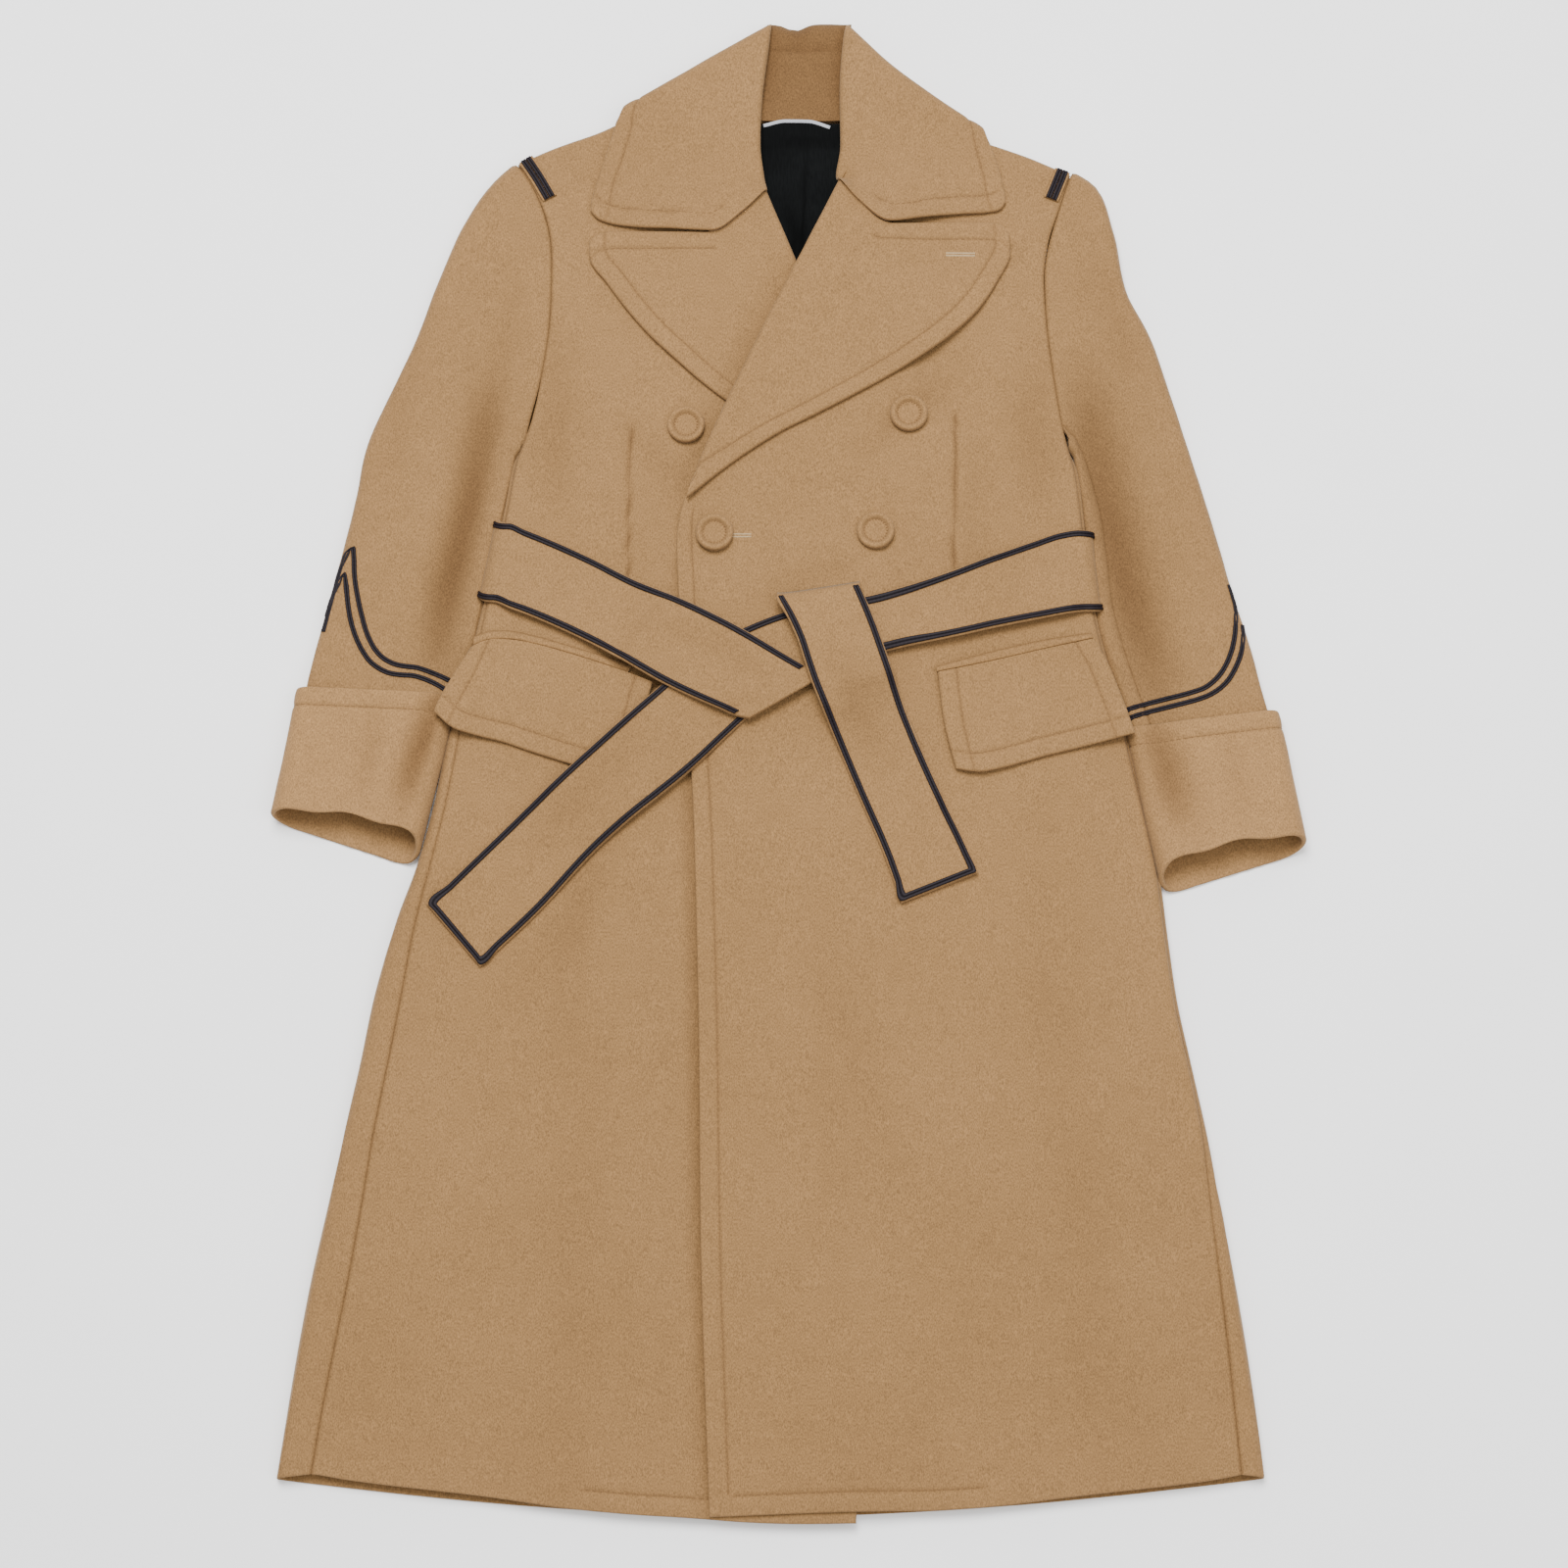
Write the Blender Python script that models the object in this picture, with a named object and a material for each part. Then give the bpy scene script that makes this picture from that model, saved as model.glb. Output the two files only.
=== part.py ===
"""Belted double-breasted wool coat, lying flat on its back.

X runs to the viewer's right, Y from the hem to the collar, Z up from the surface.
Tables are in millimetres on the layout; the wearer's right side is at negative X.
"""
import math

import bmesh
import bpy
import numpy as np

MM = 0.001
ORIGIN_X = 3.5
ORIGIN_Y = 34.5

CLOTH = 2.8
LAPEL_CLOTH = 5.0
COLLAR_CLOTH = 5.0
STAND_CLOTH = 4.0
CUFF_CLOTH = 4.0
FLAP_CLOTH = 4.5
WELT_CLOTH = 3.0
BELT_CLOTH = 4.0
LINING_CLOTH = 1.5
TAB_CLOTH = 1.5
BRAID_HEIGHT = 1.3
BELT_BRAID_WIDTH = 5.0
BELT_BRAID_INSET = 1.2
SLEEVE_BRAID_WIDTH = 4.2
BUTTON_RADIUS = 15.5
BUTTON_HEIGHT = 6.5

SEAM_GAP = 0.4
LAY_GAP = 0.6
WRAP_GAP = 1.4
ARMHOLE_GAP = {1: 0.7, -1: 2.0}
CELL = 2.0
FIELD_X = (-470.0, 470.0)
FIELD_Y = (-650.0, 700.0)

CAMEL = (0.52, 0.30, 0.125, 1.0)
NAVY = (0.02, 0.018, 0.045, 1.0)
BLACK = (0.012, 0.012, 0.014, 1.0)
SILVER = (0.45, 0.46, 0.5, 1.0)

# Body sections: y, left and right side edge, height of the top and underside,
# how far the side seams sit in from the left and right edges.
BODY_COLUMNS = ("y", "left", "right", "top", "floor", "seam_l", "seam_r")
BODY = np.array((
    (-610, -404, 383, 14, 0.0, 28, 20),
    (-545, -396, 375, 15, 0.0, 28, 19),
    (-472, -385, 366, 17, 0.0, 29, 16),
    (-411, -375, 357.5, 19, 0.0, 30, 13),
    (-350, -363, 348, 20, 0.0, 28, 10),
    (-288, -351, 337, 21, 0.0, 25, 4),
    (-226, -338, 325, 21, 0.0, 23, 2),
    (-163, -326, 313, 21, 0.0, 22, 2),
    (-115, -313, 308, 21, 0.0, 17, 2),
    (-59, -294, 301, 21, 0.0, 11, 2),
    (-2, -281, 288.5, 20, 0.0, 10, 2),
    (42, -273, 279, 20, 0.0, 9, 2),
    (79, -264, 271, 20, 4.0, 6, 2),
    (100, -258, 265.5, 20.5, 6.0, 5, 2),
    (120, -253, 260, 20.5, 6.0, 4, 2),
    (138, -249, 256, 21, 6.0, 3, 2),
    (180, -240, 251, 21, 6.0, 2, 2),
    (222, -232, 247.5, 21, 6.0, 2, 2),
    (262, -225, 243, 21, 6.0, 2, 2),
    (293, -220, 239, 21, 2.0, 2, 2),
    (310, -218, 238, 21, 0.0, 2, 2),
    (362, -209, 232, 21.5, 0.0, 2, 2),
    (413, -205, 228, 22, 0.0, 2, 2),
    (452, -206, 231, 22, 0.0, 2, 2),
    (491, -213, 242, 21, 1.0, 2, 2),
    (511, -222, 247, 20, 3.0, 2, 2),
    (531, -232, 252, 19, 5.0, 2, 2),
    (560, -243, 260, 18, 6.0, 2, 2),
    (600, -258, 272, 18, 6.0, 2, 2),
))
ARMPIT_LOW = 262.0
ARMPIT_HIGH = 310.0
SHOULDER_Y = {1: 531.0, -1: 520.0}

# Shoulder seams, with the neck opening between them: x, y.
SHOULDER = np.array((
    (-232, 527), (-193, 545), (-146, 563), (-100, 582), (-62, 640), (12, 700),
    (86, 640), (114, 574), (150, 557), (192, 542), (252, 516),
))
BACK_TOP = np.array((
    (-232, 527), (-193, 545), (-146, 563), (-100, 582), (-62, 575), (-22, 568),
    (51, 568), (86, 573), (114, 574), (150, 557), (192, 542), (252, 516),
))
HEM = np.array((
    (-400, -544), (-340, -555), (-281, -562), (-222, -569), (-166, -577), (-122, -581),
    (-58, -585), (-25, -587.5), (60, -588.5),
))
LEFT_HEM = np.array((
    (-58, -583), (53, -579), (144, -577), (215, -569), (277, -562), (335, -555), (380, -546),
))

# Front edges from the hem to the break, then the roll line up to the gorge: x, y.
RIGHT_FRONT_EDGE = np.array((
    (56, -588), (66, -396), (78, -164), (90, 20), (97, 127), (99, 190), (92, 236),
    (52, 335), (11, 435), (-16, 502),
))
LEFT_FRONT_EDGE = np.array((
    (-58, -583), (-65, -396), (-69, -164), (-76, 20), (-85, 127), (-87, 176), (-86, 222),
    (-77, 241), (-45, 314), (11, 434), (47, 508),
))
RIGHT_FRONT_TOP = np.array((
    (-232, 527), (-193, 545), (-146, 563), (-100, 582), (-62, 574), (-38, 545), (-16, 502),
))
LEFT_FRONT_TOP = np.array((
    (47, 508), (66, 546), (88, 570), (114, 574), (150, 557), (192, 542), (252, 516),
))
FRONT_ROWS = 1.0 - np.array((
    1.0, 0.955, 0.905, 0.855, 0.805, 0.755, 0.705, 0.655, 0.605, 0.555, 0.51, 0.465, 0.42, 0.375,
    0.335, 0.305, 0.275, 0.245, 0.21, 0.17, 0.13, 0.09, 0.055, 0.028, 0.0085, 0.003, 0.0,
))
FRONT_COLUMNS = np.array((0, 0.018, 0.038, 0.06, 0.12, 0.22, 0.34, 0.46, 0.58, 0.7, 0.8, 0.9, 1.0))
BACK_COLUMNS = np.array((
    0, 0.012, 0.024, 0.03, 0.036, 0.043, 0.05, 0.07, 0.11, 0.18, 0.27, 0.36, 0.45,
    0.55, 0.64, 0.73, 0.82, 0.89, 0.93, 0.95, 0.957, 0.964, 0.97, 0.976, 0.988, 1.0,
))

# Lapels: roll line, outer edge and top edge: x, y.
RIGHT_LAPEL_ROLL = np.array(((-16, 501), (11, 435), (52, 335), (89, 243)))
RIGHT_LAPEL_EDGE = np.array((
    (-163, 457), (-164, 448), (-152, 427), (-133, 400), (-108, 371), (-83, 348), (-58, 326),
    (-20, 301), (30, 275), (60, 256), (85, 238),
))
RIGHT_LAPEL_TOP = np.array((
    (-16, 501), (-33, 487), (-64, 465), (-100, 466), (-134, 466), (-156, 463), (-163, 457),
))
LEFT_LAPEL_ROLL = np.array(((47, 507), (11, 434), (-45, 314), (-77, 244)))
LEFT_LAPEL_EDGE = np.array((
    (188, 465), (190, 454), (179, 424), (161, 396), (129, 366), (90, 339), (38, 310), (-14, 282),
    (-40, 264), (-68, 242), (-80, 232),
))
LEFT_LAPEL_TOP = np.array(((47, 507), (88, 471), (130, 473), (175, 474), (188, 465)))
LAPEL_ROWS = np.array((0, 0.05, 0.12, 0.2, 0.29, 0.38, 0.47, 0.56, 0.65, 0.74, 0.83, 0.92, 1.0))
LAPEL_COLUMNS = np.array((0, 0.12, 0.34, 0.56, 0.78, 0.92, 1.0))

# Collar leaves: each row from the roll to the outer edge, then the silhouette fold.
COLLAR_FRONT_END = {
    1: np.array((
        (-16.5, 501.6), (-64, 466), (-108, 468), (-131, 470), (-146, 473), (-156, 477), (-162, 484),
    )),
    -1: np.array((
        (47.5, 508), (88.5, 472.2), (123, 478), (148, 481), (172, 483), (182, 486), (186, 492),
    )),
}
COLLAR_ROWS = {
    1: (((-19, 516), (-160.5, 498)), ((-22, 545), (-151, 531)), ((-20, 590), (-143.5, 556))),
    -1: (((46, 518), (184, 508)), ((50, 545), (179.5, 526)), ((49, 590), (175, 540))),
}
COLLAR_FOLD = {
    1: np.array(((-12, 656), (-61, 626.5), (-136, 581))),
    -1: np.array(((55, 655), (66, 644), (82, 627), (103, 609.5), (145, 578), (169, 561.5))),
}
COLLAR_TURN = {1: ((-0.1, -1.0), (-0.27, -0.96)), -1: ((-0.2, -0.98), (0.2, -0.97))}
COLLAR_BACK = ((16, 648), (16, 553))
COLLAR_COLUMNS = np.array((0, 0.15, 0.35, 0.55, 0.75, 0.88, 0.95, 1.0))
COLLAR_TOP = 25.0

# Collar stand: y, left and right side, height in the middle, height at the two sides.
STAND_COLUMNS = ("y", "left", "right", "middle", "side")
STAND = (
    (570.0, -24, 53, 11.0, 13.0), (586, -24, 53, 11.5, 15.0), (606, -22, 53, 12.5, 16.5),
    (624, -19, 53, 14.0, 17.5), (637, -15, 52.5, 15.5, 17.5), (647, -10.2, 51.5, 15.5, 17.0),
    (653, -8.2, 51.5, 13.8, 14.8), (656.5, -8.0, 51.5, 10.8, 11.4),
)

# Lining in the neck: y, left, right.
LINING = ((424, -40, 62), (460, -52, 78), (500, -58, 90), (540, -52, 84), (567.5, -24, 53))
HANGER = ((-17.5, 565), (-14, 566.5), (-4, 568.6), (11, 569.6), (25, 568.2), (36, 565.2), (39, 563.5))
HANGER_WIDTH = 3.0

# Sleeves: outer edge x and y, y where the row meets the inner edge, underside, top,
# pull of the armhole's curve.
SLEEVE_COLUMNS = ("outer_x", "outer_y", "inner_y", "floor", "top", "armhole")
SLEEVES = {
    1: np.array((
        (-232.6, 526.4, 284, 3.0, 19, 1.0),
        (-247, 511, 282, 0.5, 19, 0.78),
        (-270, 477, 278, 0.0, 19, 0.55),
        (-289, 430, 272, 0.0, 19, 0.34),
        (-306, 382, 262, 0.0, 18, 0.17),
        (-327, 332, 246, 0.0, 18, 0.06),
        (-346, 283, 225, 0.0, 18, 0.0),
        (-354, 240, 190, 0.0, 18, 0.0),
        (-363, 198, 150, 0.0, 18, 0.0),
        (-370, 168, 133, 0.0, 18, 0.0),
        (-381, 121, 110, 0.5, 18, 0.0),
        (-388, 92, 88, 3.5, 18.5, 0.0),
        (-391.5, 72, 66, 5.2, 19, 0.0),
        (-400, 25, 16, 5.2, 22, 0.0),
        (-409.5, -24, -50, 5.2, 27, 0.0),
    )),
    -1: np.array((
        (252.6, 515.4, 284, 3.0, 19, 1.0),
        (264, 508, 282, 0.5, 19, 0.78),
        (277, 472, 278, 0.0, 19, 0.55),
        (288, 416, 272, 0.0, 19, 0.34),
        (304, 382, 262, 0.0, 18, 0.17),
        (321, 330, 240, 0.0, 18, 0.06),
        (336, 280, 216, 0.0, 18, 0.0),
        (349, 234, 178, 0.0, 18, 0.0),
        (360, 192, 138, 0.0, 18, 0.0),
        (368, 160, 120, 0.0, 18, 0.0),
        (380, 120, 100, 0.0, 18, 0.0),
        (391, 76, 62, 3.5, 18.5, 0.0),
        (396.5, 54, 38, 5.2, 19, 0.0),
        (406, 4, -12, 5.2, 22, 0.0),
        (415.5, -48, -76, 5.2, 27, 0.0),
    )),
}
SLEEVE_INNER_CUFF = {
    1: np.array(((-50, 305.5), (-20, 298.5), (16, 287), (40, 281), (66, 275), (90, 266))),
    -1: np.array(((-76, 313), (-48, 308), (-12, 298.5), (14, 293), (38, 288), (64, 279.5))),
}
SLEEVE_SEAM_IN = {1: 4.0, -1: 17.0}
SLEEVE_COLUMNS_TOP = 9
UNDERARM_SEAM = -0.6

# Cuffs: outer edge x and y, inner edge x and y (front layer, then back layer), top.
CUFF_COLUMNS = (
    "outer_x", "outer_y", "inner_x", "inner_y", "back_outer_y", "back_inner_x", "back_inner_y", "top",
)
CUFFS = {
    1: np.array((
        (-398, 77, -268.5, 71, 77, -268.5, 71, 24.5),
        (-403, 48, -275, 42, 48, -275.5, 40, 26),
        (-409, 10, -284.5, 0, 8, -285.5, -6, 30),
        (-415.5, -28, -294.5, -49, -30, -301, -66, 33),
    )),
    -1: np.array((
        (403, 58, 281.5, 43, 58, 281.5, 43, 24.5),
        (408, 36, 287, 20, 34, 287.5, 18, 26),
        (415, -6, 295, -26, -8, 296.5, -30, 30),
        (422.5, -50, 305.5, -74, -54, 309.5, -88, 33),
    )),
}

# Pocket flaps and the welts above them: x, y.
FLAPS = {
    1: {
        "top": np.array((
            (-255, 109), (-233, 116), (-204, 111.5), (-175, 103.5), (-147, 94.5), (-127, 87.5), (-107, 79),
        )),
        "bottom": np.array((
            (-284, 54), (-274, 44), (-256, 36), (-238, 33), (-217, 26), (-177, 13), (-128, -2),
        )),
        "left": np.array(((-255, 109), (-267, 88), (-277, 71), (-284, 54))),
        "right": np.array(((-107, 79), (-114, 52), (-121, 25), (-128, -2))),
        "welt": np.array(((-253, 118.5), (-233, 124), (-204, 119), (-175, 110.5), (-147, 102), (-124, 94))),
        "welt_low": np.array((
            (-253.5, 110.5), (-233, 116.6), (-204, 112.1), (-175, 104.1), (-147, 95.1), (-127, 88.1),
        )),
    },
    -1: {
        "top": np.array(((125, 87), (171, 97), (216, 108), (253, 116))),
        "bottom": np.array(((139, 7), (147, 4), (159, 5), (214, 19), (260, 30), (284, 36))),
        "left": np.array(((125, 87), (130, 44), (139, 7))),
        "right": np.array(((253, 116), (262, 100), (272, 74), (284, 36))),
        "welt": np.array(((124, 92.5), (171, 105.5), (215, 116), (251, 121.5))),
        "welt_low": np.array(((124.5, 87.6), (171, 97.6), (216, 108.6), (252, 116.6))),
    },
}
FLAP_COLUMNS = 9
FLAP_ROWS = 4

# Belt lengths: upper and lower edge from the side of the coat inward: x, y.
LEFT_RUN_UPPER = np.array((
    (-214, 209), (-203, 204.5), (-152, 181), (-128, 168), (-85, 148), (-35, 122), (10, 95), (32, 82),
))
LEFT_RUN_LOWER = np.array((
    (-224, 140.5), (-215, 137), (-151, 107), (-128, 93), (-99, 76), (-56, 56), (-37, 48.5), (-28, 47),
))
RIGHT_RUN_UPPER = np.array((
    (228, 206), (206, 198.3), (183, 189.5), (132, 169.5), (80, 153), (-4, 136), (-40, 121), (-72, 100), (-103, 73),
    (-175, 8), (-230, -46), (-287, -103),
))
RIGHT_RUN_LOWER = np.array((
    (232, 136), (182, 126), (131, 114), (85, 104), (30, 88), (-6, 70), (-32, 47), (-75, 6),
    (-149, -57), (-199, -112), (-243, -154),
))
OVER_END_LEFT = np.array(((-6, 146), (8, 118), (21, 79), (43, 26), (62, -20), (79, -60), (94, -103)))
OVER_END_RIGHT = np.array(((62, 157), (72, 133), (86, 92), (104, 40), (130, -21), (145, -52), (156, -78)))
WRAP_Y = {1: (153.5, 220.0), -1: (141.5, 209.0)}
WRAP_TOP_Y = {1: (146.5, 213.5), -1: (138.5, 207.8)}
# Turn of the belt round the coat's side: degrees, distance past the rounding.
WRAP_TURNS = ((-90, 9.0), (-90, 0.0), (-60, 0.0), (-25, 0.0), (10, 0.0), (45, 0.0), (70, 0.0), (90, 1.0))
BELT_ACROSS = np.array((0, 0.115, 0.5, 0.885, 1.0))
LEFT_RUN_STEPS = 17
RIGHT_RUN_STEPS = 27
OVER_END_STEPS = 15

# Sleeve braid rows: x, y along the row.
SLEEVE_BRAIDS = {
    "right_sleeve_braid_upper": (1, np.array((
        (-377.5, 124), (-371, 150), (-363.5, 180), (-356, 195), (-352, 166), (-346, 138), (-339, 117),
        (-330, 103.5), (-316, 95), (-300, 92.5), (-283, 88)))),
    "right_sleeve_braid_lower": (1, np.array((
        (-360, 174), (-358.2, 155), (-355, 134), (-347.5, 113), (-336, 96.5), (-320, 87.5),
        (-302, 85.5), (-288, 81.5)))),
    "left_sleeve_braid_upper": (-1, np.array((
        (366, 164), (370.5, 143), (369.5, 126), (364.5, 104), (356, 88), (344, 77), (328, 71.5), (311, 67.5),
        (294, 63)))),
    "left_sleeve_braid_lower": (-1, np.array((
        (376.3, 130), (376, 122), (375, 112), (368.5, 93), (359.5, 79.5), (346, 70), (328, 64.3), (312, 60.5),
        (295, 56)))),
}
SHOULDER_TABS = {
    1: np.array(((-217.5, 531.5), (-207.5, 516), (-196.5, 496.5))),
    -1: np.array(((234.4, 521.5), (229.5, 509), (224, 495.5))),
}
TAB_WIDTH = 13.0
BUTTONS = {
    "button_right_upper": (-81, 298),
    "button_left_upper": (103, 305),
    "button_left_front": (-57, 204),
    "button_left_lower": (75, 205),
}
# Button profile: radius share, height share.
BUTTON_PROFILE = (
    (0.0, 0.55), (0.5, 0.55), (0.66, 0.72), (0.8, 1.0), (0.93, 0.86), (1.0, 0.45), (0.86, 0.0), (0.0, 0.0),
)
BUTTON_SEGMENTS = 18


def smooth(xs, ys, at):
    """Value at `at` of a smooth curve through a table; ys may have several columns."""
    xs = np.asarray(xs, float)
    ys = np.asarray(ys, float)
    flat = ys.ndim == 1
    if flat:
        ys = ys[:, None]
    at = np.asarray(at, float)
    shape = at.shape
    at = np.clip(at.ravel(), xs[0], xs[-1])
    step = np.diff(xs)[:, None]
    slope = np.diff(ys, axis=0) / step
    tangent = np.empty_like(ys)
    tangent[0] = slope[0]
    tangent[-1] = slope[-1]
    tangent[1:-1] = (slope[:-1] * step[1:] + slope[1:] * step[:-1]) / (step[1:] + step[:-1])
    flip = slope[:-1] * slope[1:] <= 0
    tangent[1:-1][flip] = 0.0
    i = np.clip(np.searchsorted(xs, at, side="right") - 1, 0, len(xs) - 2)
    h = step[i]
    t = ((at - xs[i]) / step[i, 0])[:, None]
    value = (
        (2 * t**3 - 3 * t**2 + 1) * ys[i] + (t**3 - 2 * t**2 + t) * h * tangent[i]
        + (3 * t**2 - 2 * t**3) * ys[i + 1] + (t**3 - t**2) * h * tangent[i + 1]
    )
    value = value.reshape(shape + (ys.shape[1],))
    if flat:
        value = value[..., 0]
    return value


def run(points, at):
    """Points at the shares `at` of the length of a smooth line through `points`."""
    points = np.asarray(points, float)
    length = np.concatenate(([0.0], np.cumsum(np.linalg.norm(np.diff(points, axis=0), axis=1))))
    return smooth(length / length[-1], points, at)


def by_x(table, x):
    """Height y of a line given as x, y rows."""
    return smooth(table[:, 0], table[:, 1], x)


def patch(low, high, start, end, us, vs):
    """Grid filling the space between four lines; rows follow vs, columns us."""
    u = us[None, :, None]
    v = vs[:, None, None]
    low = low[None]
    high = high[None]
    start = start[:, None]
    end = end[:, None]
    corners = (
        (1 - u) * (1 - v) * low[:, :1] + u * (1 - v) * low[:, -1:]
        + (1 - u) * v * high[:, :1] + u * v * high[:, -1:]
    )
    return (1 - v) * low + v * high + (1 - u) * start + u * end - corners


def between(first, second, shares):
    """Grid of points at the given shares of the way from one line to another."""
    return first[:, None] + (second - first)[:, None] * shares[None, :, None]


def body(y):
    """Named values of the body section at y."""
    values = smooth(BODY[:, 0], BODY[:, 1:], y)
    return {name: values[..., k] for k, name in enumerate(BODY_COLUMNS[1:])}


def side(y, hand):
    """Side edge, rounding radius, mid height and seam place (along the rounding) at y."""
    row = body(y)
    radius = (row["top"] - row["floor"]) / 2
    middle = (row["top"] + row["floor"]) / 2
    quarter = radius * math.pi / 2
    edge = row["left"] if hand > 0 else -row["right"]
    inset = row["seam_l"] if hand > 0 else row["seam_r"]
    near = np.clip(inset / radius, 0, 1)
    seam = radius * np.arccos(1 - near) + np.maximum(inset - radius, 0)
    rise = np.clip((y - ARMPIT_LOW) / (ARMPIT_HIGH - ARMPIT_LOW), 0, 1)
    rise = rise * rise * (3 - 2 * rise)
    front_seam = seam + (quarter - seam) * rise
    back_seam = (seam - SEAM_GAP) + (-quarter - seam + SEAM_GAP) * rise
    return edge, radius, middle, quarter, front_seam, back_seam


def shoulder_roll(x, y, radius):
    """Share of the rounding at the shoulder seam: 0 on the seam, 1 on the flat."""
    depth = np.clip((by_x(SHOULDER, x) - y) / radius, 0, 1)
    return np.sqrt(np.clip(1 - (1 - depth) ** 2, 0, 1)), 1 - depth


def front_grid(hand, edge_line, hem_line, top_line):
    """Outer face of a front and its outward direction."""
    start_y = by_x(hem_line, -366 if hand > 0 else 356)
    outer_y = start_y + (SHOULDER_Y[hand] - start_y) * FRONT_ROWS
    edge, radius, middle, quarter, seam, _ = side(outer_y, hand)
    start = np.stack((edge + radius - quarter + seam, outer_y), axis=1)
    inner = run(edge_line, FRONT_ROWS)
    inner[:, 0] *= hand
    shares = FRONT_COLUMNS
    low_x = start[0, 0] + (inner[0, 0] - start[0, 0]) * shares
    high_x = start[-1, 0] + (inner[-1, 0] - start[-1, 0]) * shares
    low = np.stack((low_x, by_x(hem_line, low_x * hand)), axis=1)
    high = np.stack((high_x, by_x(top_line, high_x * hand)), axis=1)
    low[0] = start[0]
    low[-1] = inner[0]
    high[0] = start[-1]
    high[-1] = inner[-1]
    plan = patch(low, high, start, inner, shares, FRONT_ROWS)
    return rolled(plan, hand, 1)


def rolled(plan, hand, up):
    """Lay an unrolled plan on the top (up 1) or underside (up -1), rounding the side."""
    y = plan[..., 1]
    edge, radius, middle, quarter, _, _ = side(y, hand)
    arc = plan[..., 0] - edge - radius + quarter
    turn = np.clip(arc / radius, -math.pi / 2, math.pi / 2)
    on_flat = arc >= quarter
    past = np.maximum(-quarter - arc, 0)
    x = np.where(on_flat, plan[..., 0], edge + radius * (1 - np.cos(turn)) + past)
    lift = radius * np.sin(turn)
    normal_x = np.where(on_flat, 0.0, -np.cos(turn))
    normal_z = np.where(on_flat, 1.0, np.sin(turn))
    share, fall = shoulder_roll(x * hand, y, radius)
    z = middle + up * (lift * share + 0.25 * (share < 0.01))
    tilt = np.where(x < -60, -0.36, 0.0)
    normal = np.stack((
        normal_x * share + fall * tilt,
        fall * 0.93,
        normal_z * share * up,
    ), axis=-1)
    normal /= np.linalg.norm(normal, axis=-1, keepdims=True)
    normal[..., 0] *= hand
    return np.stack((x * hand, y, z), axis=-1), normal


def back_grid():
    """Outer (lower) face of the back, wrapping up to both side seams."""
    columns = BACK_COLUMNS
    lines = {}
    for hand in (1, -1):
        table = HEM if hand > 0 else LEFT_HEM
        start_y = by_x(table, -366 if hand > 0 else 356)
        outer_y = start_y + (SHOULDER_Y[hand] - start_y) * FRONT_ROWS
        edge, radius, _, quarter, _, seam = side(outer_y, hand)
        line = np.stack((edge + radius - quarter - seam, outer_y), axis=1)
        line[:, 0] *= hand
        lines[hand] = line
    start = lines[1]
    end = lines[-1]
    low_x = start[0, 0] + (end[0, 0] - start[0, 0]) * columns
    high_x = start[-1, 0] + (end[-1, 0] - start[-1, 0]) * columns
    hem_y = start[0, 1] + (end[0, 1] - start[0, 1]) * columns - 32 * np.sin(columns * math.pi)
    low = np.stack((low_x, hem_y), axis=1)
    high = np.stack((high_x, by_x(BACK_TOP, high_x)), axis=1)
    high[0] = start[-1]
    high[-1] = end[-1]
    plan = patch(low, high, start, end, columns, FRONT_ROWS)
    half = len(columns) // 2
    left, left_normal = rolled(plan[:, :half], 1, -1)
    mirrored = plan[:, half:].copy()
    mirrored[..., 0] *= -1
    right, right_normal = rolled(mirrored, -1, -1)
    return np.concatenate((left, right), axis=1), np.concatenate((left_normal, right_normal), axis=1)


FIELD_COLUMNS = int((FIELD_X[1] - FIELD_X[0]) / CELL) + 1
FIELD_ROWS = int((FIELD_Y[1] - FIELD_Y[0]) / CELL) + 1
pile = np.zeros((FIELD_ROWS, FIELD_COLUMNS))


def finer(grid, limit):
    """Grid with its rows and columns split evenly until they are closer than limit."""
    for axis in (0, 1):
        spans = np.linalg.norm(np.diff(grid, axis=axis), axis=-1)
        parts = max(1, int(math.ceil(spans.max() / limit)))
        grid = np.moveaxis(grid, axis, 0)
        share = (np.arange(parts) / parts).reshape((1, parts) + (1,) * (grid.ndim - 1))
        split = grid[:-1, None] * (1 - share) + grid[1:, None] * share
        split = split.reshape((-1,) + grid.shape[1:])
        grid = np.moveaxis(np.concatenate((split, grid[-1:])), 0, axis)
    return grid


def cell_of(x, y):
    column = np.clip(np.rint((x - FIELD_X[0]) / CELL).astype(int), 0, FIELD_COLUMNS - 1)
    row = np.clip(np.rint((y - FIELD_Y[0]) / CELL).astype(int), 0, FIELD_ROWS - 1)
    return row, column


def press(grid):
    """Add the top of a piece to the height of the pile."""
    dense = finer(grid, CELL * 0.7)
    row, column = cell_of(dense[..., 0].ravel(), dense[..., 1].ravel())
    np.maximum.at(pile, (row, column), dense[..., 2].ravel())


def spread(reach):
    """Height of the pile, widened by reach on every side."""
    count = int(math.ceil(reach / CELL))
    wide = pile.copy()
    for axis in (0, 1):
        source = wide.copy()
        for shift in range(1, count + 1):
            moved = np.roll(source, shift, axis)
            np.maximum(wide, moved, out=wide)
            moved = np.roll(source, -shift, axis)
            np.maximum(wide, moved, out=wide)
    return wide


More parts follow.
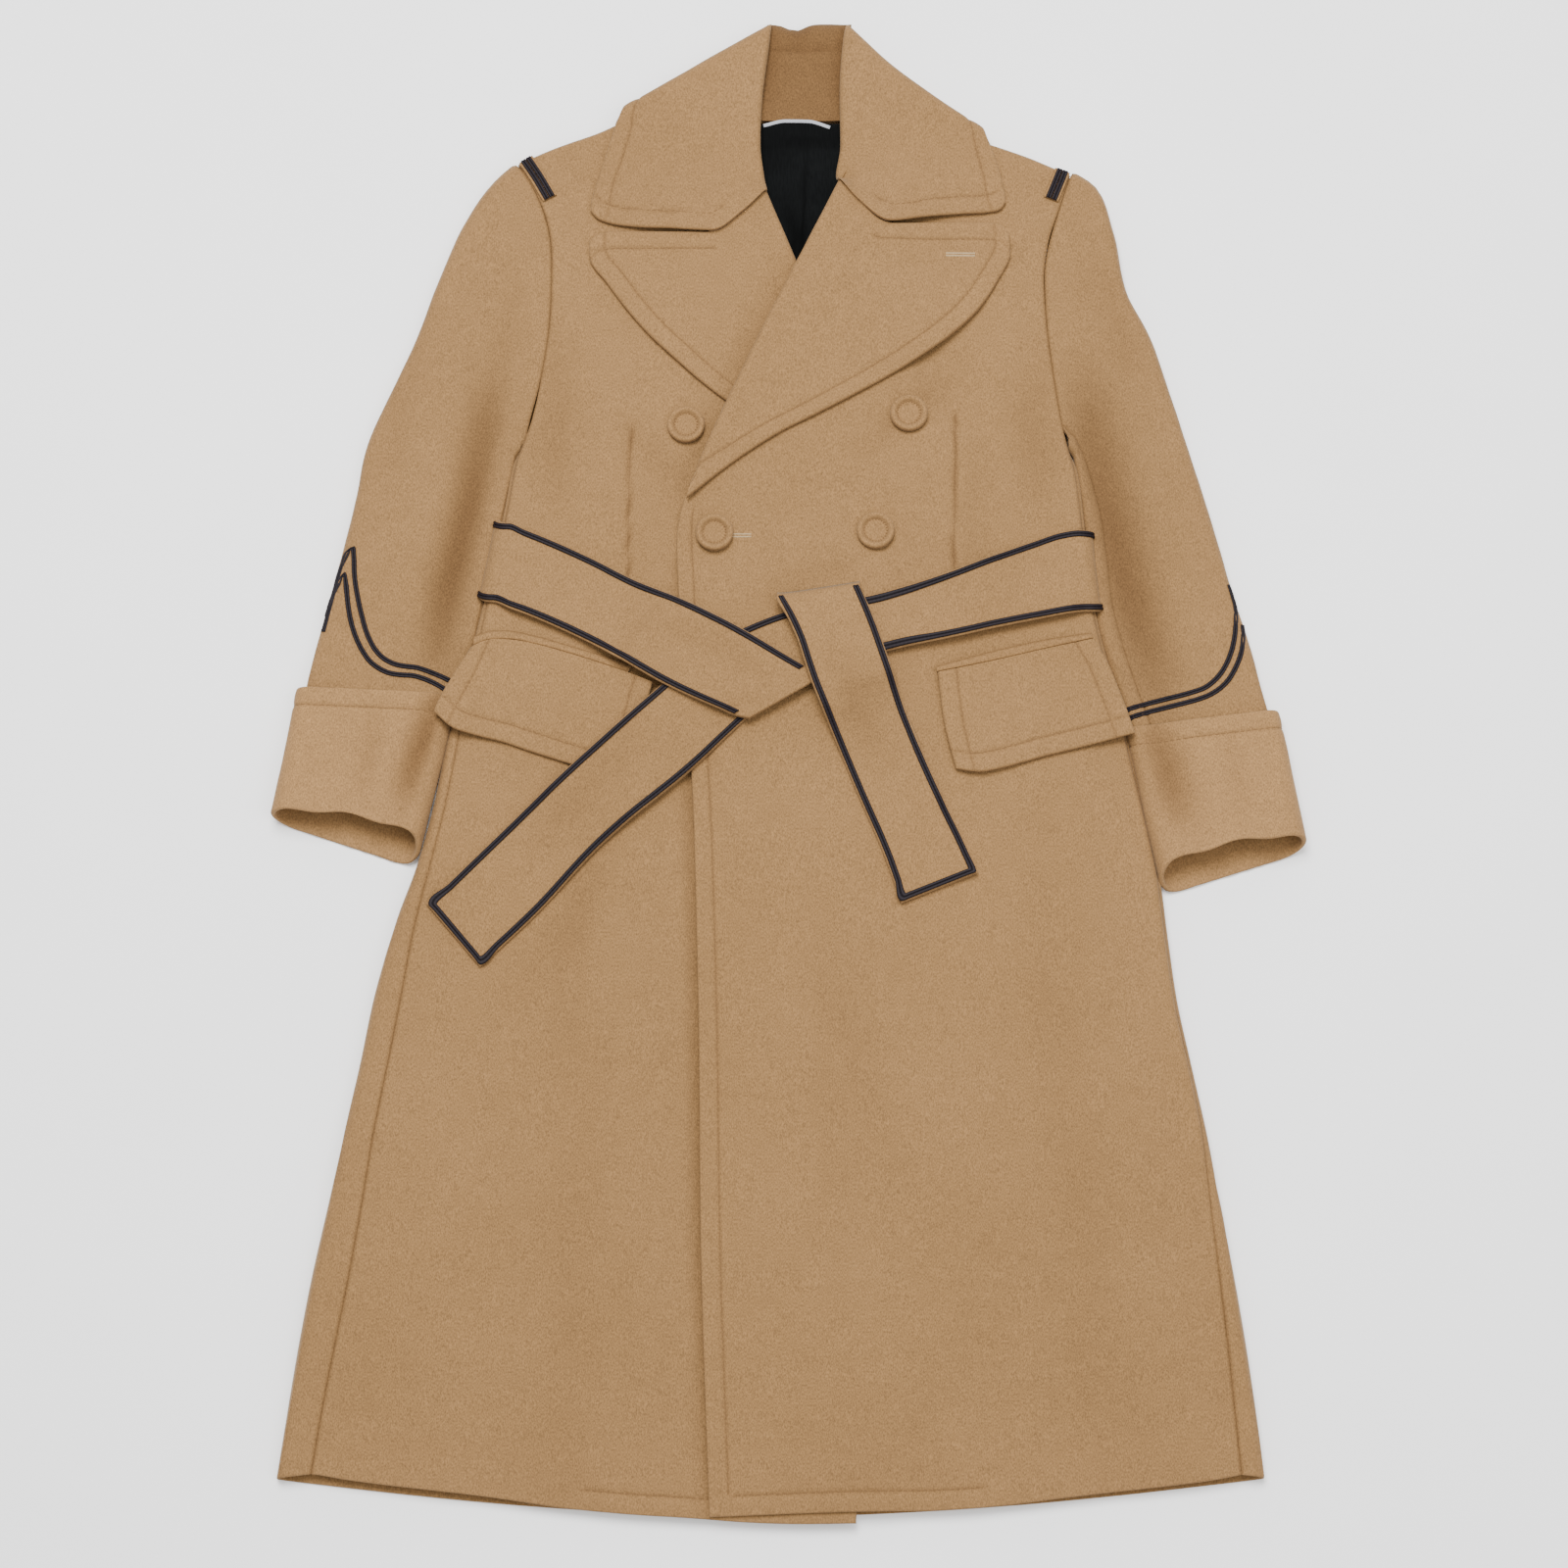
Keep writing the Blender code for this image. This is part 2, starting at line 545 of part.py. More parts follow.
def lay(plan, thickness, reach, soften=2, gap=LAY_GAP):
    """Top heights of a piece of given thickness laid on the pile at the plan's points."""
    field = spread(reach)
    row, column = cell_of(plan[..., 0], plan[..., 1])
    z = field[row, column] + gap + thickness
    for _ in range(soften):
        mean = z.copy()
        mean[1:-1] = (z[:-2] + 2 * z[1:-1] + z[2:]) / 4
        z = np.maximum(z, mean)
        mean = z.copy()
        mean[:, 1:-1] = (z[:, :-2] + 2 * z[:, 1:-1] + z[:, 2:]) / 4
        z = np.maximum(z, mean)
    return z


def with_z(plan, z):
    return np.concatenate((plan[..., :2], np.broadcast_to(z, plan.shape[:-1])[..., None]), axis=-1)


def down(grid, thickness):
    lower = grid.copy()
    lower[..., 2] -= thickness
    return lower


def surface(grid, across, along):
    """Points of a grid at fractional column and row places."""
    rows, columns = grid.shape[:2]
    i = np.clip(np.floor(along).astype(int), 0, rows - 2)
    j = np.clip(np.floor(across).astype(int), 0, columns - 2)
    v = (along - i)[..., None]
    u = (across - j)[..., None]
    return (
        grid[i, j] * (1 - u) * (1 - v) + grid[i, j + 1] * u * (1 - v)
        + grid[i + 1, j] * (1 - u) * v + grid[i + 1, j + 1] * u * v
    )


def material(name, colour):
    made = bpy.data.materials.get(name)
    if made is None:
        made = bpy.data.materials.new(name)
        made.use_nodes = True
        shader = made.node_tree.nodes["Principled BSDF"]
        shader.inputs["Base Color"].default_value = colour
        shader.inputs["Roughness"].default_value = 0.85
    return made


def finish(name, shape, colour):
    bmesh.ops.recalc_face_normals(shape, faces=shape.faces)
    mesh = bpy.data.meshes.new(name)
    shape.to_mesh(mesh)
    shape.free()
    mesh.materials.append(material(name + "_cloth", colour))
    made = bpy.data.objects.new(name, mesh)
    bpy.context.scene.collection.objects.link(made)
    return made


def slab(name, outer, inner, colour, closed=False):
    """Closed wall between two grids of the same size; closed joins the last column to the first."""
    rows, columns = outer.shape[:2]
    shape = bmesh.new()
    shift = np.array((ORIGIN_X, ORIGIN_Y, 0.0))
    top = [[shape.verts.new((p - shift) * MM) for p in line] for line in outer]
    under = [[shape.verts.new((p - shift) * MM) for p in line] for line in inner]
    spans = columns if closed else columns - 1
    for i in range(rows - 1):
        for j in range(spans):
            k = (j + 1) % columns
            shape.faces.new((top[i][j], top[i][k], top[i + 1][k], top[i + 1][j]))
            shape.faces.new((under[i][j], under[i + 1][j], under[i + 1][k], under[i][k]))
    for j in range(spans):
        k = (j + 1) % columns
        shape.faces.new((top[0][j], under[0][j], under[0][k], top[0][k]))
        shape.faces.new((top[-1][j], top[-1][k], under[-1][k], under[-1][j]))
    if not closed:
        for i in range(rows - 1):
            shape.faces.new((top[i][0], top[i + 1][0], under[i + 1][0], under[i][0]))
            shape.faces.new((top[i][-1], under[i][-1], under[i + 1][-1], top[i + 1][-1]))
    return finish(name, shape, colour)


def build_body():
    outer, normal = back_grid()
    slab("back_panel", outer, outer - normal * CLOTH, CAMEL)

    outer, normal = front_grid(1, RIGHT_FRONT_EDGE, HEM, RIGHT_FRONT_TOP)
    slab("right_front", outer, outer - normal * CLOTH, CAMEL)
    press(outer)

    lapel("right_lapel", RIGHT_LAPEL_ROLL, RIGHT_LAPEL_EDGE, RIGHT_LAPEL_TOP)

    outer, normal = front_grid(-1, LEFT_FRONT_EDGE, LEFT_HEM, LEFT_FRONT_TOP)
    raised = lay(outer, CLOTH, 46.0, soften=3)
    away = outer[..., 0] < 190.0
    outer[..., 2] = np.where(away, np.maximum(outer[..., 2], raised), outer[..., 2])
    slab("left_front", outer, outer - normal * CLOTH, CAMEL)
    press(outer)

    lapel("left_lapel", LEFT_LAPEL_ROLL, LEFT_LAPEL_EDGE, LEFT_LAPEL_TOP)


def lapel(name, roll, edge, top):
    low = run(top, LAPEL_COLUMNS)
    high = run(np.array((roll[-1], edge[-1])), LAPEL_COLUMNS)
    plan = patch(low, high, run(roll, LAPEL_ROWS), run(edge, LAPEL_ROWS), LAPEL_COLUMNS, LAPEL_ROWS)
    outer = with_z(plan, lay(plan, LAPEL_CLOTH, 30.0))
    slab(name, outer, down(outer, LAPEL_CLOTH), CAMEL)
    press(outer)


def ring(width, radius, middle, place):
    """Inward distance, height and outward direction at a place along a flattened tube's ring."""
    quarter = radius * math.pi / 2
    flat = width - 2 * radius
    total = 2 * flat + 4 * quarter
    place = np.where(place > total - quarter, place - total, place)
    inward = np.empty_like(place)
    height = np.empty_like(place)
    push = np.empty_like(place)
    rise = np.empty_like(place)
    turn = place / radius
    top = (place > quarter) & (place <= quarter + flat)
    far = (place > quarter + flat) & (place <= 3 * quarter + flat)
    angle = (place - quarter - flat) / radius
    under = place > 3 * quarter + flat
    inward[:] = radius * (1 - np.cos(turn))
    height[:] = middle + radius * np.sin(turn)
    push[:] = -np.cos(turn)
    rise[:] = np.sin(turn)
    inward = np.where(top, radius + place - quarter, inward)
    height = np.where(top, middle + radius, height)
    push = np.where(top, 0.0, push)
    rise = np.where(top, 1.0, rise)
    inward = np.where(far, width - radius + radius * np.sin(angle), inward)
    height = np.where(far, middle + radius * np.cos(angle), height)
    push = np.where(far, np.sin(angle), push)
    rise = np.where(far, np.cos(angle), rise)
    inward = np.where(under, width - radius - (place - 3 * quarter - flat), inward)
    height = np.where(under, middle - radius, height)
    push = np.where(under, 0.0, push)
    rise = np.where(under, -1.0, rise)
    return inward, height, push, rise, total, quarter, flat


def sleeve_rows(hand):
    """Outer and inner end, underside and top of each sleeve row."""
    table = SLEEVES[hand]
    outer = table[:, :2].copy()
    outer[:, 0] *= hand
    inner_y = table[:, 2]
    edge, radius, _, quarter, seam, _ = side(inner_y, hand)
    low, high = WRAP_Y[hand]
    beside_belt = (inner_y > low - 8) & (inner_y < high + 12)
    clear = 1.0 + 6.3 * beside_belt + 1.5 * (inner_y > 256)
    above = inner_y > 275
    inner_x = edge + above * radius * (1 - np.cos(seam / radius)) - clear
    cuff = SLEEVE_INNER_CUFF[hand]
    low = inner_y <= cuff[-1, 0]
    inner_x = np.where(low, -by_x(cuff, inner_y), inner_x)
    inner = np.stack((inner_x, inner_y), axis=1)
    return outer, inner, table[:, 3], table[:, 4], table[:, 5]


def sleeve_part(hand, places_of):
    """Outer face of part of a sleeve; places_of gives the ring places of a row."""
    outer, inner, floor, top, pull = sleeve_rows(hand)
    points = []
    normals = []
    arm_y = np.linspace(outer[0, 1], inner[0, 1], 40)
    edge, radius, _, _, seam, _ = side(arm_y, hand)
    arm_x = edge + radius * (1 - np.cos(seam / radius)) - ARMHOLE_GAP[hand]
    arm_share = (arm_y - outer[0, 1]) / (inner[0, 1] - outer[0, 1])
    chord_x = outer[0, 0] + (inner[0, 0] - outer[0, 0]) * arm_share
    bow = arm_x - chord_x
    bow[0] = 0.0
    bow[-1] = min(bow[-1], 0.0)
    for k in range(len(outer)):
        width = np.linalg.norm(inner[k] - outer[k])
        radius_k = (top[k] - floor[k]) / 2
        middle = (top[k] + floor[k]) / 2
        place = places_of(width, radius_k, k)
        inward, height, push, rise, _, _, _ = ring(width, radius_k, middle, place)
        share = inward / width
        across = (inner[k] - outer[k]) / width
        x = outer[k, 0] + (inner[k, 0] - outer[k, 0]) * share + pull[k] * np.interp(share, arm_share, bow)
        y = outer[k, 1] + (inner[k, 1] - outer[k, 1]) * share
        if k == len(outer) - 1:
            y = y + (height - middle) / radius_k * np.interp(share, (0, 1), (1.0, 9.0))
        points.append(np.stack((x * hand, y, height), axis=1))
        normals.append(np.stack((push * across[0] * hand, push * across[1], rise), axis=1))
    return np.array(points), np.array(normals)


def build_sleeve(hand):
    name = "right" if hand > 0 else "left"
    seam_in = SLEEVE_SEAM_IN[hand]

    def limits(width, radius):
        quarter = radius * math.pi / 2
        flat = width - 2 * radius
        if seam_in > radius:
            seam = quarter + flat + radius - seam_in
        else:
            seam = quarter + flat + radius * math.acos(seam_in / radius) * 0.9
        under = UNDERARM_SEAM * quarter
        return under, seam, 2 * flat + 4 * quarter

    def top_places(width, radius, k):
        under, seam, total = limits(width, radius)
        quarter = radius * math.pi / 2
        bends = np.linspace(under, quarter, 5)
        flat = np.linspace(quarter, seam, SLEEVE_COLUMNS_TOP - 3)
        return np.concatenate((bends, flat[1:]))

    def under_places(width, radius, k):
        under, seam, total = limits(width, radius)
        quarter = radius * math.pi / 2
        flat_end = total - quarter
        far_end = 3 * quarter + width - 2 * radius
        bends = np.linspace(seam + SEAM_GAP, far_end, 6)
        flat = np.linspace(far_end, flat_end, 5)
        last = np.linspace(flat_end, total + under - SEAM_GAP, 3)
        return np.concatenate((bends, flat[1:], last[1:]))

    outer, normal = sleeve_part(hand, top_places)
    slab(name + "_top_sleeve", outer, outer - normal * CLOTH, CAMEL)
    press(outer)
    under, under_normal = sleeve_part(hand, under_places)
    slab(name + "_under_sleeve", under, under - under_normal * CLOTH, CAMEL)
    press(under[:, :6])


def build_cuff(hand):
    name = "right_cuff" if hand > 0 else "left_cuff"
    points = []
    normals = []
    for row in CUFFS[hand]:
        outer_x, outer_y, inner_x, inner_y, back_outer_y, back_inner_x, back_inner_y, top = row
        radius = top / 2
        front = np.array((outer_x, outer_y))
        back = np.array((outer_x, back_outer_y))
        front_in = np.array((inner_x, inner_y))
        back_in = np.array((back_inner_x, back_inner_y))
        width = np.linalg.norm(front_in - front)
        quarter = radius * math.pi / 2
        flat = width - 2 * radius
        place = np.concatenate((
            np.linspace(-quarter, quarter, 7),
            np.linspace(quarter, quarter + flat, 6)[1:],
            np.linspace(quarter + flat, 3 * quarter + flat, 7)[1:],
            np.linspace(3 * quarter + flat, 3 * quarter + 2 * flat, 6)[1:-1],
        ))
        inward, height, push, rise, _, _, _ = ring(width, radius, radius, place)
        share = (inward / width)[:, None]
        level = (height / top)[:, None]
        begin = back + (front - back) * level
        finish_at = back_in + (front_in - back_in) * level
        plan = begin + (finish_at - begin) * share
        across = (front_in - front) / width
        points.append(np.concatenate((plan, height[:, None]), axis=1))
        normals.append(np.stack((push * across[0], push * across[1], rise), axis=1))
    outer = np.array(points)
    inner = outer - np.array(normals) * CUFF_CLOTH
    slab(name, outer, inner, CAMEL, closed=True)
    press(outer)


def build_neck():
    rows = np.array(STAND)
    shares = np.linspace(0, 1, 7)
    bowl = np.abs(2 * shares - 1) ** 2.2
    outer = np.empty((len(rows), len(shares), 3))
    outer[..., 0] = rows[:, 1:2] + (rows[:, 2:3] - rows[:, 1:2]) * shares[None]
    outer[..., 1] = rows[:, :1]
    outer[..., 2] = rows[:, 3:4] + (rows[:, 4:5] - rows[:, 3:4]) * bowl[None]
    turn = np.gradient(outer[:, 0, 1]), np.gradient(outer[:, len(shares) // 2, 2])
    normal = np.zeros_like(outer)
    size = np.hypot(turn[0], turn[1])
    normal[..., 1] = (-turn[1] / size)[:, None]
    normal[..., 2] = (turn[0] / size)[:, None]
    slab("collar_stand", outer, outer - normal * STAND_CLOTH, CAMEL)
    press(outer)

    rows = np.array(LINING)
    y = np.linspace(rows[0, 0], rows[-1, 0], 9)
    left = smooth(rows[:, 0], rows[:, 1], y)
    right = smooth(rows[:, 0], rows[:, 2], y)
    shares = np.linspace(0, 1, 6)
    plan = np.empty((len(y), len(shares), 3))
    plan[..., 0] = left[:, None] + (right - left)[:, None] * shares[None]
    plan[..., 1] = y[:, None]
    plan[..., 2] = (body(y)["floor"] + CLOTH + LAY_GAP + 0.3 + LINING_CLOTH)[:, None]
    slab("back_lining", plan, down(plan, LINING_CLOTH), BLACK)

    strip("hanger_loop", np.array(HANGER), HANGER_WIDTH, 1.5, SILVER, height=13.4)


def strip(name, line, width, thickness, colour, height=None, reach=14.0, count=None):
    """Narrow band along a line, laid on the pile or at a given height of its top."""
    length = np.linalg.norm(np.diff(line, axis=0), axis=1).sum()
    count = count or max(4, int(length / 12))
    middle = run(line, np.linspace(0, 1, count))
    course = np.gradient(middle, axis=0)
    course /= np.linalg.norm(course, axis=1, keepdims=True)
    across = np.stack((-course[:, 1], course[:, 0]), axis=1) * width / 2
    plan = np.stack((middle - across, middle + across), axis=1)
    z = lay(plan, thickness, reach) if height is None else np.full(plan.shape[:2], height)
    outer = with_z(plan, z)
    slab(name, outer, down(outer, thickness), colour)
    return outer


def build_collar():
    back_row = None
    rows = []
    inner_rows = []
    for hand in (1, -1):
        shares = COLLAR_COLUMNS
        flat_rows = [run(COLLAR_FRONT_END[hand], shares)]
        for roll, edge in COLLAR_ROWS[hand]:
            flat_rows.append(run(np.array((roll, edge)), shares))
        flat = np.array(flat_rows)
        fold = run(COLLAR_FOLD[hand], shares)
        course = (fold[-1] - fold[0]) / np.linalg.norm(fold[-1] - fold[0])
        inward = np.array((-course[1], course[0])) * hand
        first, last = (np.array(turn) for turn in COLLAR_TURN[hand])
        turned = first + (last - first) * shares[:, None]
        z = np.maximum(lay(with_z(flat, 0.0), COLLAR_CLOTH, 34.0), COLLAR_TOP)
        top = np.maximum(z[-1], COLLAR_TOP)
        radius = top / 2
        side_rows = [with_z(flat, z)]
        side_inner = [down(side_rows[0], COLLAR_CLOTH)]
        for turn in np.radians((90, 60, 30, 0, -30, -60, -90)):
            reach = (radius * (1 - math.cos(turn)))[:, None]
            plan = fold + turned * reach
            point = np.concatenate((plan, (radius + radius * math.sin(turn))[:, None]), axis=1)
            push = np.concatenate((-inward * math.cos(turn), (math.sin(turn),)))
            side_rows.append(point[None])
            side_inner.append((point - push * COLLAR_CLOTH)[None])
        grid = np.concatenate(side_rows)
        inner = np.concatenate(side_inner)
        middle = with_z(run(np.array(COLLAR_BACK), shares), 0.0)
        last = grid[-1]
        extra = np.stack([last + (middle - last) * share for share in (0.4, 0.75)])
        extra_inner = extra.copy()
        extra_inner[..., 2] += COLLAR_CLOTH
        grid = np.concatenate((grid, extra))
        inner = np.concatenate((inner, extra_inner))
        rows.append(grid)
        inner_rows.append(inner)
        back_row = middle
    back_inner = back_row.copy()
    back_inner[:, 2] += COLLAR_CLOTH
    outer = np.concatenate((rows[0], back_row[None], rows[1][::-1]))
    inner = np.concatenate((inner_rows[0], back_inner[None], inner_rows[1][::-1]))
    slab("collar", outer, inner, CAMEL)
    press(rows[0][:7])
    press(rows[1][:7])


def build_pockets():
    for hand, name in ((1, "right"), (-1, "left")):
        lines = FLAPS[hand]
        shares = np.linspace(0, 1, FLAP_COLUMNS)
        welt = np.stack((run(lines["welt_low"], shares), run(lines["welt"], shares)))
        outer = with_z(welt, lay(with_z(welt, 0.0), WELT_CLOTH, 18.0))
        slab(name + "_welt", outer, down(outer, WELT_CLOTH), CAMEL)
        vs = np.linspace(0, 1, FLAP_ROWS + 1)
        plan = patch(run(lines["top"], shares), run(lines["bottom"], shares), run(lines["left"], vs),
                     run(lines["right"], vs), shares, vs)
        flap = with_z(plan, lay(plan, FLAP_CLOTH, 24.0))
        slab(name + "_flap", flap, down(flap, FLAP_CLOTH), CAMEL)
        press(outer)
        press(flap)


def wrap_rows(hand, first_across):
    """Belt rows from under the coat round its side, ending where the flat run begins."""
    low, high = WRAP_Y[hand]
    y = low + (high - low) * first_across
    low, high = WRAP_TOP_Y[hand]
    top_y = low + (high - low) * first_across
    edge, radius, middle, _, _, _ = side(y, hand)
    rows = []
    inner = []
    for angle, beyond in WRAP_TURNS:
        turn = math.radians(angle)
        push = np.array((-math.cos(turn), 0.0, math.sin(turn)))
        base_x = edge + radius * (1 - math.cos(turn)) + beyond
        level = y + (top_y - y) * max(0.0, math.sin(turn))
        base = np.stack((base_x, level, middle + radius * math.sin(turn)), axis=1)
        inner_point = base + push * WRAP_GAP
        outer_point = base + push * (WRAP_GAP + BELT_CLOTH)
        outer_point[:, 0] *= hand
        inner_point[:, 0] *= hand
        rows.append(outer_point)
        inner.append(inner_point)
    return np.array(rows), np.array(inner)


def belt_run(name, hand, upper, lower, steps, reach):
    shares = np.linspace(0, 1, steps)
    plan = between(run(lower, shares), run(upper, shares), BELT_ACROSS)
    outer = with_z(plan, lay(plan, BELT_CLOTH, reach))
    wrap, wrap_inner = wrap_rows(hand, BELT_ACROSS)
    full = np.concatenate((wrap, outer))
    inner = np.concatenate((wrap_inner, down(outer, BELT_CLOTH)))
    slab(name, full, inner, CAMEL)
    press(outer)
    return full


def belt_normals(grid):
    along = np.gradient(grid, axis=0)
    across = np.gradient(grid, axis=1)
    normal = np.cross(across, along)
    normal /= np.linalg.norm(normal, axis=-1, keepdims=True)
    return normal


def braid_on(name, grid, lines, gap=0.55):
    """Raised braid on a belt grid; lines are the outer and inner places (column, row)."""
    normal = belt_normals(grid)
    if normal[len(grid) // 2, 2, 2] < 0:
        normal = -normal
    under = []
    over = []
    for column, row in lines:
        point = surface(grid, column, row)
        push = surface(normal, column, row)
        push /= np.linalg.norm(push, axis=-1, keepdims=True)
        under.append(point + push * gap)
        over.append(point + push * (gap + BRAID_HEIGHT))
    outer = np.stack(over, axis=1)
    slab(name, outer, np.stack(under, axis=1), NAVY)
    return outer


def side_lines(grid, low_side, first_row, last_row):
    """Column and row places of a braid along one side of a belt."""
    rows = np.arange(first_row, last_row + 1, dtype=float)
    rows[-1] = min(rows[-1], len(grid) - 1.0)
    span = grid[:, 1] - grid[:, 0] if low_side else grid[:, -1] - grid[:, -2]
    width = np.linalg.norm(span, axis=1)[np.clip(rows.astype(int), 0, len(grid) - 1)]
    near = BELT_BRAID_INSET / width
    far = (BELT_BRAID_INSET + BELT_BRAID_WIDTH) / width
    if low_side:
        return (near, rows), (far, rows)
    last = grid.shape[1] - 1.0
    return (last - near, rows), (last - far, rows)


def end_lines(grid, first_row):
    """Places of a braid down one side, across the end and back up the other side."""
    last = len(grid) - 1.0
    step = np.linalg.norm(grid[-1, 2] - grid[-2, 2])
    near_row = last - BELT_BRAID_INSET / step
    far_row = last - (BELT_BRAID_INSET + BELT_BRAID_WIDTH) / step
    (near_a, rows_a), (far_a, _) = side_lines(grid, True, first_row, int(last) - 1)
    (near_b, rows_b), (far_b, _) = side_lines(grid, False, first_row, int(last) - 1)
    end_across = np.array((1.0, 2.0, 3.0))
    near_columns = np.concatenate((near_a, near_a[-1:], end_across, near_b[-1:], near_b[::-1]))
    near_rows = np.concatenate((rows_a, (near_row,), np.full(3, near_row), (near_row,), rows_b[::-1]))
    far_columns = np.concatenate((far_a, far_a[-1:], end_across, far_b[-1:], far_b[::-1]))
    far_rows = np.concatenate((rows_a, (far_row,), np.full(3, far_row), (far_row,), rows_b[::-1]))
    return (near_columns, near_rows), (far_columns, far_rows)


def build_belt():
    across = np.linspace(0, 1, 3)
    share = np.linspace(0, 1, 9)[:, None]
    ends = []
    for hand in (1, -1):
        low, high = WRAP_Y[hand]
        y = low + (high - low) * across
        edge, radius, _, _, _, _ = side(y, hand)
        ends.append((hand * (edge + radius + WRAP_TURNS[0][1] + 1.0), y))
    plan = np.empty((9, 3, 3))
    plan[..., 0] = ends[0][0] + (ends[1][0] - ends[0][0]) * share
    plan[..., 1] = ends[0][1] + (ends[1][1] - ends[0][1]) * share
    plan[..., 2] = 5.3
    slab("belt_back", plan, down(plan, BELT_CLOTH - 0.4), CAMEL)
    for label, at in (("lower", 0), ("upper", 2)):
        inward = 1 if at == 0 else -1
        line = plan[:, at].copy()
        line[0, 0] += 1.5
        line[-1, 0] -= 1.5
        near = line.copy()
        near[:, 1] += inward * BELT_BRAID_INSET
        far = line.copy()
        far[:, 1] += inward * (BELT_BRAID_INSET + BELT_BRAID_WIDTH)
        top = np.stack((near, far), axis=1)
        top[..., 2] = 1.3
        slab("belt_back_braid_" + label, top, down(top, 1.3), NAVY)

    grid = belt_run("belt_right_run", -1, RIGHT_RUN_UPPER, RIGHT_RUN_LOWER, RIGHT_RUN_STEPS, 28.0)
    press(braid_on("belt_right_braid", grid, end_lines(grid, 2))[2:-2])
    grid = belt_run("belt_left_run", 1, LEFT_RUN_UPPER, LEFT_RUN_LOWER, LEFT_RUN_STEPS, 30.0)
    press(braid_on("belt_left_braid_lower", grid, side_lines(grid, True, 2, len(grid) - 2)))
    press(braid_on("belt_left_braid_upper", grid, side_lines(grid, False, 2, len(grid) - 2)))

    shares = np.linspace(0, 1, OVER_END_STEPS)
    plan = between(run(OVER_END_LEFT, shares), run(OVER_END_RIGHT, shares), BELT_ACROSS)
    outer = with_z(plan, lay(plan, BELT_CLOTH, 26.0))
    lip = outer[:1].copy()
    lip[..., 1] += 4.5
    lip[..., 2] -= 6.0
    outer = np.concatenate((lip, outer))
    slab("belt_over_end", outer, down(outer, BELT_CLOTH), CAMEL)
    press(outer)
    braid_on("belt_over_braid", outer, end_lines(outer, 1))


def sleeve_height(hand, plan):
    """Top of a sleeve at plan points, following its rounded outer edge."""
    table = SLEEVES[hand]
    y = plan[..., 1]
    order = np.argsort(table[:, 1])
    edge = np.interp(y, table[order, 1], table[order, 0] * hand)
    top = np.interp(y, table[order, 1], table[order, 4])
    floor = np.interp(y, table[order, 1], table[order, 3])
    radius = (top - floor) / 2
    depth = np.clip((plan[..., 0] * hand - edge) * 0.965 / radius, 0.02, 1)
    return (top + floor) / 2 + radius * np.sqrt(1 - (1 - depth) ** 2)


def build_trim():
    for name, (hand, line) in SLEEVE_BRAIDS.items():
        length = np.linalg.norm(np.diff(line, axis=0), axis=1).sum()
        count = max(8, int(length / 9))
        middle = run(line, np.linspace(0, 1, count))
        course = np.gradient(middle, axis=0)
        course /= np.linalg.norm(course, axis=1, keepdims=True)
        across = np.stack((-course[:, 1], course[:, 0]), axis=1) * SLEEVE_BRAID_WIDTH / 2
        plan = np.stack((middle - across, middle + across), axis=1)
        z = sleeve_height(hand, plan) + BRAID_HEIGHT + 0.9
        z = np.maximum(z, lay(plan, BRAID_HEIGHT, 4.0, soften=1, gap=0.5))
        outer = with_z(plan, z)
        slab(name, outer, down(outer, BRAID_HEIGHT), NAVY)
    for hand, name in ((1, "right"), (-1, "left")):
        outer = strip(name + "_shoulder_tab", SHOULDER_TABS[hand], TAB_WIDTH, TAB_CLOTH, CAMEL, reach=8.0, count=5)
        press(outer)
        for label, low, high in (("inner", 0.13, 0.49), ("outer", 0.51, 0.87)):
            near = outer[:, 0] + (outer[:, 1] - outer[:, 0]) * low
            far = outer[:, 0] + (outer[:, 1] - outer[:, 0]) * high
            band = np.stack((near, far), axis=1)
            band[..., 2] += 0.4 + BRAID_HEIGHT
            slab(name + "_shoulder_braid_" + label, band, down(band, BRAID_HEIGHT), NAVY)
    field = spread(CELL)
    for name, (x, y) in BUTTONS.items():
        angle = np.linspace(0, 2 * math.pi, 24)[None]
        reach = BUTTON_RADIUS * np.array((0.0, 0.5, 1.0))[:, None]
        row, column = cell_of(x + reach * np.cos(angle), y + reach * np.sin(angle))
        base = field[row, column].max() + 0.15
        button(name, x, y, base)


def button(name, x, y, base):
    """Turned disc with a sunk middle and a rounded rim."""
    shape = bmesh.new()
    centre = ((x - ORIGIN_X) * MM, (y - ORIGIN_Y) * MM)
    loops = []
    for radius, height in BUTTON_PROFILE:
        z = (base + height * BUTTON_HEIGHT) * MM
        if radius == 0:
            loops.append([shape.verts.new((centre[0], centre[1], z))])
            continue
        loop = []
        for k in range(BUTTON_SEGMENTS):
            angle = 2 * math.pi * k / BUTTON_SEGMENTS
            reach = radius * BUTTON_RADIUS * MM
            place = (centre[0] + reach * math.cos(angle), centre[1] + reach * math.sin(angle), z)
            loop.append(shape.verts.new(place))
        loops.append(loop)
    for first, second in zip(loops[:-1], loops[1:]):
        for k in range(BUTTON_SEGMENTS):
            m = (k + 1) % BUTTON_SEGMENTS
            if len(first) == 1:
                shape.faces.new((first[0], second[k], second[m]))
            elif len(second) == 1:
                shape.faces.new((first[k], second[0], first[m]))
            else:
                shape.faces.new((first[k], second[k], second[m], first[m]))
    finish(name, shape, CAMEL)


for old in list(bpy.data.objects):
    bpy.data.objects.remove(old, do_unlink=True)

build_body()
for hand in (1, -1):
    build_sleeve(hand)
    build_cuff(hand)
build_neck()
build_collar()
build_pockets()
build_belt()
build_trim()
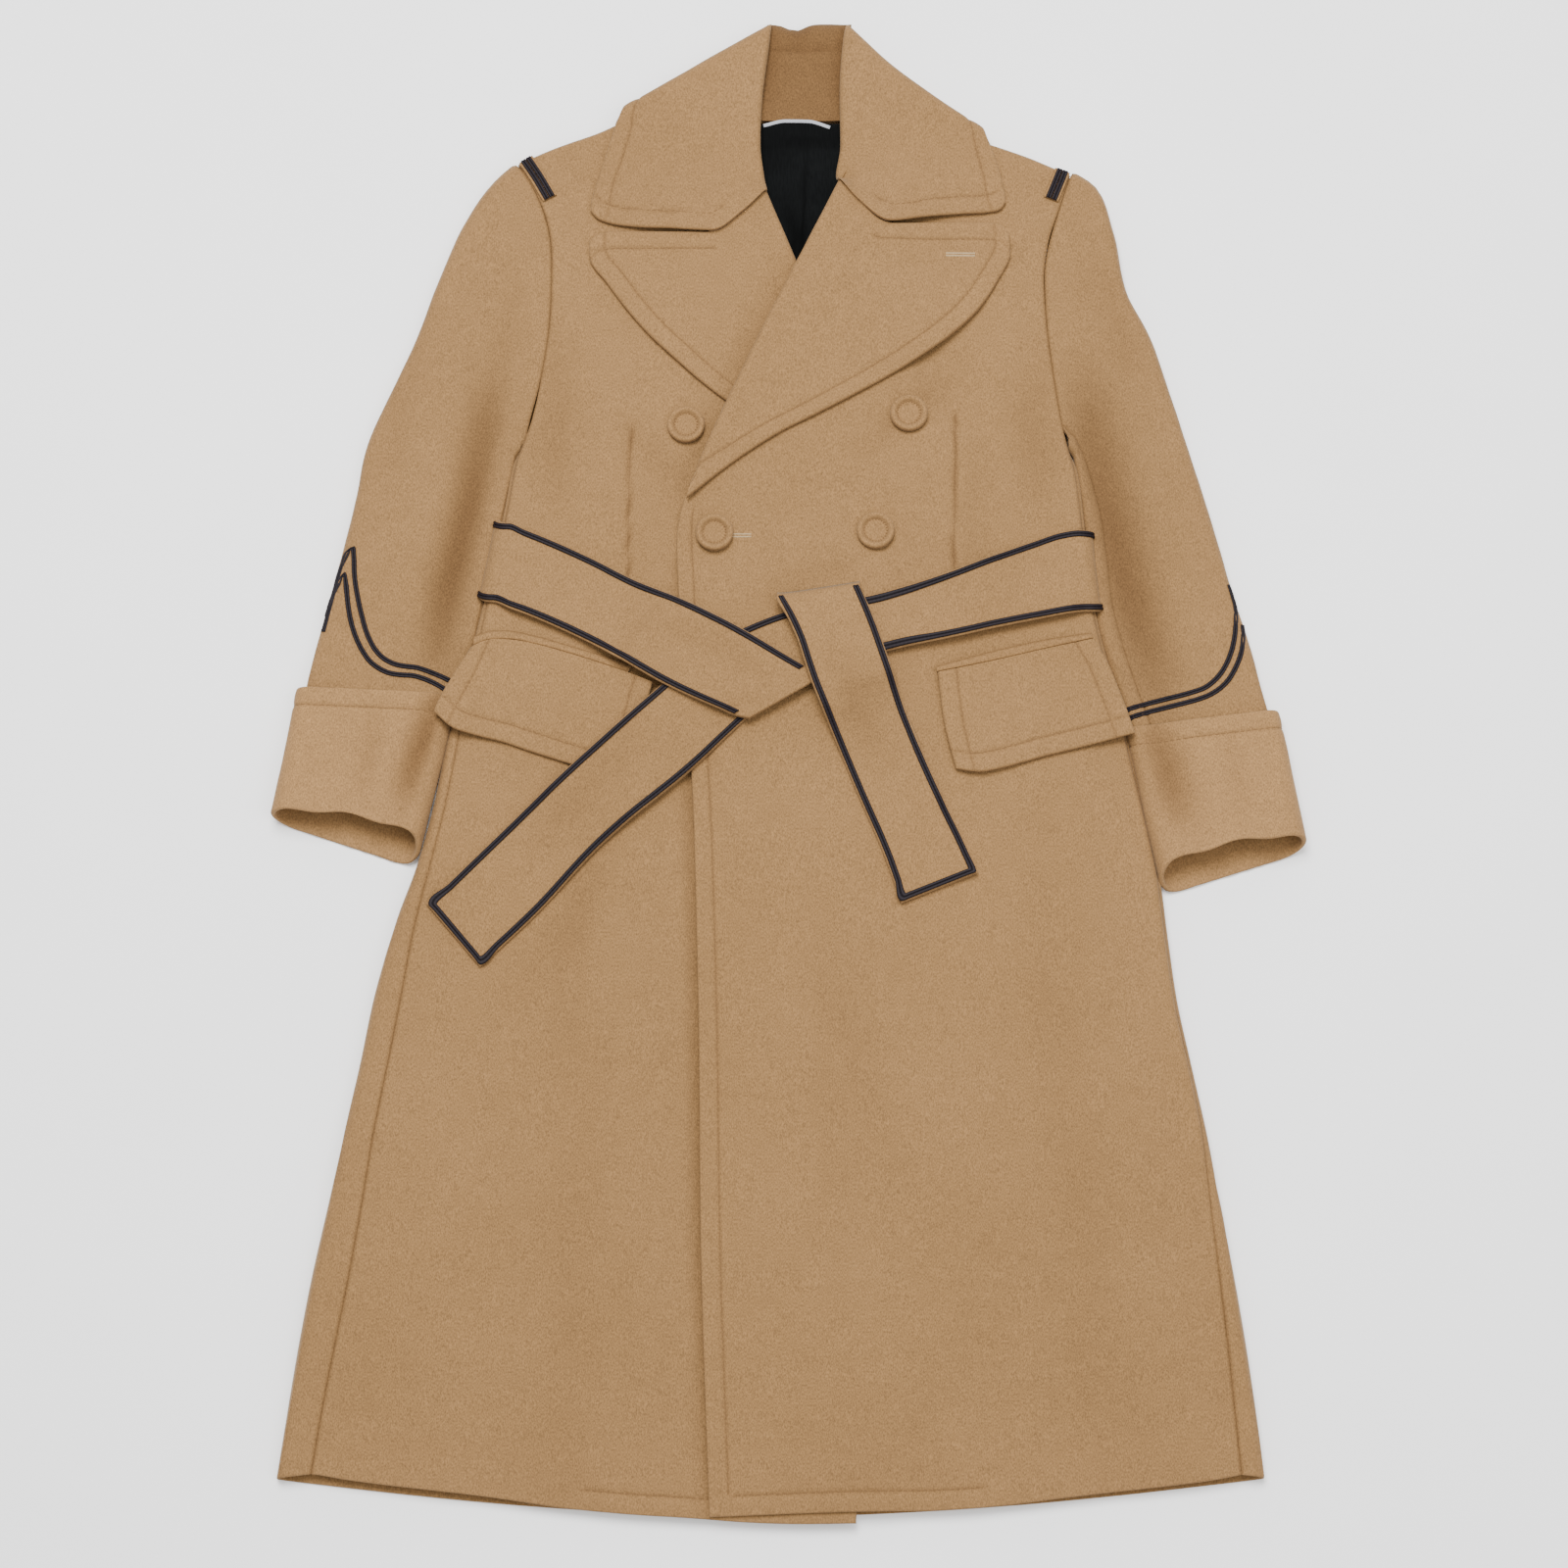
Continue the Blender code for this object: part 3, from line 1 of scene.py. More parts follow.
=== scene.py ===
"""Looks of the belted wool coat: cloth shells on the solids' forms, with stitching, braid and buttons,
and the floor, light and camera. Lengths are millimetres in the photo's layout until a mesh is made."""

import math

import bmesh
import bpy
import numpy as np
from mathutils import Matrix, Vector


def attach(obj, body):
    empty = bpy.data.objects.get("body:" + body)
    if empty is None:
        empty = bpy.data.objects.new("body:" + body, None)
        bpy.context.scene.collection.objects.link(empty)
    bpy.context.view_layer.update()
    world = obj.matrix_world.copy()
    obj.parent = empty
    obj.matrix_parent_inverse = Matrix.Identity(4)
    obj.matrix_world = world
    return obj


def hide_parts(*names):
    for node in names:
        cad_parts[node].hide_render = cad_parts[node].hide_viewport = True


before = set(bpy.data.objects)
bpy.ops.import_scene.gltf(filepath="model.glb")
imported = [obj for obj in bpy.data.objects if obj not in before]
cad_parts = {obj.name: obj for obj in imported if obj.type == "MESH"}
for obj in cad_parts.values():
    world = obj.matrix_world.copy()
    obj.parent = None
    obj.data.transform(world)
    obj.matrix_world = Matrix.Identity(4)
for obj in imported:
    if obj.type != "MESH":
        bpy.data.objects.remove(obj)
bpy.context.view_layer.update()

MM = 0.001
# The part's origin in the layout.
ORIGIN_X = 3.5
ORIGIN_Y = 34.5
ORIGIN = np.array((ORIGIN_X, ORIGIN_Y, 0.0))

CLOTH = 2.8
LAPEL_CLOTH = 5.0
COLLAR_CLOTH = 5.0
STAND_CLOTH = 4.0
CUFF_CLOTH = 4.0
FLAP_CLOTH = 4.5
WELT_CLOTH = 3.0
BELT_CLOTH = 4.0
LINING_CLOTH = 1.5
TAB_CLOTH = 1.5
BRAID_HEIGHT = 1.3
BELT_BRAID_WIDTH = 5.0
BELT_BRAID_INSET = 1.2
BELT_BRAID_GAP = 0.55
SLEEVE_BRAID_WIDTH = 4.2
SLEEVE_BRAID_STEP = 9
STRIP_STEP = 12
BUTTON_RADIUS = 15.5
BUTTON_HEIGHT = 6.5

# Keys 1 and -1 stand for the wearer's right and left, the viewer's left and right.
SEAM_GAP = 0.05
LAY_GAP = 0.6
WRAP_GAP = 1.4
ARMHOLE_GAP = {1: 0.1, -1: 0.3}
# Height field of the pile: size of a cell, share of a cell between pressed points, and extent.
CELL = 2.0
PRESS_SHARE = 0.7
FIELD_X = (-470.0, 470.0)
FIELD_Y = (-650.0, 700.0)

# Body sections: y, left and right side edge, height of the top and underside,
# how far the side seams sit in from the left and right edges.
BODY_COLUMNS = ("y", "left", "right", "top", "floor", "seam_l", "seam_r")
BODY = np.array((
    (-610, -404, 383, 14, 0.0, 28, 20),
    (-545, -396, 375, 15, 0.0, 28, 19),
    (-472, -385, 366, 17, 0.0, 29, 16),
    (-411, -375, 357.5, 19, 0.0, 30, 13),
    (-350, -363, 348, 20, 0.0, 28, 10),
    (-288, -351, 337, 21, 0.0, 25, 4),
    (-226, -338, 325, 21, 0.0, 23, 2),
    (-163, -326, 313, 21, 0.0, 22, 2),
    (-115, -313, 308, 21, 0.0, 17, 2),
    (-59, -294, 301, 21, 0.0, 11, 2),
    (-2, -281, 288.5, 20, 0.0, 10, 2),
    (42, -273, 279, 20, 0.0, 9, 2),
    (79, -264, 271, 20, 4.0, 6, 2),
    (100, -258, 265.5, 20.5, 6.0, 5, 2),
    (120, -253, 260, 20.5, 6.0, 4, 2),
    (138, -249, 256, 21, 6.0, 3, 2),
    (180, -240, 251, 21, 6.0, 2, 2),
    (222, -232, 247.5, 21, 6.0, 2, 2),
    (262, -225, 243, 21, 6.0, 2, 2),
    (293, -220, 239, 21, 2.0, 2, 2),
    (310, -218, 238, 21, 0.0, 2, 2),
    (362, -209, 232, 21.5, 0.0, 2, 2),
    (413, -205, 228, 22, 0.0, 2, 2),
    (452, -206, 231, 22, 0.0, 2, 2),
    (491, -213, 242, 21, 1.0, 2, 2),
    (511, -222, 247, 20, 3.0, 2, 2),
    (531, -232, 252, 19, 5.0, 2, 2),
    (560, -243, 260, 18, 6.0, 2, 2),
    (600, -258, 272, 18, 6.0, 2, 2),
))
# Place across the hem where a side begins, height of the armpit, and of the shoulder's outer end.
SIDE_HEM_X = {1: -366, -1: 356}
ARMPIT_LOW = 262.0
ARMPIT_HIGH = 310.0
SHOULDER_Y = {1: 531.0, -1: 520.0}
# Shoulder seams: half the gap between front and back, where they begin, and their outward direction.
SHOULDER_HALF_GAP = 0.25
SHOULDER_START_X = -60
SHOULDER_SLOPE = 0.36
SHOULDER_RISE = 0.93

# Shoulder seams, with the neck opening between them: x, y.
SHOULDER = np.array((
    (-232, 527), (-193, 545), (-146, 563), (-100, 582), (-62, 640), (12, 700),
    (86, 640), (114, 574), (150, 557), (192, 542), (252, 516),
))
# How far the middle of the back's hem hangs below its ends.
BACK_HEM_DROP = 32
BACK_TOP = np.array((
    (-232, 527), (-193, 545), (-146, 563), (-100, 582), (-62, 575), (-22, 568),
    (51, 568), (86, 573), (114, 574), (150, 557), (192, 542), (252, 516),
))
HEM = np.array((
    (-400, -544), (-340, -555), (-281, -562), (-222, -569), (-166, -577), (-122, -581),
    (-58, -585), (-25, -587.5), (60, -588.5),
))
LEFT_HEM = np.array((
    (-58, -583), (53, -579), (144, -577), (215, -569), (277, -562), (335, -555), (380, -546),
))

# Front edges from the hem to the break, then the roll line up to the gorge: x, y.
RIGHT_FRONT_EDGE = np.array((
    (56, -588), (66, -396), (78, -164), (90, 20), (97, 127), (99, 190), (92, 236),
    (52, 335), (11, 435), (-16, 502),
))
LEFT_FRONT_EDGE = np.array((
    (-58, -583), (-65, -396), (-69, -164), (-76, 20), (-85, 127), (-87, 176), (-86, 222),
    (-77, 241), (-45, 314), (11, 434), (47, 508),
))
RIGHT_FRONT_TOP = np.array((
    (-232, 527), (-193, 545), (-146, 563), (-100, 582), (-62, 574), (-38, 545), (-16, 502),
))
LEFT_FRONT_TOP = np.array((
    (47, 508), (66, 546), (88, 570), (114, 574), (150, 557), (192, 542), (252, 516),
))
FRONT_ROWS = 1.0 - np.array((
    1.0, 0.955, 0.905, 0.855, 0.805, 0.755, 0.705, 0.655, 0.605, 0.555, 0.51, 0.465, 0.42, 0.375,
    0.335, 0.305, 0.275, 0.245, 0.21, 0.17, 0.13, 0.09, 0.055, 0.028, 0.0085, 0.003, 0.0,
))
FRONT_COLUMNS = np.array((0, 0.018, 0.038, 0.06, 0.12, 0.22, 0.34, 0.46, 0.58, 0.7, 0.8, 0.9, 1.0))
BACK_COLUMNS = np.array((
    0, 0.012, 0.024, 0.03, 0.036, 0.043, 0.05, 0.07, 0.11, 0.18, 0.27, 0.36, 0.45,
    0.55, 0.64, 0.73, 0.82, 0.89, 0.93, 0.95, 0.957, 0.964, 0.97, 0.976, 0.988, 1.0,
))

# Lapels: roll line, outer edge and top edge: x, y.
RIGHT_LAPEL_ROLL = np.array(((-16, 501), (11, 435), (52, 335), (89, 243)))
RIGHT_LAPEL_EDGE = np.array((
    (-163, 457), (-164, 448), (-152, 427), (-133, 400), (-108, 371), (-83, 348), (-58, 326),
    (-20, 301), (30, 275), (60, 256), (85, 238),
))
RIGHT_LAPEL_TOP = np.array((
    (-16, 501), (-33, 487), (-64, 465), (-100, 466), (-134, 466), (-156, 463), (-163, 457),
))
LEFT_LAPEL_ROLL = np.array(((47, 507), (11, 434), (-45, 314), (-77, 244)))
LEFT_LAPEL_EDGE = np.array((
    (188, 465), (190, 454), (179, 424), (161, 396), (129, 366), (90, 339), (38, 310), (-14, 282),
    (-40, 264), (-68, 242), (-80, 232),
))
LEFT_LAPEL_TOP = np.array(((47, 507), (88, 471), (130, 473), (175, 474), (188, 465)))
LAPEL_ROWS = np.array((0, 0.05, 0.12, 0.2, 0.29, 0.38, 0.47, 0.56, 0.65, 0.74, 0.83, 0.92, 1.0))
LAPEL_COLUMNS = np.array((0, 0.12, 0.34, 0.56, 0.78, 0.92, 1.0))

# Collar leaves: each row from the roll to the outer edge, then the silhouette fold.
COLLAR_FRONT_END = {
    1: np.array((
        (-15.7, 500.4), (-63.2, 464.9), (-108, 468), (-131, 470), (-146, 473), (-156, 477), (-162, 484),
    )),
    -1: np.array((
        (46.6, 506.9), (87.6, 471.1), (123, 478), (148, 481), (172, 483), (182, 486), (186, 492),
    )),
}
COLLAR_ROWS = {
    1: (((-19, 516), (-160.5, 498)), ((-22, 545), (-151, 531)), ((-20, 590), (-143.5, 556))),
    -1: (((46, 518), (184, 508)), ((50, 545), (179.5, 526)), ((49, 590), (175, 540))),
}
COLLAR_FOLD = {
    1: np.array(((-12, 656), (-61, 626.5), (-136, 581))),
    -1: np.array(((55, 655), (66, 644), (82, 627), (103, 609.5), (145, 578), (169, 561.5))),
}
COLLAR_TURN = {1: ((-0.1, -1.0), (-0.27, -0.96)), -1: ((-0.2, -0.98), (0.2, -0.97))}
COLLAR_BACK = ((16, 648), (16, 553))
COLLAR_COLUMNS = np.array((0, 0.15, 0.35, 0.55, 0.75, 0.88, 0.95, 1.0))
COLLAR_TOP = 25.0
# Collar: degrees of its rounding at the silhouette, steps on to the middle of the back, and rows that
# other pieces lie on.
COLLAR_ROUNDING = (90, 60, 30, 0, -30, -60, -90)
COLLAR_BACK_STEPS = (0.4, 0.75)
COLLAR_PRESSED = 7

# Collar stand: y, left and right side, height in the middle, height at the two sides.
STAND_BOWL = 2.2
STAND = (
    (570.0, -24, 53, 11.0, 13.0), (586, -24, 53, 11.5, 15.0), (606, -22, 53, 12.5, 16.5),
    (624, -20, 54, 14.0, 17.5), (637, -17.5, 54.5, 15.5, 17.5), (647, -15.5, 55.5, 15.5, 17.0),
    (653, -15, 56.5, 13.8, 14.8), (657.5, -14, 57.5, 10.8, 11.4),
)

# Lining in the neck: y, left, right.
LINING = ((424, -40, 62), (460, -52, 78), (500, -58, 90), (540, -52, 84), (567.5, -24, 53))
HANGER = ((-17.5, 565), (-14, 566.5), (-4, 568.6), (11, 569.6), (25, 568.2), (36, 565.2), (39, 563.5))
LINING_GAP = 0.3
HANGER_WIDTH = 3.0
HANGER_CLOTH = 1.5
HANGER_TOP = 13.4

# Sleeves: outer edge x and y, y where the row meets the inner edge, underside, top,
# pull of the armhole's curve.
SLEEVES = {
    1: np.array((
        (-227.5, 530.5, 284, 3.0, 19, 1.0),
        (-245.5, 514.5, 282, 0.5, 19, 0.78),
        (-270, 477, 278, 0.0, 19, 0.55),
        (-289, 430, 272, 0.0, 19, 0.34),
        (-306, 382, 262, 0.0, 18, 0.17),
        (-327, 332, 246, 0.0, 18, 0.06),
        (-346, 283, 225, 0.0, 18, 0.0),
        (-354, 240, 190, 0.0, 18, 0.0),
        (-363, 198, 150, 0.0, 18, 0.0),
        (-370, 168, 133, 0.0, 18, 0.0),
        (-381, 121, 110, 0.5, 18, 0.0),
        (-388, 92, 88, 3.5, 18.5, 0.0),
        (-391.5, 72, 66, 5.2, 19, 0.0),
        (-400, 25, 16, 5.2, 22, 0.0),
        (-404.5, 2, -22, 5.2, 24.5, 0.0),
    )),
    -1: np.array((
        (244.5, 523.5, 284, 3.0, 19, 1.0),
        (263, 510.5, 282, 0.5, 19, 0.78),
        (277, 472, 278, 0.0, 19, 0.55),
        (288, 416, 272, 0.0, 19, 0.34),
        (304, 382, 262, 0.0, 18, 0.17),
        (321, 330, 240, 0.0, 18, 0.06),
        (336, 280, 216, 0.0, 18, 0.0),
        (349, 234, 178, 0.0, 18, 0.0),
        (360, 192, 138, 0.0, 18, 0.0),
        (368, 160, 120, 0.0, 18, 0.0),
        (380, 120, 100, 0.0, 18, 0.0),
        (391, 76, 62, 3.5, 18.5, 0.0),
        (396.5, 54, 38, 5.2, 19, 0.0),
        (406, 4, -12, 5.2, 22, 0.0),
        (410.5, -20, -46, 5.2, 24.5, 0.0),
    )),
}
SLEEVE_INNER_CUFF = {
    1: np.array(((-50, 301.5), (-20, 294.5), (16, 283), (40, 277), (66, 271), (90, 262))),
    -1: np.array(((-76, 308.5), (-48, 303.5), (-12, 294), (14, 288.5), (38, 283.5), (64, 275))),
}
# Inner edges: how far they run in past the body's side, except beside the belt, and the y of the
# armhole's lower end.
SLEEVE_TUCK = 2.2
BESIDE_BELT_Y = 180.0
BESIDE_BELT_OVER = 45.0
ARMHOLE_END_Y = 275
# The front seam's distance from the inner edge, mesh columns of the top sleeve, and the underarm seam
# as a share of the rounding.
SLEEVE_SEAM_IN = {1: 4.0, -1: 17.0}
SLEEVE_COLUMNS_TOP = 9
UNDERARM_SEAM = -0.6
# How far the upper side of a sleeve's end stands back from the middle, at its outer and inner edge.
SLEEVE_END_SLANT = (1.0, 9.0)

# Cuffs, from the top edge to the lip: x and y of the outer edge, x and y of the inner edge,
# then y of the outer edge and x and y of the inner edge of the back layer, and the height of the top.
CUFFS = {
    1: np.array((
        (-398, 77, -266.5, 71, 77, -266.5, 71, 24.5),
        (-403, 48, -272, 42, 48, -272.5, 40, 26),
        (-409, 10, -281, 0, 8, -282, -6, 30),
        (-415.5, -26, -290.5, -46, -32, -297, -71, 34),
    )),
    -1: np.array((
        (403, 58, 277.5, 43, 58, 277.5, 43, 24.5),
        (408, 36, 282.5, 20, 34, 283, 18, 26),
        (415, -6, 290.5, -26, -8, 292, -30, 30),
        (422.5, -47, 301, -71, -57, 304, -94, 34),
    )),
}

# Pocket flaps and the welts above them: x, y.
FLAPS = {
    1: {
        "top": np.array((
            (-255, 109), (-233, 116), (-204, 111.5), (-175, 103.5), (-147, 94.5), (-127, 87.5), (-107, 79),
        )),
        "bottom": np.array((
            (-284, 54), (-274, 44), (-256, 36), (-238, 33), (-217, 26), (-177, 13), (-128, -2),
        )),
        "left": np.array(((-255, 109), (-267, 88), (-277, 71), (-284, 54))),
        "right": np.array(((-107, 79), (-114, 52), (-121, 25), (-128, -2))),
        "welt": np.array(((-253, 118.5), (-233, 124), (-204, 119), (-175, 110.5), (-147, 102), (-124, 94))),
        "welt_low": np.array((
            (-253.5, 110.5), (-233, 116.6), (-204, 112.1), (-175, 104.1), (-147, 95.1), (-127, 88.1),
        )),
    },
    -1: {
        "top": np.array(((125, 87), (171, 97), (216, 108), (253, 116))),
        "bottom": np.array(((139, 7), (147, 4), (159, 5), (214, 19), (260, 30), (284, 36))),
        "left": np.array(((125, 87), (130, 44), (139, 7))),
        "right": np.array(((253, 116), (262, 100), (272, 74), (284, 36))),
        "welt": np.array(((124, 92.5), (171, 105.5), (215, 116), (251, 121.5))),
        "welt_low": np.array(((124.5, 87.6), (171, 97.6), (216, 108.6), (252, 116.6))),
    },
}
FLAP_COLUMNS = 9
FLAP_ROWS = 4

# Belt lengths: upper and lower edge from the side of the coat inward: x, y.
LEFT_RUN_UPPER = np.array((
    (-214, 209), (-203, 204.5), (-152, 181), (-128, 168), (-85, 148), (-35, 122), (10, 95), (32, 82),
))
LEFT_RUN_LOWER = np.array((
    (-224, 140.5), (-215, 137), (-151, 107), (-128, 93), (-99, 76), (-56, 56), (-37, 48.5), (-28, 47),
))
RIGHT_RUN_UPPER = np.array((
    (228, 206), (206, 198.3), (183, 189.5), (132, 169.5), (80, 153), (-4, 136), (-40, 121), (-72, 100),
    (-103, 73), (-175, 8), (-230, -46), (-287, -103),
))
RIGHT_RUN_LOWER = np.array((
    (232, 136), (182, 126), (131, 114), (85, 104), (30, 88), (-6, 70), (-32, 47), (-75, 6),
    (-149, -57), (-199, -112), (-243, -154),
))
OVER_END_LEFT = np.array(((-6, 146), (8, 118), (21, 79), (43, 26), (62, -20), (79, -60), (94, -103)))
OVER_END_RIGHT = np.array(((62, 157), (72, 133), (86, 92), (104, 40), (130, -21), (145, -52), (156, -78)))
WRAP_Y = {1: (153.5, 220.0), -1: (141.5, 209.0)}
WRAP_TOP_Y = {1: (146.5, 213.5), -1: (138.5, 207.8)}
# Turn of the belt round the coat's side: degrees, distance past the rounding.
WRAP_TURNS = ((-90, 9.0), (-90, 0.0), (-60, 0.0), (-25, 0.0), (10, 0.0), (45, 0.0), (70, 0.0), (90, 1.0))
# Belt under the back: rows, height of its top, thickness, and how much its braid stops short of its ends.
BELT_BACK_ROWS = 9
BELT_BACK_TOP = 5.3
BELT_BACK_CLOTH = BELT_CLOTH - 0.4
BELT_BACK_BRAID_SHORT = 1.5
# Lip of the over end, where it comes out of the knot: how far up and how far down.
OVER_LIP_UP = 4.5
OVER_LIP_DOWN = 6.0
# Places across a belt, and rows along each length.
BELT_ACROSS = np.array((0, 0.115, 0.5, 0.885, 1.0))
LEFT_RUN_STEPS = 17
RIGHT_RUN_STEPS = 27
OVER_END_STEPS = 15

# Sleeve braid rows: x, y along the row.
SLEEVE_BRAIDS = {
    "right_sleeve_braid_upper": (1, np.array((
        (-377.5, 124), (-371, 150), (-363.5, 180), (-356, 195), (-352, 166), (-346, 138), (-339, 117),
        (-330, 103.5), (-316, 95.5), (-300, 93.5), (-286, 89), (-273, 83)))),
    "right_sleeve_braid_lower": (1, np.array((
        (-377, 137), (-370, 155), (-361.5, 172), (-358.5, 155), (-355, 134), (-347.5, 113), (-336, 96.5),
        (-320, 88), (-302, 86.5), (-288, 82), (-276, 75)))),
    "left_sleeve_braid_upper": (-1, np.array((
        (366, 164), (370.5, 143), (369.5, 126), (364.5, 104), (356, 88), (344, 77), (328, 71.5),
        (311, 67.5), (294, 63), (277, 57.5)))),
    "left_sleeve_braid_lower": (-1, np.array((
        (376.3, 130), (376, 122), (375, 112), (368.5, 93), (359.5, 79.5), (346, 70), (328, 64.3),
        (312, 60.5), (295, 56), (279, 50.5)))),
}
SHOULDER_TABS = {
    1: np.array(((-217.5, 531.5), (-207.5, 516), (-196.5, 496.5))),
    -1: np.array(((234.4, 521.5), (229.5, 509), (224, 495.5))),
}
# Distance from a sleeve's edge per distance in x, gap under the braid, and reach and gap on other cloth.
SLEEVE_SLANT = 0.965
SLEEVE_BRAID_GAP = 0.9
SLEEVE_BRAID_REACH = 4.0
SLEEVE_BRAID_LAY_GAP = 0.5
# Shoulder tabs: width, reach, rows, gap under the braid, and shares of the width that its two rows take.
TAB_WIDTH = 13.0
TAB_REACH = 8.0
TAB_ROWS = 5
TAB_BRAID_GAP = 0.4
TAB_BRAIDS = (("inner", 0.13, 0.49), ("outer", 0.51, 0.87))
BUTTON_GAP = 0.15
BUTTONS = {
    "button_right_upper": (-81, 298),
    "button_left_upper": (103, 305),
    "button_left_front": (-57, 204),
    "button_left_lower": (75, 205),
}


def cubic_weights(t):
    """Weights of the first value, its slope, the second value and its slope at t from 0 to 1 between them."""
    return 2 * t**3 - 3 * t**2 + 1, t**3 - 2 * t**2 + t, 3 * t**2 - 2 * t**3, t**3 - t**2


def bell(distance, width):
    """Rounded bump: 1 at no distance, falling away over about the width."""
    return np.exp(-((distance / width) ** 2))


def smooth(xs, ys, at):
    """Value at `at` of a smooth curve through a table; ys may have several columns."""
    xs = np.asarray(xs, float)
    ys = np.asarray(ys, float)
    flat = ys.ndim == 1
    if flat:
        ys = ys[:, None]
    at = np.asarray(at, float)
    shape = at.shape
    at = np.clip(at.ravel(), xs[0], xs[-1])
    step = np.diff(xs)[:, None]
    slope = np.diff(ys, axis=0) / step
    tangent = np.empty_like(ys)
    tangent[0] = slope[0]
    tangent[-1] = slope[-1]
    tangent[1:-1] = (slope[:-1] * step[1:] + slope[1:] * step[:-1]) / (step[1:] + step[:-1])
    flip = slope[:-1] * slope[1:] <= 0
    tangent[1:-1][flip] = 0.0
    i = np.clip(np.searchsorted(xs, at, side="right") - 1, 0, len(xs) - 2)
    t = ((at - xs[i]) / step[i, 0])[:, None]
    first, leave, second, arrive = cubic_weights(t)
    h = step[i]
    value = first * ys[i] + leave * h * tangent[i] + second * ys[i + 1] + arrive * h * tangent[i + 1]
    value = value.reshape(shape + (ys.shape[1],))
    if flat:
        value = value[..., 0]
    return value


def places_along(line):
    """Distance of each point of a line from its start, measured along it."""
    return np.concatenate(([0.0], np.cumsum(np.linalg.norm(np.diff(line, axis=0), axis=1))))


def run(points, at):
    """Points at the shares `at` of the length of a smooth line through `points`."""
    points = np.asarray(points, float)
    length = places_along(points)
    return smooth(length / length[-1], points, at)


def picked(at, places, values):
    """Columns of values, each read off by straight lines at new places."""
    return np.stack([np.interp(at, places, column) for column in values.T], axis=-1)


def by_x(table, x):
    """Height y of a line given as x, y rows."""
    return smooth(table[:, 0], table[:, 1], x)


def patch(low, high, start, end, us, vs):
    """Grid filling the space between four lines; rows follow vs, columns us."""
    u = us[None, :, None]
    v = vs[:, None, None]
    low = low[None]
    high = high[None]
    start = start[:, None]
    end = end[:, None]
    corners = (
        (1 - u) * (1 - v) * low[:, :1] + u * (1 - v) * low[:, -1:]
        + (1 - u) * v * high[:, :1] + u * v * high[:, -1:]
    )
    return (1 - v) * low + v * high + (1 - u) * start + u * end - corners


def between(first, second, shares):
    """Grid of points at the given shares of the way from one line to another."""
    return first[:, None] + (second - first)[:, None] * shares[None, :, None]


def body(y):
    """Named values of the body section at y."""
    values = smooth(BODY[:, 0], BODY[:, 1:], y)
    return {name: values[..., k] for k, name in enumerate(BODY_COLUMNS[1:])}


def side(y, hand):
    """Side edge, rounding radius, mid height and seam place (along the rounding) at y."""
    row = body(y)
    radius = (row["top"] - row["floor"]) / 2
    middle = (row["top"] + row["floor"]) / 2
    quarter = radius * math.pi / 2
    edge = row["left"] if hand > 0 else -row["right"]
    inset = row["seam_l"] if hand > 0 else row["seam_r"]
    near = np.clip(inset / radius, 0, 1)
    seam = radius * np.arccos(1 - near) + np.maximum(inset - radius, 0)
    rise = np.clip((y - ARMPIT_LOW) / (ARMPIT_HIGH - ARMPIT_LOW), 0, 1)
    rise = rise * rise * (3 - 2 * rise)
    front_seam = seam + (quarter - seam) * rise
    back_seam = (seam - SEAM_GAP) + (-quarter - seam + SEAM_GAP) * rise
    return edge, radius, middle, quarter, front_seam, back_seam


def shoulder_roll(x, y, radius):
    """Share of the rounding at the shoulder seam: 0 on the seam, 1 on the flat."""
    depth = np.clip((by_x(SHOULDER, x) - y) / radius, 0, 1)
    return np.sqrt(np.clip(1 - (1 - depth) ** 2, 0, 1)), 1 - depth


def front_grid(hand, edge_line, hem_line, top_line):
    """Outer face of a front and its outward direction."""
    start_y = by_x(hem_line, SIDE_HEM_X[hand])
    outer_y = start_y + (SHOULDER_Y[hand] - start_y) * FRONT_ROWS
    edge, radius, _, quarter, seam, _ = side(outer_y, hand)
    start = np.stack((edge + radius - quarter + seam, outer_y), axis=1)
    inner = run(edge_line, FRONT_ROWS)
    inner[:, 0] *= hand
    shares = FRONT_COLUMNS
    low_x = start[0, 0] + (inner[0, 0] - start[0, 0]) * shares
    high_x = start[-1, 0] + (inner[-1, 0] - start[-1, 0]) * shares
    low = np.stack((low_x, by_x(hem_line, low_x * hand)), axis=1)
    high = np.stack((high_x, by_x(top_line, high_x * hand)), axis=1)
    low[0] = start[0]
    low[-1] = inner[0]
    high[0] = start[-1]
    high[-1] = inner[-1]
    plan = patch(low, high, start, inner, shares, FRONT_ROWS)
    return rolled(plan, hand, 1)


def rolled(plan, hand, up):
    """Lay an unrolled plan on the top (up 1) or underside (up -1), rounding the side."""
    y = plan[..., 1]
    edge, radius, middle, quarter, _, _ = side(y, hand)
    arc = plan[..., 0] - edge - radius + quarter
    turn = np.clip(arc / radius, -math.pi / 2, math.pi / 2)
    on_flat = arc >= quarter
    past = np.maximum(-quarter - arc, 0)
    x = np.where(on_flat, plan[..., 0], edge + radius * (1 - np.cos(turn)) + past)
    lift = radius * np.sin(turn)
    normal_x = np.where(on_flat, 0.0, -np.cos(turn))
    normal_z = np.where(on_flat, 1.0, np.sin(turn))
    share, fall = shoulder_roll(x * hand, y, radius)
    z = middle + up * (lift * share + SHOULDER_HALF_GAP * (share < 0.01))
    tilt = np.where(x < SHOULDER_START_X, -SHOULDER_SLOPE, 0.0)
    normal = np.stack((
        normal_x * share + fall * tilt,
        fall * SHOULDER_RISE,
        normal_z * share * up,
    ), axis=-1)
    normal /= np.linalg.norm(normal, axis=-1, keepdims=True)
    normal[..., 0] *= hand
    return np.stack((x * hand, y, z), axis=-1), normal


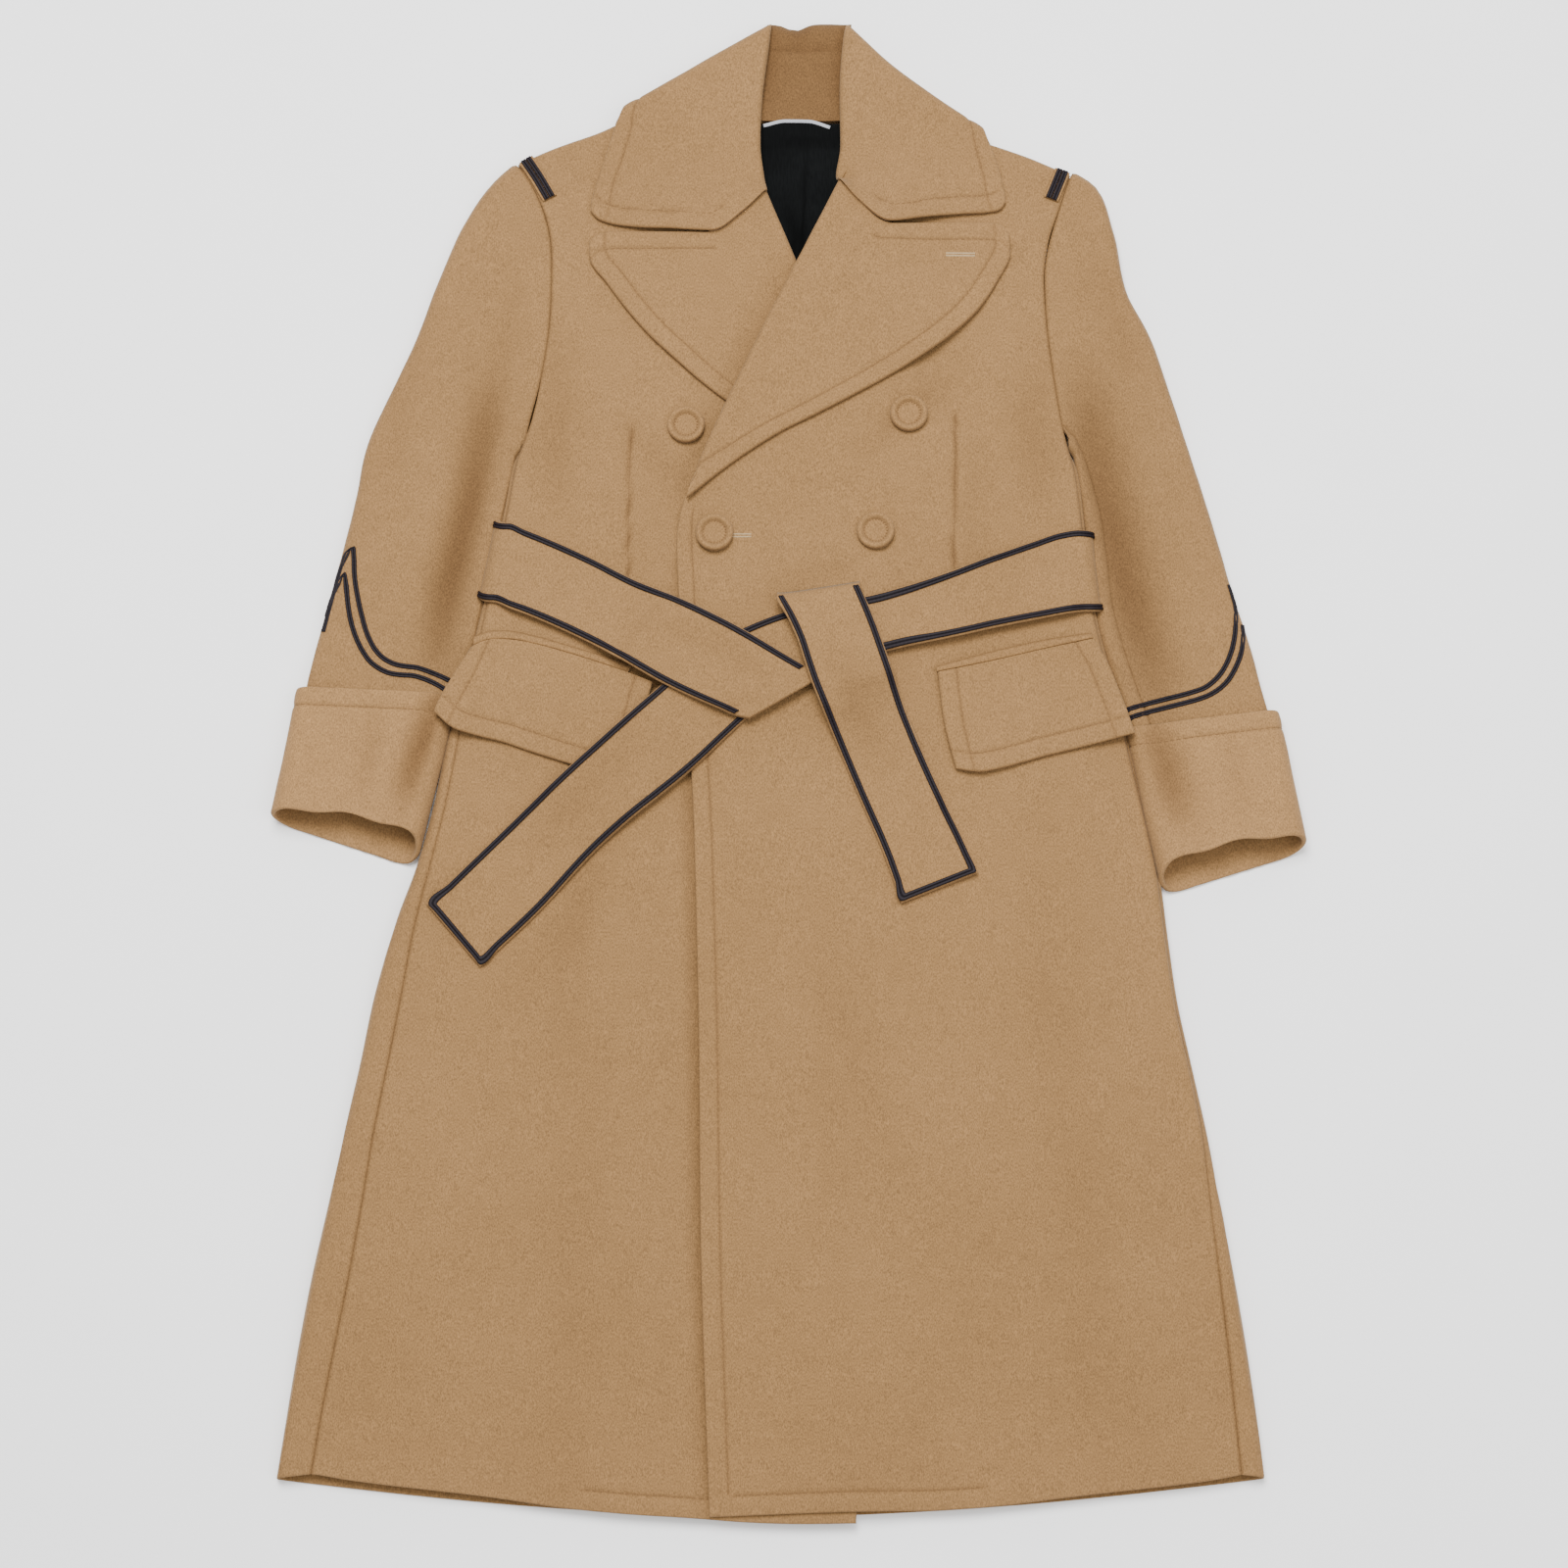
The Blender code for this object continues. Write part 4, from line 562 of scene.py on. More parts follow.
def back_grid():
    """Outer (lower) face of the back, wrapping up to both side seams."""
    columns = BACK_COLUMNS
    lines = {}
    for hand in (1, -1):
        start_y = by_x(HEM if hand > 0 else LEFT_HEM, SIDE_HEM_X[hand])
        outer_y = start_y + (SHOULDER_Y[hand] - start_y) * FRONT_ROWS
        edge, radius, _, quarter, _, seam = side(outer_y, hand)
        line = np.stack((edge + radius - quarter - seam, outer_y), axis=1)
        line[:, 0] *= hand
        lines[hand] = line
    start = lines[1]
    end = lines[-1]
    low_x = start[0, 0] + (end[0, 0] - start[0, 0]) * columns
    high_x = start[-1, 0] + (end[-1, 0] - start[-1, 0]) * columns
    hem_y = start[0, 1] + (end[0, 1] - start[0, 1]) * columns
    hem_y -= BACK_HEM_DROP * np.sin(columns * math.pi)
    low = np.stack((low_x, hem_y), axis=1)
    high = np.stack((high_x, by_x(BACK_TOP, high_x)), axis=1)
    high[0] = start[-1]
    high[-1] = end[-1]
    plan = patch(low, high, start, end, columns, FRONT_ROWS)
    half = len(columns) // 2
    left, left_normal = rolled(plan[:, :half], 1, -1)
    mirrored = plan[:, half:].copy()
    mirrored[..., 0] *= -1
    right, right_normal = rolled(mirrored, -1, -1)
    return np.concatenate((left, right), axis=1), np.concatenate((left_normal, right_normal), axis=1)


FIELD_COLUMNS = int((FIELD_X[1] - FIELD_X[0]) / CELL) + 1
FIELD_ROWS = int((FIELD_Y[1] - FIELD_Y[0]) / CELL) + 1
pile = np.zeros((FIELD_ROWS, FIELD_COLUMNS))


def finer(grid, limit):
    """Grid with its rows and columns split evenly until they are closer than limit."""
    for axis in (0, 1):
        spans = np.linalg.norm(np.diff(grid, axis=axis), axis=-1)
        parts = max(1, int(math.ceil(spans.max() / limit)))
        grid = np.moveaxis(grid, axis, 0)
        share = (np.arange(parts) / parts).reshape((1, parts) + (1,) * (grid.ndim - 1))
        split = grid[:-1, None] * (1 - share) + grid[1:, None] * share
        split = split.reshape((-1,) + grid.shape[1:])
        grid = np.moveaxis(np.concatenate((split, grid[-1:])), 0, axis)
    return grid


def cell_of(x, y):
    """Row and column of the pile's cells that hold the given places."""
    column = np.clip(np.rint((x - FIELD_X[0]) / CELL).astype(int), 0, FIELD_COLUMNS - 1)
    row = np.clip(np.rint((y - FIELD_Y[0]) / CELL).astype(int), 0, FIELD_ROWS - 1)
    return row, column


def press(grid):
    """Add the top of a piece to the height of the pile."""
    dense = finer(grid, CELL * PRESS_SHARE)
    row, column = cell_of(dense[..., 0].ravel(), dense[..., 1].ravel())
    np.maximum.at(pile, (row, column), dense[..., 2].ravel())


def spread(reach):
    """Height of the pile, widened by reach on every side."""
    count = int(math.ceil(reach / CELL))
    wide = pile.copy()
    for axis in (0, 1):
        source = wide.copy()
        for shift in range(1, count + 1):
            moved = np.roll(source, shift, axis)
            np.maximum(wide, moved, out=wide)
            moved = np.roll(source, -shift, axis)
            np.maximum(wide, moved, out=wide)
    return wide


def lay(plan, thickness, reach, soften=2, gap=LAY_GAP):
    """Top heights of a piece of given thickness laid on the pile at the plan's points."""
    field = spread(reach)
    row, column = cell_of(plan[..., 0], plan[..., 1])
    z = field[row, column] + gap + thickness
    for _ in range(soften):
        mean = z.copy()
        mean[1:-1] = (z[:-2] + 2 * z[1:-1] + z[2:]) / 4
        z = np.maximum(z, mean)
        mean = z.copy()
        mean[:, 1:-1] = (z[:, :-2] + 2 * z[:, 1:-1] + z[:, 2:]) / 4
        z = np.maximum(z, mean)
    return z


def with_z(plan, z):
    """Plan points at the given heights."""
    return np.concatenate((plan[..., :2], np.broadcast_to(z, plan.shape[:-1])[..., None]), axis=-1)


def down(grid, thickness):
    """Grid moved down by a thickness."""
    lower = grid.copy()
    lower[..., 2] -= thickness
    return lower


def surface(grid, across, along):
    """Points of a grid at fractional column and row places."""
    rows, columns = grid.shape[:2]
    i = np.clip(np.floor(along).astype(int), 0, rows - 2)
    j = np.clip(np.floor(across).astype(int), 0, columns - 2)
    v = (along - i)[..., None]
    u = (across - j)[..., None]
    return (
        grid[i, j] * (1 - u) * (1 - v) + grid[i, j + 1] * u * (1 - v)
        + grid[i + 1, j] * (1 - u) * v + grid[i + 1, j + 1] * u * v
    )


# Cloth shells. u0 and u1 are the sides where the columns start and end, v0 and v1 those of the rows.
# step is the spacing of the mesh; free sides have a rounded edge, seam sides sink into a seam, and
# stitch sides are topstitched in a part of the layout (x from, x to, y from, y to). fold turns the
# roll line down, wave is unevenness, tone strengthens the painted shade of creases, and a piece's own
# painted shade darkens the whole piece evenly. seamed names the x of a free side that is sewn on there.
FAR = 999
ALL = (-FAR, FAR, -FAR, FAR)
TOP_SLEEVE = dict(step=4.0, free=("v1",), seam=("v0", "u0", "u1"), wave=0.4)
UNDER_SLEEVE = dict(step=6.0, free=("v1",), seam=("v0", "u0", "u1"))
# Cuffs take a lighter copy of the wool, painted light.
CUFF = dict(material="cuff_wool_painted_light", step=3.2, free=("v0", "v1"), stitch=(("v0", ALL),), wave=0.4)
FLAP = dict(step=2.6, free=("v1", "u0", "u1"), stitch=(("v1", ALL), ("u0", ALL), ("u1", ALL)), wave=0.35)
WELT = dict(step=2.5, free=("v0",), seam=("v1",))
BELT_RUN = dict(step=3.2, free=("u0", "u1", "v1"), wave=0.4)
PLAIN = dict(step=4.0, free=("u0", "u1", "v0", "v1"))
SPECS = {
    "back_panel": dict(step=9.0, free=("v0", "v1"), seam=("u0", "u1")),
    "right_front": dict(step=5.0, free=("v0", "u1"), seam=("u0",), wave=0.5,
                        stitch=(("v0", (-158, -40, -FAR, FAR)),)),
    "left_front": dict(step=5.0, free=("v0", "u1"), seam=("u0",), wave=0.5,
                       stitch=(("u1", (-FAR, FAR, -566, 226)), ("v0", (-40, 155, -FAR, FAR)))),
    "right_lapel": dict(step=3.2, free=("u1", "v0"), fold=9.0,
                        stitch=(("u1", ALL), ("v0", (-FAR, -56, -FAR, FAR))), wave=0.35,
                        seamed={"v0": (-62, 0)}),
    "left_lapel": dict(step=3.2, free=("u1", "v0"), fold=9.0,
                       stitch=(("u1", ALL), ("v0", (74, FAR, -FAR, FAR))), wave=0.35,
                       seamed={"v0": (30, 87)}),
    "collar": dict(step=3.2, free=("u1", "v0", "v1"), fold=11.0, wave=0.3,
                   stitch=(("u1", ALL), ("v0", (-FAR, -50, -FAR, FAR)), ("v1", (72, FAR, -FAR, FAR))),
                   seamed={"v0": (-62, 0), "v1": (30, 87)}),
    # The stand is painted in shade all over, and the lining's creases get a much stronger painted shade.
    "collar_stand": dict(step=3.0, free=(), painted_shade=0.85),
    "back_lining": dict(step=2.6, free=(), material="lining", wave=0.4, tone=14.0),
    "right_top_sleeve": TOP_SLEEVE,
    "left_top_sleeve": TOP_SLEEVE,
    "right_under_sleeve": UNDER_SLEEVE,
    "left_under_sleeve": UNDER_SLEEVE,
    # The cuffs' creases get a stronger painted shade.
    "right_cuff": dict(CUFF, tone=1.7),
    "left_cuff": dict(CUFF, tone=1.3),
    "right_flap": FLAP,
    "left_flap": FLAP,
    "right_welt": WELT,
    "left_welt": WELT,
    "belt_left_run": BELT_RUN,
    "belt_right_run": BELT_RUN,
    "belt_over_end": dict(step=3.0, free=("u0", "u1", "v0", "v1"), wave=0.4),
    "belt_back": dict(step=8.0, free=("u0", "u1")),
}
# Topstitching: distance inside the edge, pitch, half length, half width and half height of a thread,
# how far two lines overlap at a corner, the room a line needs as a share of its distance, the step
# that gives a thread's heading, and the pad of cloth raised between the stitching and the edge.
STITCH_IN = 15.5
STITCH_PITCH = 5.2
STITCH_SIZE = (1.9, 0.42, 0.3)
STITCH_CORNER = 0.8
STITCH_ROOM = 1.6
LOOK_AHEAD = 0.5
PAD_IN = 7.0
PAD_HEIGHT = 0.5
PAD_WIDTH = 5.0
# Grooves of stitching, darts and seams: depth and width, then painted shade and width of the painted shade.
GROOVE_DEPTH, GROOVE_WIDTH, GROOVE_SHADE, GROOVE_SHADE_WIDTH = 0.75, 2.0, 0.42, 1.2
DART_DEPTH, DART_WIDTH, DART_SHADE, DART_SHADE_WIDTH = 1.1, 3.0, 0.8, 1.6
SEAM_DEPTH, SEAM_WIDTH, SEAM_SHADE, SEAM_SHADE_WIDTH = 1.5, 1.9, 0.75, 1.0
# Rounded edges: radius as a share of the wall, least radius, share of a full rounding, the distance that
# counts as near an edge, and the distance where there is none.
EDGE_ROUND_SHARE = 0.5
EDGE_ROUND_LEAST = 1.2
EDGE_ROUND = 0.92
EDGE_NEAR = 50
NO_EDGE = 1e9
# How much of the outer face's relief the inner face follows.
INNER_FOLLOWS = 0.8
# Unevenness of the cloth: size of the broad and the small waves, and strength of the small ones.
BROAD_WAVE = 95.0
SMALL_WAVE = 38.0
SMALL_WAVE_SHARE = 0.5
# Creases: depth of a trough that gets the full painted shade, and where and how they fade towards their ends.
CREASE_FULL_SHADE = 9.0
CREASE_SPAN = 0.9
CREASE_START = 0.05
CREASE_FADE = 0.6
# Height where the creases of an under sleeve begin, and the rise over which they become full.
UNDER_CREASE_FROM = 8
UNDER_CREASE_OVER = 14

# Creases and folds: piece, depth (minus is a trough), half width, then x, y along it. Troughs are also
# painted in shade, darker the deeper they are.
RIGHT_SLEEVE_TROUGH = (-9.0, 16, ((-246, 320), (-259, 235), (-276, 160), (-285, 90)))
LEFT_SLEEVE_TROUGH = (-8.5, 23, ((250, 340), (262, 250), (280, 170), (299, 100), (305, 56)))
CREASES = (
    ("collar_stand", -3.2, 2.4, ((-24, 634), (16, 632.5), (60, 634))),
    ("back_lining", -0.5, 1.8, ((19, 545), (17, 500), (15, 440))),
    ("back_lining", -0.4, 4.0, ((-24, 548), (18, 551), (56, 547))),
    ("back_lining", -0.5, 8.0, ((0, 500), (10, 470), (12, 445))),
    ("collar_stand", -2.0, 8.0, ((12, 640), (13, 650), (14, 657))),
    ("collar_stand", -3.0, 9.0, ((-12, 652), (-16, 620), (-22, 585))),
    ("collar_stand", -3.0, 8.0, ((52, 652), (51, 620), (50, 585))),
    ("right_top_sleeve",) + RIGHT_SLEEVE_TROUGH,
    ("right_top_sleeve", 1.8, 22, ((-296, 300), (-318, 220), (-335, 140))),
    ("right_top_sleeve", -1.8, 14, ((-225, 420), (-238, 350), (-250, 290))),
    ("right_top_sleeve", -1.4, 13, ((-300, 400), (-318, 330), (-330, 250))),
    ("left_top_sleeve",) + LEFT_SLEEVE_TROUGH,
    ("left_top_sleeve", 1.8, 20, ((275, 320), (310, 230), (338, 140))),
    ("left_top_sleeve", -1.4, 14, ((262, 440), (278, 380), (300, 320))),
    ("right_under_sleeve",) + RIGHT_SLEEVE_TROUGH,
    ("left_under_sleeve",) + LEFT_SLEEVE_TROUGH,
    ("right_cuff", -5.2, 13, ((-276, 78), (-287, 48), (-300, 10), (-308, -24))),
    ("right_cuff", -1.5, 10, ((-330, 60), (-336, 20), (-340, -20))),
    ("left_cuff", -5.5, 17, ((298, 52), (310, 10), (322, -40))),
    ("left_cuff", -1.2, 11, ((360, 40), (366, 0), (372, -40))),
    ("right_front", -1.6, 18, ((-120, 60), (-160, -60), (-180, -220))),
    ("right_front", 1.2, 28, ((-230, -120), (-262, -330), (-280, -560))),
    ("right_front", -1.0, 26, ((-150, -180), (-165, -380), (-172, -580))),
    ("right_front", -1.1, 14, ((-232, -195), (-188, -140), (-152, -100))),
    ("right_front", -3.4, 6.0, ((-60, -583), (-67, -396), (-71, -164), (-78, 20), (-87, 127), (-89, 176))),
    ("right_front", -2.2, 18, ((-196, 380), (-188, 310), (-192, 230))),
    ("right_front", -1.6, 15, ((-140, 300), (-104, 268), (-86, 244))),
    ("left_front", 1.1, 28, ((120, -60), (135, -300), (140, -580))),
    ("left_front", -1.1, 28, ((200, -40), (232, -300), (250, -570))),
    ("left_front", -0.9, 20, ((30, -60), (40, -250), (42, -420))),
    ("left_front", -1.0, 16, ((12, -150), (60, -215), (84, -310))),
    ("left_front", 1.0, 18, ((112, -110), (178, -190), (204, -290))),
    ("left_front", -2.4, 18, ((214, 360), (206, 300), (212, 226))),
    ("left_front", -1.6, 13, ((60, 275), (110, 312), (150, 350))),
    ("left_front", -1.5, 14, ((-20, 150), (20, 168), (64, 176))),
    ("left_lapel", 1.8, 9, ((10, 437), (-8, 396), (-28, 352), (-49, 305), (-69, 260), (-77, 240))),
    ("right_lapel", -1.6, 11, ((2, 440), (-16, 398), (-36, 354), (-57, 307))),
    ("right_front", -1.6, 12, ((-55, 312), (-78, 262), (-87, 240))),
    ("left_flap", 1.6, 22, ((150, 60), (205, 66), (255, 82))),
    ("right_flap", 1.6, 20, ((-240, 80), (-190, 66), (-140, 40))),
    ("belt_over_end", -1.6, 14, ((40, 110), (62, 60), (80, 10))),
    ("belt_right_run", -1.6, 14, ((-110, 40), (-160, -10), (-210, -66))),
    ("belt_left_run", -1.8, 12, ((-20, 90), (-60, 110), (-110, 130))),
)
DARTS = (
    ("right_front", ((-126, 301), (-128, 243), (-128, 168))),
    ("left_front", ((142, 308), (140, 243), (139, 176))),
)
DART_PITCH = 2.6
DART_THREAD = (1.5, 0.3, 0.22)
# Buttonholes: piece, the two lines of threads that lie across them, and half sizes of a thread.
BUTTONHOLES = {
    "lapel_buttonhole": (
        "left_lapel", (((135, 445.1), (159, 445.4)), ((135, 442.9), (159, 443.2))), (0.8, 0.42, 0.4),
    ),
    "front_buttonhole": (
        "left_front", (((-44, 203.6), (-27, 203.6)), ((-44, 201.4), (-27, 201.4))), (0.75, 0.42, 0.4),
    ),
}
BUTTONHOLE_PITCH = 0.9


# Direction and relative size of the waves that make up the noise, and the shifts that set them apart.
CROSSING_WAVES = ((0.3, 1.0), (1.4, 1.37), (2.5, 0.81), (0.9, 2.1))
SHIFT_BY_SEED = 3.1
SHIFT_BY_WAVE = 1.7


def noise(x, y, size, seed):
    """Gentle unevenness made of a few crossing waves of about the given size."""
    total = 0.0
    for k, (turn, scale) in enumerate(CROSSING_WAVES):
        along = x * math.cos(turn + seed) + y * math.sin(turn + seed)
        turns = along * 2 * math.pi / (size * scale)
        total = total + np.sin(turns + seed * SHIFT_BY_SEED + k * SHIFT_BY_WAVE)
    return total / len(CROSSING_WAVES)


def line_distance(points, line):
    """Distance of points to a line and the share of the line's length where it is nearest."""
    line = np.asarray(line, float)
    best = np.full(points.shape[:-1], 1e9)
    place = np.zeros_like(best)
    lengths = np.linalg.norm(np.diff(line, axis=0), axis=1)
    done = 0.0
    for a, b, length in zip(line[:-1], line[1:], lengths):
        along = np.clip(((points - a) @ (b - a)) / length**2, 0, 1)
        gap = np.linalg.norm(points - a - along[..., None] * (b - a), axis=-1)
        nearer = gap < best
        best = np.where(nearer, gap, best)
        place = np.where(nearer, (done + along * length) / lengths.sum(), place)
        done += length
    return best, place


# Mesh lines beside an edge, as shares of the band there: with and without stitching.
EDGE_BAND = 26.0
EDGE_BAND_SHARE = 0.42
NEAR = (
    0, 0.012, 0.03, 0.055, 0.085, 0.13, 0.19, 0.27, 0.36, 0.45, 0.52, 0.565, 0.596, 0.63, 0.68, 0.75,
    0.87, 1.0,
)
NEAR_PLAIN = (0, 0.015, 0.04, 0.08, 0.15, 0.26, 0.45, 0.7, 1.0)


def lengths_along(grid, axis):
    """Distance of each point of a grid from its first row or column, measured along it."""
    spans = np.linalg.norm(np.diff(grid, axis=axis), axis=-1)
    start = np.zeros_like(np.take(spans, [0], axis=axis))
    return np.concatenate((start, np.cumsum(spans, axis=axis)), axis=axis)


def eased(places, grid, at):
    """Values of each row of a grid at new places along it, smooth and without overshoot."""
    span = np.maximum(np.diff(places, axis=1), 1e-6)[..., None]
    slope = np.diff(grid, axis=1) / span
    tangent = np.empty_like(grid)
    tangent[:, 0] = slope[:, 0]
    tangent[:, -1] = slope[:, -1]
    before = slope[:, :-1]
    after = slope[:, 1:]
    even = (before * span[:, 1:] + after * span[:, :-1]) / (span[:, 1:] + span[:, :-1])
    limit = 3 * np.minimum(np.abs(before), np.abs(after))
    tangent[:, 1:-1] = np.where(before * after <= 0, 0.0, np.sign(even) * np.minimum(np.abs(even), limit))
    out = np.empty((grid.shape[0], at.shape[1], grid.shape[2]))
    for k in range(len(grid)):
        i = np.clip(np.searchsorted(places[k], at[k], side="right") - 1, 0, grid.shape[1] - 2)
        t = ((at[k] - places[k, i]) / span[k, i, 0])[:, None]
        first, leave, second, arrive = cubic_weights(t)
        d = span[k, i]
        out[k] = (
            first * grid[k, i] + leave * d * tangent[k, i]
            + second * grid[k, i + 1] + arrive * d * tangent[k, i + 1]
        )
    return out


def spaced(total, even_count, near):
    """Distances along a length: close together near both ends, even between."""
    band = min(EDGE_BAND, total * EDGE_BAND_SHARE)
    near = np.asarray(near) * band
    return np.concatenate((near, np.linspace(band, total - band, even_count)[1:-1], (total - near)[::-1]))


def even_lines(total, step):
    """How many evenly spaced mesh lines a length takes between the bands at its ends."""
    return max(3, int((total - 2 * EDGE_BAND) / step) + 1)


def down_rows(grid, step, near):
    """Finer rows of a grid, spaced by the mean distance between its rows."""
    along = lengths_along(grid[..., :3], 0).mean(axis=1)
    total = along[-1]
    return rows_at(grid, along, spaced(total, even_lines(total, step), near))


def rows_at(grid, along, at):
    """Rows of a grid at new distances along it."""
    flat = np.swapaxes(grid, 0, 1)
    fine = eased(np.tile(along, (len(flat), 1)), flat, np.tile(at, (len(flat), 1)))
    return np.swapaxes(fine, 0, 1)


def refine(outer, inner, step, stitched, closed):
    """Fine versions of a wall's two grids, closer together along the edges."""
    near = NEAR if stitched else NEAR_PLAIN
    both = np.concatenate((outer, inner), axis=-1)
    if closed:
        # A ring is lengthened by its own columns, so that it runs smoothly past its start.
        both = np.concatenate((both[:, -3:], both, both[:, :4]), axis=1)
    grid = down_rows(both, step, near)
    along = lengths_along(grid[..., :3], 1)
    if closed:
        count = int((along[:, -4] - along[:, 3]).max() / step)
        shares = np.arange(count)[None] / count
        at = along[:, 3:4] + shares * (along[:, -4:-3] - along[:, 3:4])
    else:
        even_count = even_lines(along[:, -1].max(), step)
        at = np.stack([spaced(row[-1], even_count, near) for row in along])
    fine = eased(along, grid, at)
    return fine[..., :3], fine[..., 3:]


def directions(outer, inner, closed):
    """Outward direction at each point of a wall's outer grid."""
    along = np.gradient(outer, axis=0)
    if closed:
        across = (np.roll(outer, -1, axis=1) - np.roll(outer, 1, axis=1)) / 2
    else:
        across = np.gradient(outer, axis=1)
    normal = np.cross(across, along)
    normal /= np.maximum(np.linalg.norm(normal, axis=-1, keepdims=True), 1e-9)
    flip = np.sum(normal * (outer - inner), axis=-1).mean() < 0
    return -normal if flip else normal


# Turned roll line: share of the wall kept, shift inward as a share of the radius, and turns in degrees.
FOLD_WALL = 0.45
FOLD_SHIFT = 0.55
FOLD_TURNS = (175, 140, 105, 70, 35)


def folded_edge(outer, inner, depth):
    """Extra columns that turn a lapel or collar down over its roll line."""
    edge = outer[:, 0]
    away = edge - outer[:, 1]
    away[:, 2] = 0.0
    away /= np.linalg.norm(away, axis=1, keepdims=True)
    radius = depth / 2
    wall = np.linalg.norm(outer[:, 0] - inner[:, 0], axis=1).mean() * FOLD_WALL
    new_outer = []
    new_inner = []
    up = np.array((0.0, 0.0, 1.0))
    shift = away * (radius * FOLD_SHIFT)
    for turn in np.radians(FOLD_TURNS):
        centre = edge - up * radius - shift
        push = away * math.sin(turn) + up * math.cos(turn)
        new_outer.append(centre + push * radius)
        new_inner.append(centre + push * (radius - wall))
    outer = outer.copy()
    inner = inner.copy()
    outer[:, 0] -= shift
    inner[:, 0] = outer[:, 0] - up * wall
    return (
        np.concatenate((np.stack(new_outer, axis=1), outer), axis=1),
        np.concatenate((np.stack(new_inner, axis=1), inner), axis=1),
    )


made = {}
kept = {}
stitch_places = {}


def join_grid(name, outer, inner, closed):
    """Closed mesh of two fine grids."""
    rows, columns = outer.shape[:2]
    points = (np.concatenate((outer.reshape(-1, 3), inner.reshape(-1, 3))) - ORIGIN) * MM
    index = np.arange(rows * columns).reshape(rows, columns)
    if closed:
        index = np.concatenate((index, index[:, :1]), axis=1)
    under = index + rows * columns
    top_faces = np.stack((index[:-1, :-1], index[:-1, 1:], index[1:, 1:], index[1:, :-1]), axis=-1)
    low_faces = np.stack((under[:-1, :-1], under[1:, :-1], under[1:, 1:], under[:-1, 1:]), axis=-1)
    sides = [
        np.stack((index[0, :-1], under[0, :-1], under[0, 1:], index[0, 1:]), axis=-1),
        np.stack((index[-1, :-1], index[-1, 1:], under[-1, 1:], under[-1, :-1]), axis=-1),
    ]
    if not closed:
        sides.append(np.stack((index[:-1, 0], index[1:, 0], under[1:, 0], under[:-1, 0]), axis=-1))
        sides.append(np.stack((index[:-1, -1], under[:-1, -1], under[1:, -1], index[1:, -1]), axis=-1))
    faces = np.concatenate([top_faces.reshape(-1, 4), low_faces.reshape(-1, 4)] + sides)
    row, column = rows // 2, columns // 2
    here = outer[row, column]
    beside = outer[row, column + 1] - here
    ahead = outer[row + 1, column] - here
    if np.dot(np.cross(beside, ahead), directions(outer, inner, closed)[row, column]) < 0:
        faces = faces[:, ::-1]
    return smooth_mesh(name, points.tolist(), faces.tolist())


def smooth_mesh(name, points, faces):
    """Mesh with smooth shading."""
    mesh = bpy.data.meshes.new(name)
    mesh.from_pydata(points, [], faces)
    shade_smooth(mesh)
    mesh.update()
    return mesh


def shade_smooth(mesh):
    """Give every face of a mesh smooth shading."""
    mesh.polygons.foreach_set("use_smooth", np.ones(len(mesh.polygons), dtype=bool))


def set_painted_shade(mesh, values):
    """Store the painted shade of each point of both faces, which darkens the colour of the cloth."""
    tone = mesh.attributes.new("painted_shade", "FLOAT", "POINT")
    tone.data.foreach_set("value", np.clip(np.tile(values.reshape(-1), 2), 0, 1).astype(np.float32))


def add_piece(name, mesh, look, node=None):
    """Put a mesh in the scene as a piece that rides on the part."""
    mesh.materials.append(LOOKS[look])
    piece = bpy.data.objects.new(name, mesh)
    bpy.context.scene.collection.objects.link(piece)
    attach(piece, "root")
    if node:
        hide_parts(node)
    return piece


def within(limits, points):
    """Which points lie inside a part of the layout."""
    left, right, lower, higher = limits
    x, y = points[..., 0], points[..., 1]
    return (x > left) & (x < right) & (y > lower) & (y < higher)


def creased(name, spec, outer, normal):
    """Rise of a piece's cloth by waves, creases and darts, and the painted shade of the piece, its troughs
    and its darts.
    """
    x, y = outer[..., 0], outer[..., 1]
    rise = np.zeros(outer.shape[:2])
    if spec.get("wave"):
        # A number from the name, so that no two pieces have the same waves.
        seed = (sum(map(ord, name)) % 97) / 7.0
        small = SMALL_WAVE_SHARE * noise(x, y, SMALL_WAVE, seed + 2)
        rise += spec["wave"] * (noise(x, y, BROAD_WAVE, seed) + small)
    # The piece's own painted shade, even over all of it.
    painted_shade = np.full(outer.shape[:2], spec.get("painted_shade", 0.0))
    upper = np.clip(normal[..., 2] * 2, 0, 1)
    if name.endswith("under_sleeve"):
        upper = upper * np.clip((outer[..., 2] - UNDER_CREASE_FROM) / UNDER_CREASE_OVER, 0, 1)
    for piece, depth, width, line in CREASES:
        if piece == name:
            gap, place = line_distance(outer[..., :2], line)
            fade = np.sin(np.clip(place * CREASE_SPAN + CREASE_START, 0, 1) * math.pi) ** CREASE_FADE
            form = bell(gap, width) * fade
            rise += depth * form * upper
            # Painted shade in the trough, darker the deeper it is.
            painted_shade += max(0.0, -depth / CREASE_FULL_SHADE) * form * upper * spec.get("tone", 1.0)
    for piece, line in DARTS:
        if piece == name:
            gap, _ = line_distance(outer[..., :2], line)
            rise -= DART_DEPTH * bell(gap, DART_WIDTH)
            # Painted shade along the dart.
            painted_shade = np.maximum(painted_shade, DART_SHADE * bell(gap, DART_SHADE_WIDTH))
    return rise, painted_shade


